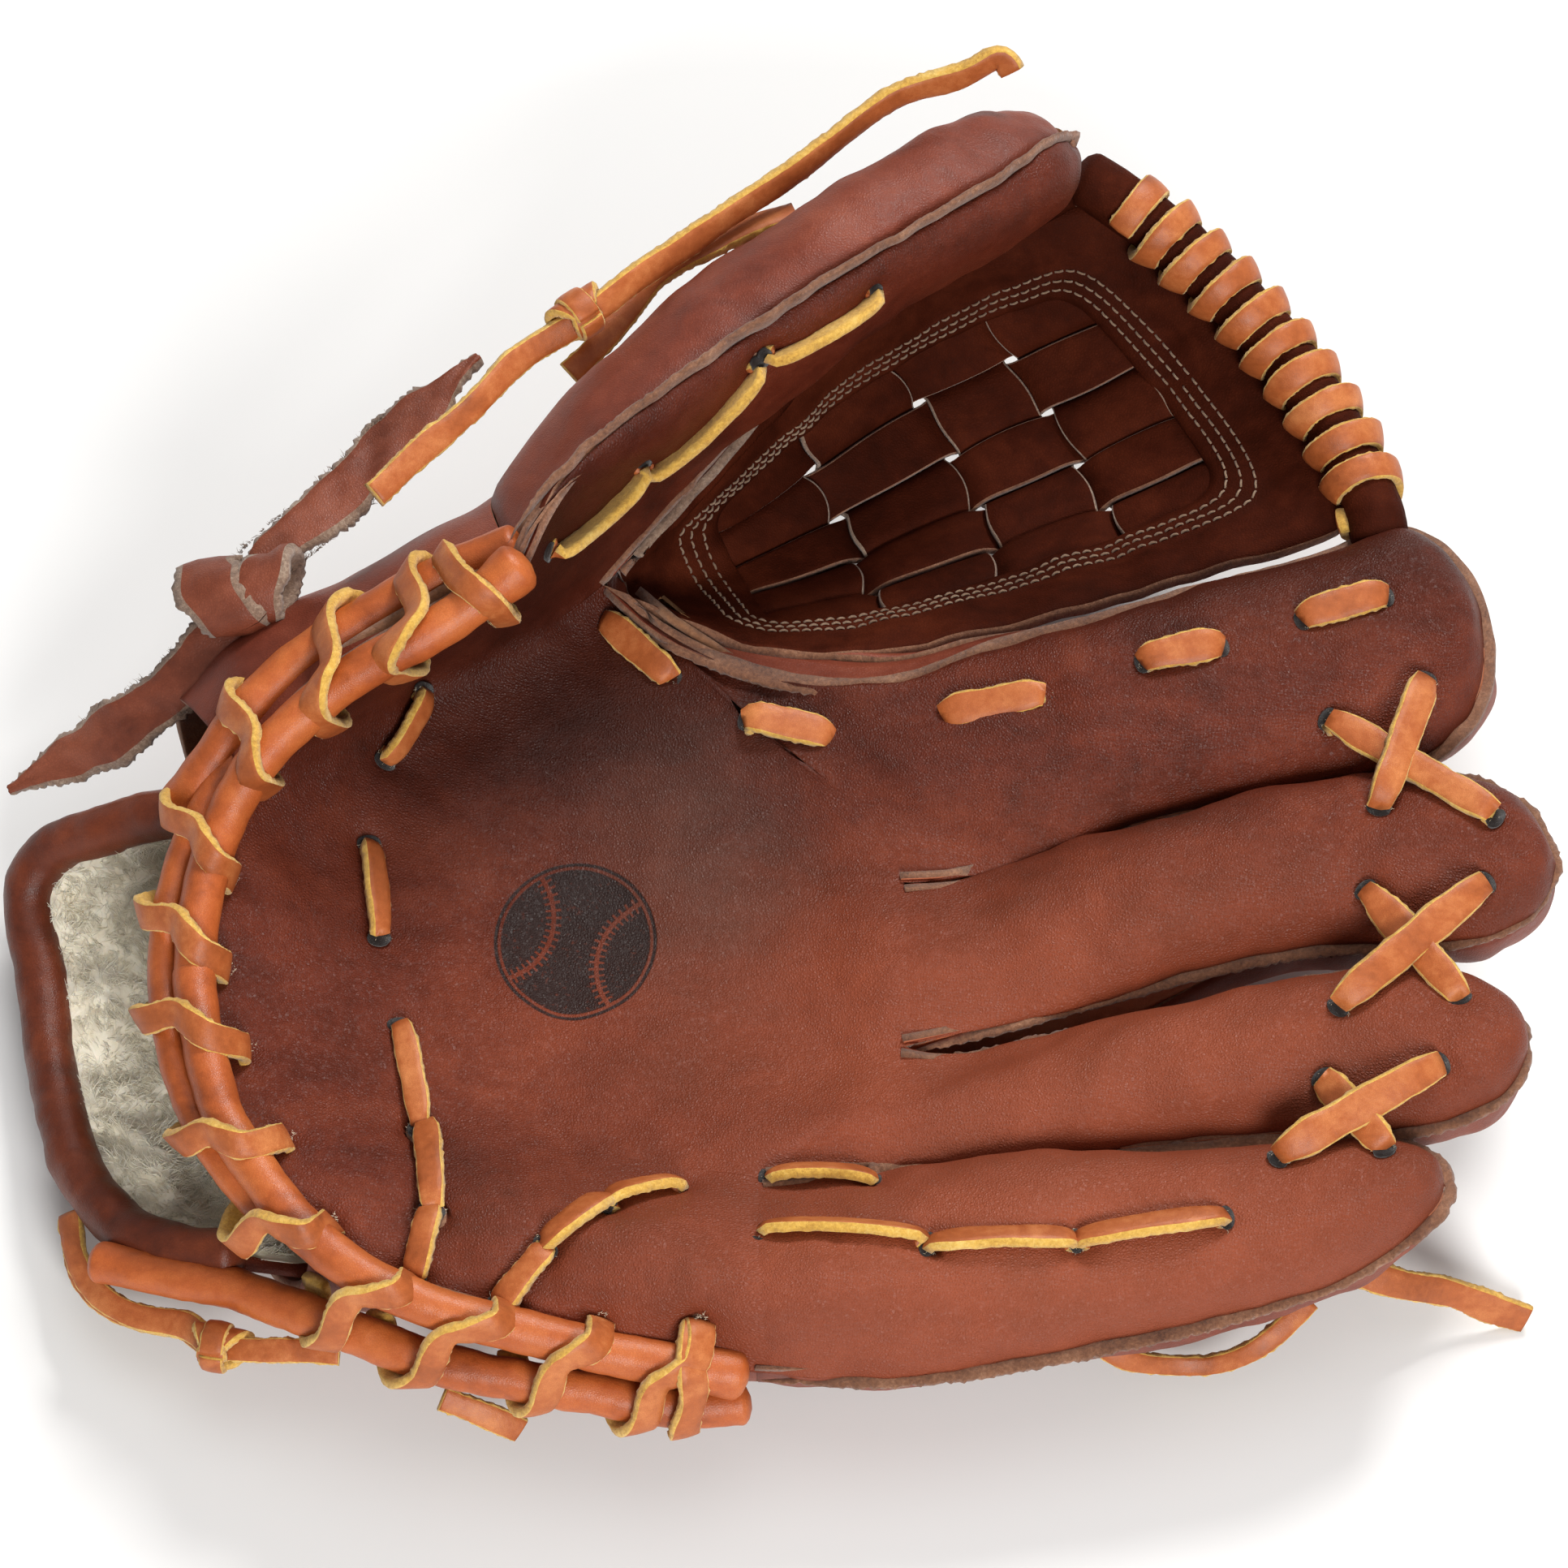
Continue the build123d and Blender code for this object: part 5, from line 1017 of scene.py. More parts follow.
def ease_joint(bm, joint):
    """even out the turn from hand to fingers so that the hide runs on unbroken"""
    tree = kdtree.KDTree(len(joint))
    for k, p in enumerate(joint):
        tree.insert(Vector(p * MM), k)
    tree.balance()
    near = []
    for v in bm.verts:
        if any(e.is_boundary or e.calc_face_angle(0) > 1.0 for e in v.link_edges):
            continue
        w = 1 - (tree.find(v.co)[2] / MM / EASE_REACH) ** 2
        if w > 0:
            near.append((v, w))
    for _ in range(EASE_PASSES):
        new = []
        for v, w in near:
            total = Vector((0, 0, 0))
            for e in v.link_edges:
                total += e.other_vert(v).co
            new.append(v.co.lerp(total / len(v.link_edges), EASE_RATE * w))
        for (v, _w), co in zip(near, new):
            v.co = co


def shell(name, part, hand_grid, stall_names, ref, nodes):
    """hand panel with the stall fronts that continue it, welded into one sheet"""
    points, faces, slots, rest, count = [], [], [], [], 0
    grids = [hand_grid] + [fronts[n] for n in stall_names]
    for k, grid in enumerate(grids):
        rows, cols, _ = grid.shape
        n = normals(grid, ref)
        outer, inner = grid + n * relief(grid)[..., None], grid - n * SHELL_THICK
        if k == 0:
            border = outer[-1].copy(), inner[-1].copy()
        else:
            c = (k - 1) * (cols - 1)
            outer[0], inner[0] = border[0][c:c + cols], border[1][c:c + cols]
        both = np.concatenate([outer.reshape(-1, 3), inner.reshape(-1, 3)])
        sides = slab_faces(both, n, rows, cols, open_row=0 if k else rows - 1)
        points.append(both)
        rest.append(np.concatenate([grid.reshape(-1, 3), inner.reshape(-1, 3)]))
        faces += [side + count for side in sides]
        slots += [0] * len(sides[0]) + [1] * (len(sides[1]) + len(sides[2]))
        count += len(both)
    obj = mesh(name, np.concatenate(points), np.concatenate(faces), [SHELL, RAW_EDGE], slots,
               rest=np.concatenate(rest))
    bm = bmesh.new()
    bm.from_mesh(obj.data)
    bmesh.ops.remove_doubles(bm, verts=bm.verts, dist=2e-5)
    ease_joint(bm, np.concatenate([grid[0][1:-1] for grid in grids[1:]]))
    bmesh.ops.recalc_face_normals(bm, faces=bm.faces)
    bm.to_mesh(obj.data)
    bm.free()
    place(obj, part, nodes)


shell("palm_shell", "palm", palm_mid, ("index", "middle", "ring"), UP,
      ["palm_leather", "index_front", "middle_front", "ring_front"])
shell("thumb_shell", "thumb", palms["thumb"], ("thumb",), THUMB_FRONT, ["thumb_leather"])
shell("pinky_shell", "pinky", palms["pinky"], ("pinky",), UP, ["pinky_leather"])

# ------------------------------------------------------------------ backs and side walls
BACK_THICK = 2.4


def gusset(name, side, column):
    """side wall between the front and back edges of a stall"""
    front = fronts[name]
    a, b = front[:, column], backs[name][:, column]
    k = np.linspace(0, 1, 7)[None, :, None]
    inward = unit(front[:, COLS // 2] - a)
    bow = np.sin(np.pi * k) * np.linalg.norm(a - b, axis=1)[:, None, None] * .06 + .9
    grid = (a[:, None] * (1 - k) + b[:, None] * k + inward[:, None] * bow)[:-6]
    by_web = name == "thumb" or (name == "index" and side == "near")
    panel("%s_gusset_%s" % (name, side), part_of(name), grid, -inward.mean(0), 1.6,
          [SHELL_BACK if by_web else TAN_GUSSET, RAW_EDGE])


for name in STALLS:
    B = backs[name]
    panel(name + "_back_shell", part_of(name), B, facings(name)[1], BACK_THICK,
          [SHELL_BACK, RAW_EDGE, FLESH], [name + "_back"],
          bumps=.45 * BROAD(B) + .3 * MEDIUM(B) + .08 * FINE(B))
    gusset(name, "near", 0)
    gusset(name, "far", -1)


def hand_backs():
    mats = [SHELL_BACK, FLESH]
    mid = hand(BACK, 1, 4, .36, 1, HAND_ROWS, COLS)
    # flatten an oval patch round the origin onto the floor
    oval = np.hypot(mid[:, :, 0] / 33.0, mid[:, :, 1] / 25.0)
    mid[:, :, 2] -= mid[:, :, 2] * smooth((1.9 - oval) / .9)
    panel("back_shell", "palm", mid, DOWN, BACK_THICK, mats, ["back_panel"],
          bumps=-np.abs(.3 * BROAD(mid)) * smooth((oval - 1) / .8))
    thumb = hand(BACK, 0, 1, 0, 1, HAND_ROWS, COLS)
    panel("thumb_side_back", "thumb", thumb, THUMB_BACK, BACK_THICK, mats,
          bumps=.4 * BROAD(thumb) + .2 * MEDIUM(thumb))
    heel = hand(BACK, 1, 2, 0, .37, 40, COLS)
    panel("thumb_heel_back", "palm", heel, (0, .3, -1), BACK_THICK, mats, bumps=.3 * BROAD(heel))
    pinky = hand(BACK, 4, 5, 0, 1, HAND_ROWS, COLS)
    panel("pinky_side_back", "pinky", pinky, (0, -.5, -1), BACK_THICK, mats,
          bumps=.4 * BROAD(pinky) + .2 * MEDIUM(pinky))


hand_backs()

# inner layers of the hand: name, surface, share range, trim, rise in z, facing, thickness,
# material, replaced piece, slot
for (name, surface, start, end, cut, rise, ref, thickness, mat, node, slot) in (
        ("palm_felt", PALM, .04, .95, 4, -3.2, UP, 4.0, FLESH, "palm_pad", "felt"),
        ("palm_liner", PALM, .03, .96, 3, -8.6, UP, 1.0, LINER, "palm_lining", "lining"),
        ("back_liner", BACK, .38, .98, 2, 4.2, DOWN, 1.0, LINER, "back_lining", "lining")):
    grid = trim(hand(surface, 1, 4, start, end, 50, 17), cut, cut) + np.array([0, 0, rise])
    panel(name, "palm", grid, ref, thickness, [mat], [node])

# ------------------------------------------------------------------ welts
WELT_THICK, WELT_STEP = 1.7, .9
# cross-section: reach out of the seam (mm inwards, share of the width outwards), height share
WELT_SECTION = [(-2.2, .5), (.2, .5), (.8, .42), (1, 0), (.8, -.42), (.2, -.5), (-2.2, -.5)]


def welt(name, width, nodes):
    """raw-edged strip that stands out of the seam round a stall"""
    q = np.linspace(1, .10, 90) ** 1.5
    _, _, normal, run = stall_frame(name, q)
    tip_a, tip_b, tip_normal, _ = stall_frame(name, np.array([.0]))
    near, far = [interp_rows(-q, -TO_TIP, fronts[name][:, c]) - normal * EDGE_LIFT
                 for c in (0, -1)]
    path = np.concatenate([near, (tip_a + tip_b) / 2 - run[-1:] * .3, far[::-1]])
    length = lengths(path)
    t = np.linspace(.002, .998, int(length[-1] / WELT_STEP))
    line = arc(path, t, fine=700)
    normal = np.concatenate([normal, tip_normal, normal[::-1]])
    normal = unit(interp_rows(t, length / length[-1], normal))
    out = unit(np.cross(tangents(line), normal))
    if out[len(t) // 2] @ run[-1] < 0:
        out = -out
    wave = Waves(31 + STALLS.index(name), 9)(line)[:, None]
    jag = Waves(71, 1.5, n=40)
    # the strip shrinks and sinks towards both ends
    full = (.06 + .94 * smooth(np.minimum(t, 1 - t) / .085))[:, None]
    grid = []
    for reach, height in WELT_SECTION:
        x, z = reach * full, height * full
        if reach > 0:
            x = x * width + .22 * jag(line + z)[:, None] + .18 * wave
        grid.append(line + out * x + normal * (z * WELT_THICK + .25 * wave - 3.4 * (1 - full)))
    grid = np.stack(grid, 1)
    rows, cols, _ = grid.shape
    faces = list(quads_of(rows, cols, round_cols=True)) + end_caps(rows, cols, turn=-1)
    place(mesh(name + "_welt_strip", grid, faces, [RAW_EDGE]), part_of(name), nodes)


for name, width, nodes in (("thumb", 3.3, ["thumb_welt"]), ("index", 2.2, ["finger_welts"]),
                           ("middle", 1.8, []), ("ring", 1.8, []),
                           ("pinky", 2.4, ["pinky_welt"])):
    welt(name, width, nodes)

# ------------------------------------------------------------------ heel rolls
HEEL_N = 420
HEEL_SPLIT = 178            # station where the thumb half ends
HEEL_R = 4.7
heel_roll = arc(ROLL["heel"], np.linspace(0, 1, HEEL_N))
heel_run = tangents(heel_roll)
stations = np.arange(HEEL_N)
heel_radii = HEEL_R * (1 + .22 * np.exp(-(stations / 9.0) ** 2)
                       + .16 * np.exp(-((HEEL_N - 1 - stations) / 9.0) ** 2))
rear_thumb = arc(ROLL["rear_thumb"], np.linspace(0, 1, 160))
rear_palm = arc(ROLL["rear_palm"], np.linspace(0, 1, 140)) + np.array([-.8, 0, -.6])
rear_pinky = arc(ROLL["rear_pinky"], np.linspace(0, 1, 220))

# name, part, line, radius, wobble, seed, replaced pieces
for name, part, line, radius, wobble, seed, nodes in (
        ("heel_roll_thumb_half", "thumb", heel_roll[:HEEL_SPLIT + 1],
         heel_radii[:HEEL_SPLIT + 1], .10, 41, ["heel_binding_thumb"]),
        ("heel_roll_palm_half", "pinky", heel_roll[HEEL_SPLIT:], heel_radii[HEEL_SPLIT:],
         .10, 42, ["heel_binding", "heel_binding_pinky"]),
        ("rear_roll_thumb", "thumb", rear_thumb, 4.9, .12, 43, ["rear_binding_thumb"]),
        ("rear_roll_palm", "palm", rear_palm, 3.7, .1, 44, ["rear_binding"]),
        ("rear_roll_pinky", "pinky", rear_pinky, 4.6, .14, 45, ["rear_binding_pinky"])):
    tube(name, part, line, radius, TAN_ROLL, nodes, wobble, seed)


# ------------------------------------------------------------------ camera
def add_camera():
    """camera in front of the little-finger side, looking down at the glove"""
    pitch, distance, aim_height = math.radians(58), 1.4, .05
    data = bpy.data.cameras.new("camera")
    obj = bpy.data.objects.new("camera", data)
    bpy.context.scene.collection.objects.link(obj)
    obj.location = (0, round(-distance * math.cos(pitch), 6),
                    round(aim_height + distance * math.sin(pitch), 6))
    obj.rotation_euler = (math.pi / 2 - pitch, 0, 0)
    data.sensor_width = 36
    data.lens = 146.09
    data.clip_end = 20
    bpy.context.scene.camera = obj
    return obj


camera = add_camera()

# ------------------------------------------------------------------ heel lace
TURN_R = 4.75 + 1.15        # lace centre from a roll centre
# stations that each turn slides along the rolls on its way over
SLIDE = [4, -31, -26, -19, -19, -23, -22, -22, -29, -24, -31, -19, -20, 5]
hole_stations = [nearest(heel_roll, hole) for hole in HEEL_HOLES]


def rear_offsets():
    """smoothed offset from each station of the heel roll to the rear roll"""
    rear = np.concatenate([rear_thumb[:-8], rear_palm[40:112], rear_pinky[60:]])
    out = []
    for centre, run in zip(heel_roll, heel_run):
        gap = rear[nearest(rear, centre)] - centre
        gap = gap - (gap @ run) * run
        out.append(gap if 1 < np.linalg.norm(gap) < 24 else [np.nan] * 3)
    out = np.array(out)
    known = np.flatnonzero(~np.isnan(out[:, 0]))
    out = interp_rows(stations, known, out[known])
    kernel = np.exp(-.5 * (np.arange(-24, 25) / 9.0) ** 2)
    kernel /= kernel.sum()
    return np.stack([np.convolve(np.pad(out[:, k], 24, mode="edge"), kernel, "valid")
                     for k in range(3)], 1)


rear_gap = rear_offsets()


def roll_frame(x):
    """centres of the heel and rear rolls at station x, then axes to the rear, up and along"""
    x = float(np.clip(x, 0, HEEL_N - 1))
    centre, gap, run = [interp_rows(x, stations, rows)
                        for rows in (heel_roll, rear_gap, heel_run)]
    run = unit(run)
    gap = gap - (gap @ run) * run
    rearward = unit(gap)
    rise = unit(np.cross(run, rearward))
    return centre, centre + gap, rearward, rise if rise[2] >= 0 else -rise, run


heel_face = hand(PALM, 0, 5, 0, .5, 60, 17)
heel_points = heel_face.reshape(-1, 3)
heel_normals = normals(heel_face, UP).reshape(-1, 3)


def heel_turn(hole, station, slide):
    """one turn of lace: out of its hole, over the heel roll and round the rear roll"""
    centre, _, rearward, rise, _ = roll_frame(station)
    off = hole - centre
    away = unit(off)
    angle = math.degrees(math.atan2(float(off @ rise), float(off @ rearward)))
    angle = angle if angle > 95 else 150
    normal = heel_normals[nearest(heel_points, hole)]
    path = [hole - normal * 3.4 - away * .8, hole - normal * .9]
    face = [normal * .6 + away * .8, normal * .8 + away * .5]
    # which roll, angles round it in degrees, shares of the slide
    for roll, angles, shares in (
            (0, np.linspace(min(angle - 22, 142), 88, 5), np.linspace(.05, .42, 5)),
            (1, np.linspace(80, -112, 10), np.linspace(.58, 1.22, 10))):
        for a, share in zip(np.radians(angles), shares):
            frame = roll_frame(station + slide * share)
            out = (frame[2] * math.cos(a) + frame[3] * math.sin(a)) * TURN_R
            path.append(frame[roll] + out)
            face.append(out)
    n = 64
    line = arc(path, np.linspace(0, 1, n))
    length = lengths(path)
    face = unit(interp_rows(np.linspace(0, length[-1], n), length, unit(face)))
    return line, face, 6.2, .42


def on_thumb_half(station):
    return station < HEEL_SPLIT - 4


turns = {True: [], False: []}
for hole, station, slide in zip(HEEL_HOLES, hole_stations, SLIDE):
    turns[on_thumb_half(station)].append(heel_turn(hole, station, slide))
laces("heel_lace_thumb_half", "thumb", turns[True], seed=51, nodes=["heel_lace_thumb"], thick=2.1)
laces("heel_lace_palm_half", "pinky", turns[False], seed=52,
      nodes=["heel_lace", "heel_lace_pinky"], thick=2.1)

# ------------------------------------------------------------------ surface laces
RUN_N = 26          # stations along one visible run
RUN_SINK = 2.6      # how far the ends dive through the leather


def run_line(run, lift, flat, arch):
    """centre line and mean normal of a run; a flat one bridges straight from hole to hole"""
    p = run[:, :3]
    n = unit(unit(run[:, 3:]).mean(0))
    a, b = p[0], p[-1]
    t = np.linspace(0, 1, len(p))
    if flat:
        chord = a + (b - a) * t[:, None]
        over = max(float(((p - chord) @ n).max()), 0)
        body = chord + np.outer(over * np.abs(np.sin(np.pi * t)) ** .7 + lift, n)
    else:
        body = p + np.outer(lift + arch * np.sin(np.pi * t), n)
    d = unit(b - a)
    ends = np.array([n * -RUN_SINK + d * 1.6, n * -.2 + d * .1])
    back = np.array([n * -.2 - d * .1, n * -RUN_SINK - d * 1.6])
    return arc(np.concatenate([a + ends, body[1:-1], b + back]), np.linspace(0, 1, RUN_N)), n


def run_set(name, part, runs, nodes=(), width=5.4, roll=.42, flat=False, lift=1.2, arch=.7):
    """visible runs of one lace, pinched where they enter the holes"""
    u = np.linspace(0, 1, RUN_N)
    pinch = width * (.60 + .40 * smooth(np.minimum(u, 1 - u) / .26))
    laces(name, part, [(*run_line(run, lift, flat, arch), pinch, roll) for run in runs],
          seed=60 + len(name), nodes=nodes, thick=2.1)


def hole_ends(runs):
    """place, leather normal and lace direction at both holes of each run"""
    out = []
    for run in runs:
        for end, beside in ((0, 1), (-1, -2)):
            n = unit(run[end, 3:])
            out.append((run[end, :3], n, square_to(unit(run[beside, :3] - run[end, :3]), n)))
    return out


def hole_shadows(name, part, runs):
    """dark slot of painted shadow at each place where a lace dives through the leather"""
    m = 20
    angle = np.linspace(0, 2 * np.pi, m, endpoint=False)
    faces = [tuple(range(m)), tuple(range(2 * m - 1, m - 1, -1))]
    faces += [((i + 1) % m, i, m + i, m + (i + 1) % m) for i in range(m)]
    shapes = Shapes()
    for p, n, d in hole_ends(runs):
        centre = p - n * .72 - d * .55
        # sink, half length along the lace, half width across it
        rings = [centre - n * sink + np.outer(np.cos(angle) * long, d)
                 + np.outer(np.sin(angle) * wide, np.cross(n, d))
                 for sink, long, wide in ((0, 1.75, 2.75), (1.5, 1.5, 2.3))]
        shapes.add(np.concatenate(rings), faces)
    place(shapes.build(name, [HOLE]), part)


run_set("palm_laces", "palm", LACE["palm"][:3], ["palm_lacing"])
run_set("palm_laces_pinky", "pinky", LACE["palm"][3:], width=5.8, roll=-.35)
run_set("index_laces", "palm", LACE["index"], ["index_web_lacing"], flat=True, width=7.0)
run_set("pinky_laces", "pinky", LACE["pinky"], ["pinky_lacing"], width=5.6, arch=1.3, roll=-.5)
run_set("thumb_laces", "thumb", LACE["thumb"], ["thumb_web_lacing"], roll=1.0)
for key, part, nodes in (
        ("tip_im", "palm", ["fingertip_lace_index_middle"]),
        ("tip_mr", "palm", ["fingertip_lace_middle_ring"]),
        ("tip_rp", "pinky", ["fingertip_lace_ring", "fingertip_lace_pinky"])):
    run_set(key + "_over", part, LACE[key][:1], nodes, flat=True, width=7.4, lift=3.2, roll=.22)
    run_set(key + "_under", part, LACE[key][1:], flat=True, width=7.2, lift=1.1, roll=.22)
for key, part in (("index", "palm"), ("pinky", "pinky"), ("thumb", "thumb"),
                  ("tip_im", "palm"), ("tip_mr", "palm"), ("tip_rp", "pinky")):
    hole_shadows("holes_" + key, part, LACE[key])
hole_shadows("holes_palm", "palm", LACE["palm"][:3])
hole_shadows("holes_heel", "pinky", LACE["palm"][3:])


# ------------------------------------------------------------------ web
def web_at(u, v):
    """point of the web face: u from the crotch to the top, v from the index to the thumb"""
    u, v = np.broadcast_arrays(np.asarray(u, float), np.asarray(v, float))
    shape = u.shape
    u, v = np.clip(u.ravel(), 0, 1), v.ravel()
    rows = np.stack([spline(station, v) for station in WEB])
    gap = 1 / (len(WEB) - 1)
    bend = bends(rows, [gap] * (len(WEB) - 1))
    k = np.clip((u / gap).astype(int), 0, len(WEB) - 2)
    n = np.arange(len(u))
    out = cubic(rows[k, n], rows[k + 1, n], bend[k, n], bend[k + 1, n], gap,
                ((k + 1) * gap - u)[:, None], (u - k * gap)[:, None])
    return out.reshape(*shape, 3)


def web_normal(u, v):
    e = .01
    u, v = np.broadcast_arrays(np.asarray(u, float), np.asarray(v, float))
    u, v = np.clip(u, e, 1 - e), np.clip(v, e, 1 - e)
    n = unit(np.cross(web_at(u + e, v) - web_at(u - e, v), web_at(u, v + e) - web_at(u, v - e)))
    return n * np.sign(n @ np.array([-.2, -.5, .8]))[..., None]


def web_loop(u0, u1, v0, v1, power):
    """closed rounded rectangle in u and v; a higher power makes squarer corners"""
    angle = np.linspace(0, 2 * np.pi, 240)
    c, s = np.cos(angle), np.sin(angle)
    k = (np.abs(c) ** power + np.abs(s) ** power) ** (-1 / power)
    return np.array([(u0 + u1) / 2 + (u1 - u0) / 2 * c * k,
                     (v0 + v1) / 2 + (v1 - v0) / 2 * s * k])


WEB_OUTER = web_loop(.0, .992, .0, 1.0, power=16)
WEB_INNER = web_loop(.235, .84, .20, .82, power=8)


def web_border(across, height):
    """points and normals of the border at a share of the way in, height above the web face"""
    u, v = WEB_OUTER * (1 - across) + WEB_INNER * across
    n = web_normal(u, v)
    return web_at(u, v) + n * (height + .8), n


def web_relief(points):
    return (.35 * MEDIUM(points) + .12 * FINE(points))[..., None]


def web_border_panel():
    """closed ring of leather round the woven strips"""
    # share of the way in, height
    profile = [(0, 0), (.12, .4), (.3, .9), (.5, 1.2), (.62, .7), (.66, .95), (.8, 1.3),
               (.92, 1.3), (.985, .9), (1.0, .1)]
    loops = [web_border(across, height) for across, height in profile]
    grid = np.stack([points for points, _ in loops], 1)
    n = np.stack([normal for _, normal in loops], 1)
    grid = (grid + n * web_relief(grid))[:-1]
    ring = np.concatenate([grid, (grid - n[:-1] * 2.6)[:, ::-1]], 1)
    rows, cols, _ = ring.shape
    half = cols // 2
    slots = np.tile([0] * (half - 1) + [1] + [2] * (half - 1) + [1], rows)
    faces = quads_of(rows, cols, round_cols=True, round_rows=True)
    obj = mesh("web_border_panel", ring, faces, [WEB_HIDE, RAW_EDGE, SHELL_BACK], slots)
    face_outward(obj)
    place(obj, "web", ["web_border"])


def web_thumb_side():
    """side of the web that climbs to the thumb edge"""
    n = 70
    u = np.linspace(.0, .97, n)
    a = web_at(u, 1.0) + web_normal(u, 1.0) * .8
    b = resample(fronts["thumb"][:, -1], np.linspace(.0, .95, n))
    k = np.linspace(0, 1, 11)
    out = unit(np.cross(tangents(a), unit(b - a)))
    out = out if out[:, 1].mean() > 0 else -out
    sag = np.minimum(np.linalg.norm(b - a, axis=1) * .16, 4)[:, None] * np.sin(np.pi * k)
    grid = a[:, None] * (1 - k)[None, :, None] + b[:, None] * k[None, :, None]
    grid = grid + out[:, None] * sag[..., None]
    grid = grid + out[:, None] * (.3 * MEDIUM(grid))[..., None]
    panel("web_thumb_side", "web", grid, (0, 1, .2), 2.2, [SHELL_BACK, GREY_EDGE, WEB_HIDE])


web_border_panel()
web_thumb_side()

# woven strips: window in u and v, four crossing strips along v and five long ones along u
WEAVE_U, WEAVE_V = (.225, .85), (.19, .83)
CROSS_COUNT, LONG_COUNT = 4, 5


def pitch_of(span, count):
    return (span[1] - span[0]) / count


cross_at = WEAVE_U[0] + (np.arange(CROSS_COUNT) + .5) * pitch_of(WEAVE_U, CROSS_COUNT)
long_at = WEAVE_V[0] + (np.arange(LONG_COUNT) + .5) * pitch_of(WEAVE_V, LONG_COUNT)
# positions across a strip as shares of its half width, and the crown height there
STRIP_X = [-1, -.97, -.8, -.4, 0, .4, .8, .97, 1.0]
STRIP_CROWN = np.array([0, .35, .6, .85, 1, .85, .6, .35, 0]) * .9


def weave(name, long, half, edge, node):
    """one set of strips, passing over and under the other set"""
    n = 110
    t = np.linspace(.17, .90, n) if long else np.linspace(.13, .88, n)
    places, crossed = (long_at, cross_at) if long else (cross_at, long_at)
    rim = (0, 7, 8, 17)
    ends = smooth((t - t[0]) / .05) * smooth((t[-1] - t) / .05)
    shapes = Shapes()
    for k, at in enumerate(places):
        phase = np.cos((t - crossed[0]) / (crossed[1] - crossed[0]) * np.pi)
        phase = phase * (-1) ** k * (1 if long else -1)
        wave = np.tanh(phase * 2.6)
        bulge = .45 + .55 * np.abs(phase) ** .5
        top, under = [], []
        for x, crown in zip(STRIP_X, STRIP_CROWN):
            other = at + x * half * (.94 + .10 * np.abs(phase))
            uv = (t, other) if long else (other, t)
            normal = web_normal(*uv)
            lift = wave * 1.9 * ends - 1.2 + crown * bulge * (wave > -.2)
            top.append(web_at(*uv) + normal * lift[:, None])
            under.append(top[-1] - normal * (1.5 + crown * .3))
        grid = np.stack(top + under[::-1], 1)
        m = grid.shape[1]
        faces = list(quads_of(n, m, round_cols=True)) + end_caps(n, m)
        grain = [c for c in range(m) if c not in rim]
        shapes.add(grid, faces, column_slots(n, m, grain) + [1, 1])
    obj = shapes.build(name, [WEB_HIDE, edge])
    face_outward(obj)
    place(obj, "web", [node])


weave("web_strips_long", True, pitch_of(WEAVE_V, LONG_COUNT) / 2 * .95, RAW_EDGE,
      "web_long_strips")
weave("web_strips_cross", False, pitch_of(WEAVE_U, CROSS_COUNT) / 2 * .92, GREY_EDGE,
      "web_cross_strips")


def web_thread():
    """three rows of stitches round the web border"""
    radius, pitch, gap, m = .27, 2.6, .6, 6
    angle = np.linspace(0, 2 * np.pi, m, endpoint=False)[None, :, None]
    faces = list(quads_of(m, m, round_cols=True)) + end_caps(m, m, turn=-1)
    hump = (np.sin(np.linspace(0, np.pi, m)) * .42 - .12)[:, None]
    shapes = Shapes()
    for across, height in ((.66, .95), (.76, 1.22), (.86, 1.3)):
        line, face = web_border(across, height)
        line = line + face * web_relief(line)
        length = lengths(line)
        for k in range(int(length[-1] / pitch)):
            t = np.linspace(k * pitch, k * pitch + pitch - gap, m)
            n = unit(interp_rows(t, length, face))
            p = interp_rows(t, length, line) + n * hump
            side = np.cross(unit(p[-1] - p[0]), n)
            ring = np.cos(angle) * side[:, None] + np.sin(angle) * n[:, None]
            shapes.add(p[:, None] + radius * ring, faces)
    place(shapes.build("web_thread", [THREAD]), "web")


def web_top():
    """roll along the top of the web and the lace that spirals round it"""
    top = arc(ROLL["web_top"], np.linspace(0, 1, 160))
    tube("web_roll", "web", top[3:-4], 6.6, WEB_HIDE, ["web_top_roll"],
         wobble=.15, seed=81)
    turn_count, n, start, end = 10.0, 620, .13, .93
    t = np.linspace(start, end, n)
    angle = np.linspace(0, turn_count * 2 * np.pi, n)
    run = unit(interp_rows(t, np.linspace(0, 1, 160), tangents(top)))
    side, rise = ring_axes(run, [0, .3, 1.0])
    out = np.cos(angle)[:, None] * side + np.sin(angle)[:, None] * rise
    advance = lengths(top)[-1] * (end - start) / turn_count
    # each turn leans: most of the advance happens in its second half
    turn = (angle / (2 * np.pi)) % 1
    lean = (smooth(np.clip((turn - .45) / .5, 0, 1)) - turn) * advance * .75
    line = resample(top, t) + out * 7.55 + run * lean[:, None]
    laces("web_roll_lace", "web", [(line, out, 6.0, .38)], seed=83, nodes=["web_top_lace"],
          thick=2.2)


web_thread()
web_top()


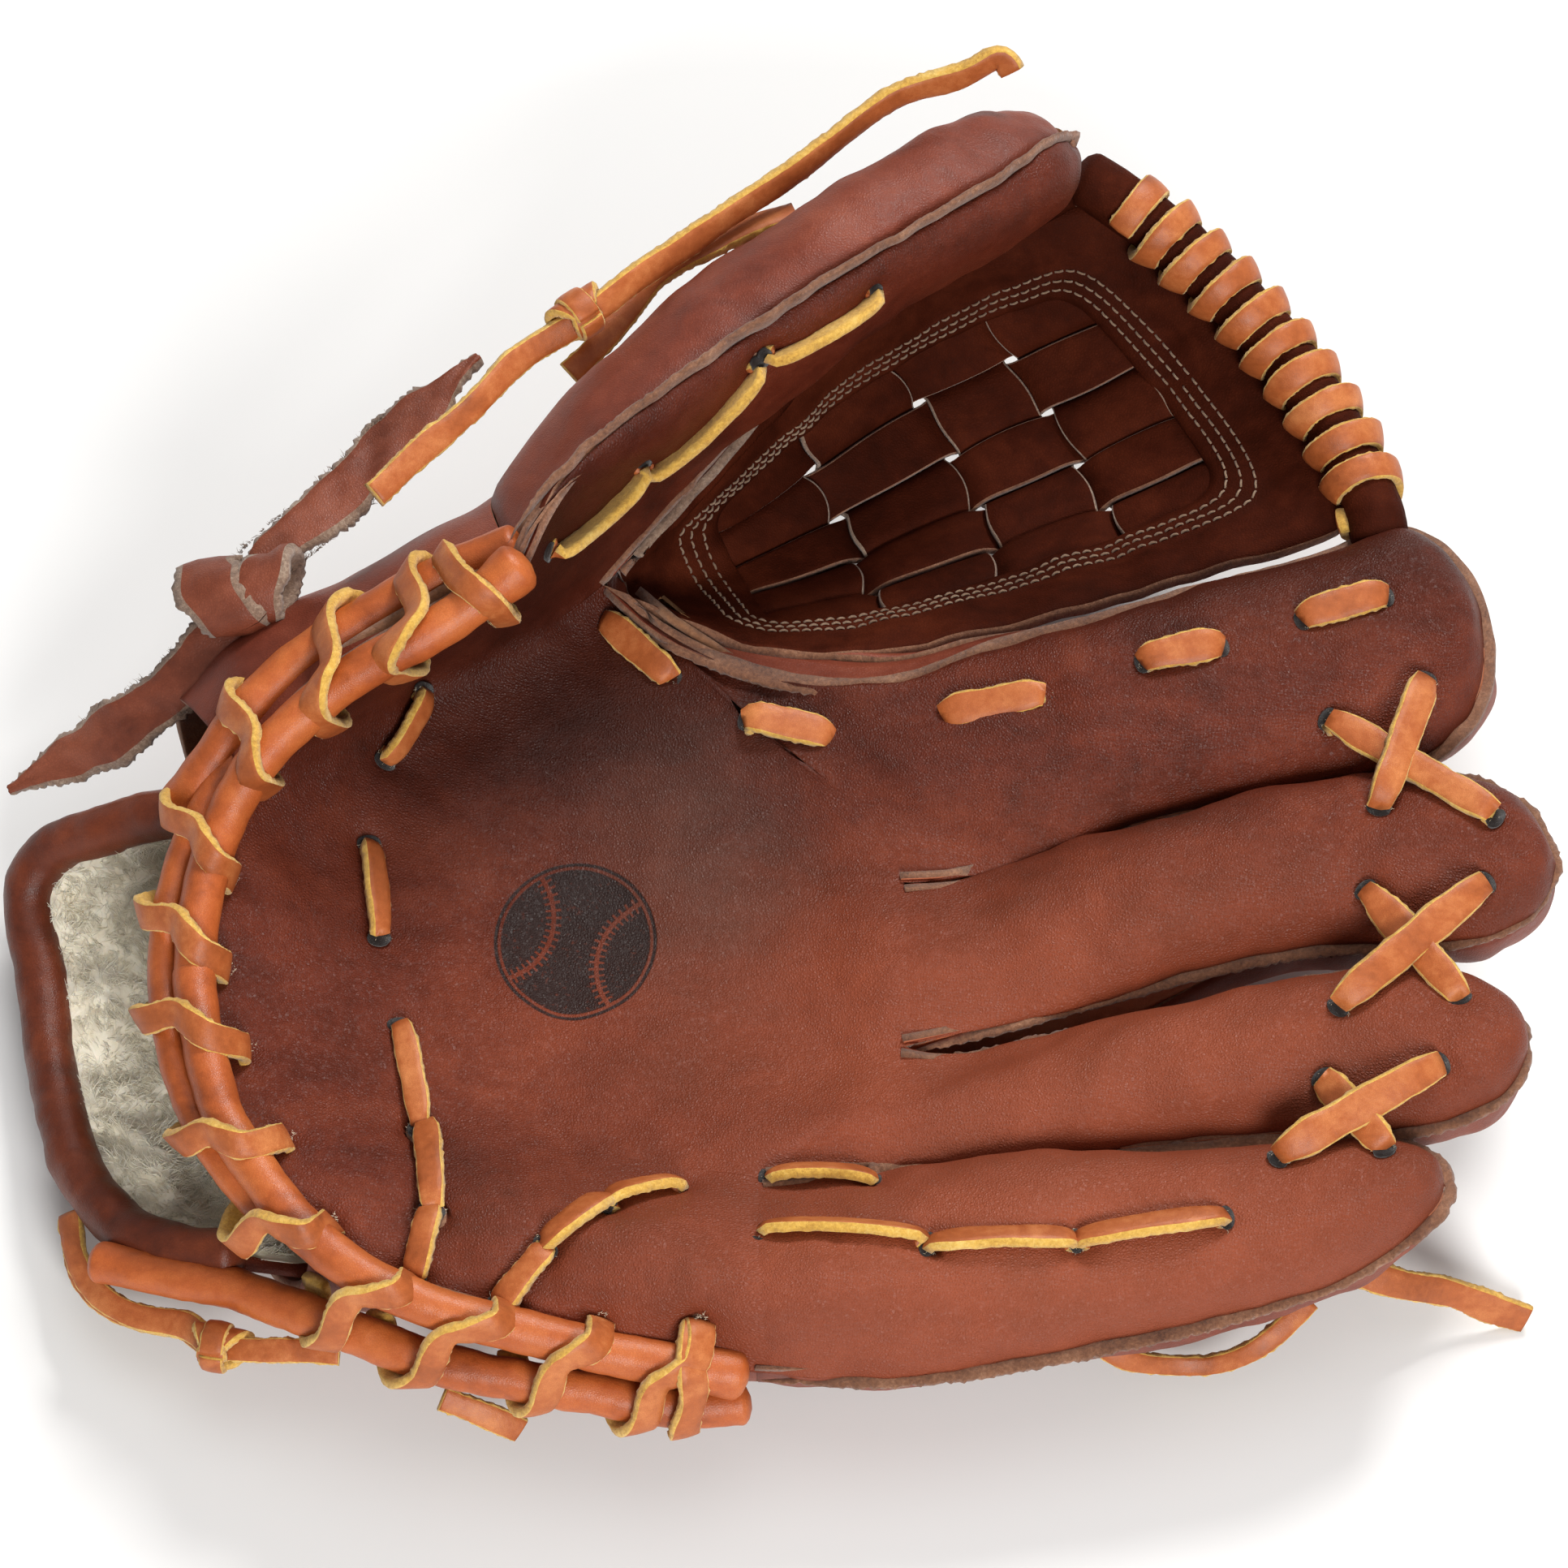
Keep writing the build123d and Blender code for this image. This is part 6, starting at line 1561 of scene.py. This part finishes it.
# ------------------------------------------------------------------ fibres
def fibres(name, part, roots, n, length, radius, seed, mat, segments=4, lean=.7,
           curl=(1.2, 3.4), scatter=.8):
    """curly three-sided hairs growing from the roots; length and curl are ranges"""
    rs = np.random.RandomState(seed)
    count = len(roots)
    side = unit(np.cross(n, [1.0, .2, 0]))
    angle = Waves(seed + 1, 9)(roots) * 2.2 + rs.normal(0, scatter, count)
    lay = side * np.cos(angle)[:, None] + np.cross(n, side) * np.sin(angle)[:, None]
    step = (rs.uniform(*length, count) / segments)[:, None]
    bend = rs.uniform(*curl, count) * rs.choice([-1, 1], count) / segments
    c, s = np.cos(bend)[:, None], np.sin(bend)[:, None]
    line = []
    p = roots - n * .4
    d = unit(n * .9 + lay * lean)
    for _ in range(segments + 1):
        line.append(p)
        p = p + d * step
        turn = np.cross(d, unit(n * .5 + side))
        d = unit(d * c + turn * s - n * .16)
    line = np.stack(line, 1)
    chord = unit(line[:, -1] - line[:, 0])
    a = unit(np.cross(chord, n) + 1e-6)
    b = unit(np.cross(chord, a))
    corner = np.array([0, 2.094, 4.189])[None, None, :, None]
    taper = (np.linspace(1.5, .3, segments + 1) * radius)[None, :, None, None]
    ring = np.cos(corner) * a[:, None, None] + np.sin(corner) * b[:, None, None]
    quads = quads_of(segments + 1, 3, round_cols=True)
    starts = (np.arange(count) * (segments + 1) * 3)[:, None, None]
    faces = (quads[None] + starts).reshape(-1, 4)
    place(mesh(name, line[:, :, None] + taper * ring, faces, [mat]), part)


def tufts(name, part, grid, n, count, seed, **looks):
    """fibres scattered over a grid"""
    rs = np.random.RandomState(seed + 900)
    rows, cols, _ = grid.shape
    x = rs.uniform(0, rows - 1.01, count)
    y = rs.uniform(0, cols - 1.01, count)
    i, j = x.astype(int), y.astype(int)
    fi, fj = (x - i)[:, None], (y - j)[:, None]

    def blend(a):
        return (a[i, j] * (1 - fi) * (1 - fj) + a[i + 1, j] * fi * (1 - fj)
                + a[i, j + 1] * (1 - fi) * fj + a[i + 1, j + 1] * fi * fj)

    fibres(name, part, blend(grid), unit(blend(n)), seed=seed, **looks)


# ------------------------------------------------------------------ wrist strap
def cloth_puff(grid, n, lift):
    """inflate the fleece cover between its sewn edges; outward travel of each point in mm"""
    frames, most, least = 20, 2.6, -.6
    coarse, out = grid[::3, ::2], n[::3, ::2]
    rows, cols, _ = coarse.shape
    start = (coarse + out * lift[::3, ::2, None]) * MM
    me = bpy.data.meshes.new("fleece_cloth")
    me.from_pydata(start.reshape(-1, 3).tolist(), [],
                   [tuple(int(i) for i in f) for f in quads_of(rows, cols)])
    obj = bpy.data.objects.new("fleece_cloth", me)
    scene = bpy.context.scene
    scene.collection.objects.link(obj)
    # sewn round the edge and at spots along the middle
    pins = [i * cols + j for i in range(rows) for j in range(cols)
            if i in (0, rows - 1) or j in (0, cols - 1) or (i % 9 == 4 and j == cols // 2)]
    obj.vertex_groups.new(name="sewn").add(pins, 1.0, "REPLACE")
    cloth = obj.modifiers.new("cloth", "CLOTH")
    settings = cloth.settings
    settings.quality = 6
    settings.mass = .2
    settings.tension_stiffness = settings.compression_stiffness = 10
    settings.shear_stiffness = 4
    settings.bending_stiffness = .4
    settings.shrink_min = -.06
    settings.use_pressure = True
    settings.uniform_pressure_force = 4.0
    settings.vertex_group_mass = "sewn"
    settings.effector_weights.gravity = 0
    cloth.collision_settings.use_collision = False
    cloth.point_cache.frame_start, cloth.point_cache.frame_end = 1, frames
    for frame in range(1, frames + 1):
        scene.frame_set(frame)
    result = obj.evaluated_get(bpy.context.evaluated_depsgraph_get())
    end = np.array([tuple(v.co) for v in result.data.vertices]).reshape(rows, cols, 3)
    scene.frame_set(1)
    bpy.data.objects.remove(obj)
    travel = np.nan_to_num(((end - start) * out).sum(2)) / MM
    travel = np.clip(travel, least, most)
    x, y = [np.linspace(0, 1, size) for size in grid.shape[:2]]
    travel = interp_rows(x, np.linspace(0, 1, rows), travel)
    return interp_rows(y, np.linspace(0, 1, cols), travel.T).T


# edge of the strap nearer the hand, thumb side to little-finger side
STRAP_INNER = table("""-112 2 36, -112 -14 17, -108 -32 8.5, -106 -52 6.5, -104 -70 7,
-100 -88 11, -98 -106 24""")


def wrist_strap():
    """binding roll, leather and fleece of the strap"""
    along, across = np.linspace(0, 1, 170), np.linspace(0, 1, 26)
    outer = arc(ROLL["strap"], np.linspace(.0, .93, 170))
    tube("strap_roll", "strap", outer, 5.6, STRAP_ROLL_SHADED, ["wrist_strap_binding"],
         wobble=.16, seed=91)
    inner = spline(STRAP_INNER, along)
    rows = []
    for w in across:
        row = outer * (1 - w) + inner * w
        row[:, 2] -= 3.0 * math.sin(math.pi * w) * np.sin(np.pi * along) ** .7
        rows.append(row)
    grid = np.stack(rows, 1)
    grid[:, :, 2] = np.maximum(grid[:, :, 2], 3.4)
    grid = trim(grid, 3.0, 0)
    panel("strap_leather", "strap", grid, UP, 3.0, [FLESH, SHELL_BACK], ["wrist_strap"],
          bumps=.25 * MEDIUM(grid))

    n = normals(grid, UP)
    puff = 2.8 + .6 * Waves(92, 16)(grid) + .4 * Waves(93, 6)(grid)
    puff = puff + cloth_puff(grid, n, puff)
    ends = np.minimum(smooth(along / .05), smooth((1 - along) / .05))[:, None]
    edge = (smooth((across + .06) / .14) * smooth((1.03 - across) / .12))[None, :]
    fleece = grid + n * (puff * ends * edge)[..., None]
    panel("strap_fleece_sheet", "strap", fleece, UP, .5, [WOOL], ["wrist_fleece"],
          under=grid - n * .2)
    for k in range(2):
        tufts("strap_fleece_tufts_%d" % k, "strap", fleece[4:-4, 1:-1], n[4:-4, 1:-1],
              7900, seed=6 + 40 * k, length=(2.4, 4.4), radius=.095,
              mat=WOOL, lean=1.35, curl=(.3, 1.5), scatter=.5)


wrist_strap()


# ------------------------------------------------------------------ loose laces and knots
def tail(points, face, seed, n=90, width=5.8, wander=.5, twist=0.0):
    """loose lace along the points; it wanders from the line and twists, in radians"""
    t = np.linspace(0, 1, n)
    line = arc(points, t)
    off = np.stack([Waves(seed + k, 30)(line) for k in range(3)], 1)
    line = line + off * (wander * np.sin(np.pi * t) ** .5)[:, None]
    run = tangents(line)
    a = square_to(np.broadcast_to(unit(face), line.shape), run)
    turn = (twist * smooth(t))[:, None]
    return line, a * np.cos(turn) + np.cross(run, a) * np.sin(turn), width, 0


def knot(centre, axis, radius):
    """overhand knot of flat lace: three crossed wraps"""
    axis = unit(axis)
    side, rise = ring_axes(axis, (0, .3, 1.))
    out = []
    # shift along the axis, lean, radius share, start angle
    for shift, lean, share, start in ((-.5, 2.3, 1.0, 0), (.55, -2.6, 1.0, 1.2),
                                      (0.0, .2, 1.28, .5)):
        angle = np.linspace(0, 2 * np.pi * .97, 40)[:, None] + start
        away = np.cos(angle) * side + np.sin(angle) * rise
        line = centre + away * (radius * share) + axis * (shift * 3.4 + lean * np.cos(angle))
        out.append((line, away, 5.4, 0))
    return out


def thumb_tails():
    """two tails behind the thumb and the knot on the longer one"""
    shift = np.array([.3, 3.2, 1.6])
    long, short = CORD["long_tail"] + shift, CORD["short_tail"] + shift
    laces("long_tail_lace", "thumb",
          [tail(long, (.25, -.55, .8), seed=101, n=190, width=6.0, twist=.8),
           tail(short, (.2, -.45, .85), seed=105, width=5.6, twist=-.7)],
          seed=111, nodes=["thumb_back_lace"], thick=2.2)
    centre = long[3] * .45 + long[4] * .55 + np.array([0, 0, .6])
    laces("long_tail_knot", "thumb", knot(centre, long[5] - long[3], radius=3.6), seed=113,
          nodes=["thumb_back_knot"], thick=1.9)


def strap_loop():
    """doubled loop at the little-finger end of the strap, its knot and tail"""
    shift = np.array([-2.0, -1.5, 2.6])
    n = 60
    upper = arc(CORD["loop"], np.linspace(0, 1, n)) + shift
    bow = np.array([-1.5, 3.2, -4.0]) * np.sin(np.linspace(0, np.pi, n))[:, None]
    lower = upper[::-1] + bow + np.array([0, 0, -2.2])
    laces("strap_loop", "strap", [(upper, (-.5, -.3, .8), 5.6, 0), (lower, (-.6, -.2, .7), 5.4, 0)],
          seed=117, nodes=["strap_loop_lace"], thick=1.7)
    centre = CORD["loop"][-1] + np.array([-1, -1.0, 3])
    laces("strap_loop_knot", "pinky", knot(centre, (1, -.25, .1), radius=3.5), seed=119,
          thick=1.8)
    end = tail(CORD["loop_tail"] + shift, (0, -.5, .85), seed=121, n=50, width=5.4, wander=.3)
    laces("strap_loop_tail", "pinky", [end], seed=122, thick=1.7)


def pinky_side_tails():
    heel = CORD["heel_tail"] + np.array([0, -1.0, 0])
    laces("heel_tail", "pinky",
          [tail(heel, (.1, -.6, .7), seed=124, n=34, width=5.4, wander=.2)],
          seed=125, nodes=["heel_tail_lace"])
    low = CORD["pinky_low"]
    under = np.concatenate([[low[0] + np.array([-11, 11, 8.])], low + np.array([0, 2.2, 2.4]),
                            [low[-1] + np.array([12, 11, 8.])]])
    laces("pinky_tail", "pinky",
          [tail(CORD["pinky_tail"] + np.array([0, -1.2, 0]), (.1, -.5, .8), seed=127, n=80,
                width=6.6, wander=.6, twist=.5),
           tail(under, (.0, -.7, .7), seed=129, n=60, width=4.6, wander=.2)],
          seed=130, nodes=["pinky_back_lace"], thick=1.8)


thumb_tails()
strap_loop()
pinky_side_tails()

# ------------------------------------------------------------------ wrist tie
tie_finger_end = CORD["tie_finger_end"] + np.array([0, 1.0, 1.5])
tie_heel_end = CORD["tie_heel_end"] + np.array([0, .5, 1.5])
# cross-sections, as shares of width and thickness
TIE_SECTION = [(-.50, -.2), (-.5, .25), (-.40, .52), (-.2, .62), (.0, .5), (.2, .66), (.40, .5),
               (.5, .25), (.50, -.2), (.3, -.5), (0, -.5), (-.3, -.5)]
BAND_SECTION = [(-.50, -.3), (-.5, .25), (-.38, .5), (-.15, .62), (.15, .62), (.38, .5),
                (.5, .25), (.50, -.3), (.2, -.6), (-.2, -.6)]


def is_edge(x):
    return abs(x) > .45


def tie_bands():
    """the two wide soft ends of the tie, with frayed edges"""
    n, m = 120, len(TIE_SECTION)
    u = np.linspace(0, 1, n)
    taper = (.20 + .80 * smooth((1 - u) / .30)) * (.90 + .10 * smooth(u / .3))
    jag, big = Waves(7, 1.3, n=50), Waves(9, 12)
    shapes = Shapes()
    for points, face, width, thickness in ((tie_finger_end, (-.25, -.2, .95), 13.5, 3.0),
                                           (tie_heel_end, (-.1, -.35, .9), 14.0, 3.2)):
        line = arc(points, u)
        run = tangents(line)
        normal = square_to(np.broadcast_to(unit(face), line.shape), run)
        side = np.cross(run, normal)
        grid = []
        for x, z in TIE_SECTION:
            fray, lift = (.28, .12) if is_edge(x) else (.04, 0)
            out = x * width * taper * (1 + .09 * big(line + x))
            out = out + fray * np.sign(x) * jag(line + x * 9)
            up = z * thickness + .5 * big(line * 1.3 + x * 14) + lift * jag(line + 30)
            grid.append(line + side * out[:, None] + normal * up[:, None])
        faces = list(quads_of(n, m, round_cols=True)) + end_caps(n, m)
        shapes.add(np.stack(grid, 1), faces, column_slots(n, m, range(2, 6)) + [1, 1])
    obj = shapes.build("wrist_tie_bands", [TIE, GREY_EDGE])
    face_outward(obj)
    place(obj, "thumb", ["wrist_tie"])


def tie_knot():
    """two leaning bands wrapped round the middle of the tie"""
    n, m = 90, len(BAND_SECTION)
    start, mid, end = CORD["tie_knot"]
    centre = mid + np.array([0, -4.0, 1.0])
    axis = unit(end - start)
    first, second = ring_axes(axis, [0, 0, 1.0])
    jag, big = Waves(151, 1.4, n=50), Waves(152, 9)
    angle = np.linspace(0, 2 * np.pi, n)[:, None]
    away = np.cos(angle) * first * 1.12 + np.sin(angle) * second * .85
    shapes = Shapes()
    # shift along the axis, lean, radius, width
    for shift, lean, radius, width in ((-3.8, 3.4, 6.9, 15.0), (6.0, -3.2, 6.3, 12.0)):
        line = centre + away * radius + axis * (shift + lean * np.cos(angle + .5))
        normal = unit(away)
        side = np.cross(tangents(line), normal)
        grid = []
        for x, z in BAND_SECTION:
            fray = .22 if is_edge(x) else 0
            out = x * width * (1 + .1 * big(line)) + fray * np.sign(x) * jag(line + x)
            up = z * 3.0 + .45 * big(line + 10 * x)
            grid.append(line + side * out[:, None] + normal * up[:, None])
        shapes.add(np.stack(grid, 1), quads_of(n, m, round_cols=True),
                   column_slots(n, m, range(2, 5)))
    obj = shapes.build("wrist_tie_knot_bands", [TIE, GREY_EDGE])
    face_outward(obj)
    place(obj, "thumb", ["wrist_tie_knot"])


def tie_fray():
    """fibres along both edges of each tie end, starting at the knot"""
    k = 0
    for key in ("tie_finger_end", "tie_heel_end"):
        line = arc(CORD[key] + np.array([0, 1.0, 1.5]), np.linspace(0, 1, 60))[:42]
        side = np.cross(tangents(line), unit([-.2, -.3, .9]))
        for way in (-1, 1):
            edge = np.stack([line + side * way * 6.6, line + side * way * 6.2], 1)
            tufts("wrist_tie_fray_%d" % k, "thumb", edge,
                  np.broadcast_to([-.1, -.2, .95], edge.shape), 300, seed=160 + k,
                  length=(.8, 2.2), radius=.07, mat=GREY_EDGE)
            k += 1


tie_bands()
tie_knot()
tie_fray()


# ------------------------------------------------------------------ fibre round lace holes
def hole_fluff(name, part, ends, seed):
    rs = np.random.RandomState(seed)
    roots, n_out = [], []
    for p, n, d in ends:
        w = np.cross(n, d)
        for _ in range(34):
            a = rs.uniform(0, 2 * np.pi)
            c, s = math.cos(a), math.sin(a)
            roots.append(p + d * (c * rs.uniform(1.1, 1.9)) + w * (s * rs.uniform(2.0, 3.0))
                         - n * .9)
            n_out.append(unit(n + d * c * .8 + w * s * .8))
    fibres(name, part, np.array(roots), np.array(n_out), length=(.5, 1.3), radius=.055,
           seed=seed, mat=FLUFF, segments=3)


hole_fluff("fluff_palm", "palm", hole_ends(
    [*LACE["palm"][:3], *LACE["index"], *LACE["tip_im"], *LACE["tip_mr"]]), seed=201)
hole_fluff("fluff_pinky", "pinky", hole_ends(
    [*LACE["palm"][3:], *LACE["pinky"], *LACE["tip_rp"]]), seed=202)
for name, part, half in (("fluff_heel_thumb", "thumb", True), ("fluff_heel_pinky", "pinky", False)):
    ends = []
    for hole, station in zip(HEEL_HOLES, hole_stations):
        if on_thumb_half(station) == half:
            centre, _, _, rise, run = roll_frame(station)
            ends.append((hole + rise * .6, unit(rise + unit(hole - centre) * .3), run))
    hole_fluff(name, part, ends, seed=203 + len(ends))

# ------------------------------------------------------------------ pads and linings
STALL_LININGS = {"thumb": ["thumb_lining"], "pinky": ["pinky_lining"], "index": ["finger_linings"]}


def inset(grid, sides, start, end):
    """trim a grid at both sides and at its two ends"""
    return trim(trim(grid, sides, sides), start, end, axis=0)


def layer(name, part, grid, ref, depth, thickness, mat, nodes=()):
    """inner panel, depth below the outer surface"""
    panel(name, part, grid - normals(grid, ref) * depth, ref, thickness, [mat], nodes)


for name in STALLS:
    part = part_of(name)
    front_ref, back_ref = facings(name)
    front = fronts[name][::2, ::2]
    layer(name + "_felt", part, inset(front, 3, 4, 5), front_ref, 3.0, 2.2, FLESH,
          [name + "_pad"])
    layer(name + "_liner_front", part, inset(front, 6, 6, 10), front_ref, 6.2, .8, LINER,
          STALL_LININGS.get(name, ()))
    layer(name + "_liner_back", part, inset(backs[name][::2, ::2], 4, 6, 10), back_ref, 3.6, .8,
          LINER)
for name, i in (("thumb", 0), ("pinky", 4)):
    layer(name + "_heel_felt", name, inset(hand(PALM, i, i + 1, .05, .95, 40, 13), 2, 5, 5),
          facings(name)[0], 3.2, 2.6, FLESH, [name + "_heel_pad"])


# ------------------------------------------------------------------ floor, lights, world
def add_floor():
    """pale square sheet that glows to plain white away from the glove, for the camera only"""
    s = Shader("paper_floor")
    paper = s.ramp(s.noise(scale=3, detail=3, rough=.5),
                   [(.3, (.82, .82, .82, 1)), (.7, (.85, .85, .85, 1))])
    position = s.new("ShaderNodeNewGeometry").outputs["Position"]
    radius = s.new("ShaderNodeVectorMath", {0: position}, operation="LENGTH").outputs["Value"]
    seen = s.new("ShaderNodeLightPath").outputs["Is Camera Ray"]
    s.surface({"Base Color": paper, "Roughness": .9, "Specular IOR Level": .1,
               "Emission Strength": s.mul(s.remap(radius, old=(.24, .62)), seen),
               "Emission Color": (1, 1, 1, 1)})
    half, z = 3.2, -.0004
    me = bpy.data.meshes.new("floor")
    corners = ((-half, -half), (half, -half), (half, half), (-half, half))
    me.from_pydata([(x, y, z) for x, y in corners], [], [(0, 1, 2, 3)])
    me.materials.append(s.material)
    obj = bpy.data.objects.new("floor", me)
    bpy.context.scene.collection.objects.link(obj)
    return obj


def area_light(name, location, size, power, colour=(1, 1, 1)):
    """round area light aimed at the glove; metres and watts"""
    aim = Vector((0, 0, .04))
    data = bpy.data.lights.new(name, "AREA")
    data.shape = "DISK"
    data.size = size
    data.energy = power
    data.color = colour
    obj = bpy.data.objects.new(name, data)
    obj.location = location
    obj.rotation_euler = (aim - Vector(location)).to_track_quat("-Z", "Y").to_euler()
    bpy.context.scene.collection.objects.link(obj)
    return obj


def set_world():
    """white to the camera, dimmer as a light"""
    strength = .32
    world = bpy.context.scene.world or bpy.data.worlds.new("world")
    bpy.context.scene.world = world
    world.use_nodes = True
    tree = world.node_tree
    background = tree.nodes["Background"]
    background.inputs["Color"].default_value = (1, 1, 1, 1)
    background.inputs["Strength"].default_value = strength
    path = tree.nodes.new("ShaderNodeLightPath")
    level = tree.nodes.new("ShaderNodeMapRange")
    level.inputs["To Min"].default_value = strength
    level.inputs["To Max"].default_value = 1.0
    tree.links.new(path.outputs["Is Camera Ray"], level.inputs["Value"])
    tree.links.new(level.outputs["Result"], background.inputs["Strength"])


floor = add_floor()
lights = [
    area_light("key", location=(.45, .95, 1.3), size=.5, power=22, colour=(1, .985, .96)),
    area_light("fill", location=(.35, -1.55, 1.05), size=.8, power=31, colour=(1, .99, .97)),
    area_light("top", location=(.1, .1, 1.7), size=1.2, power=4),
]
set_world()
bpy.context.scene.view_settings.view_transform = "Standard"
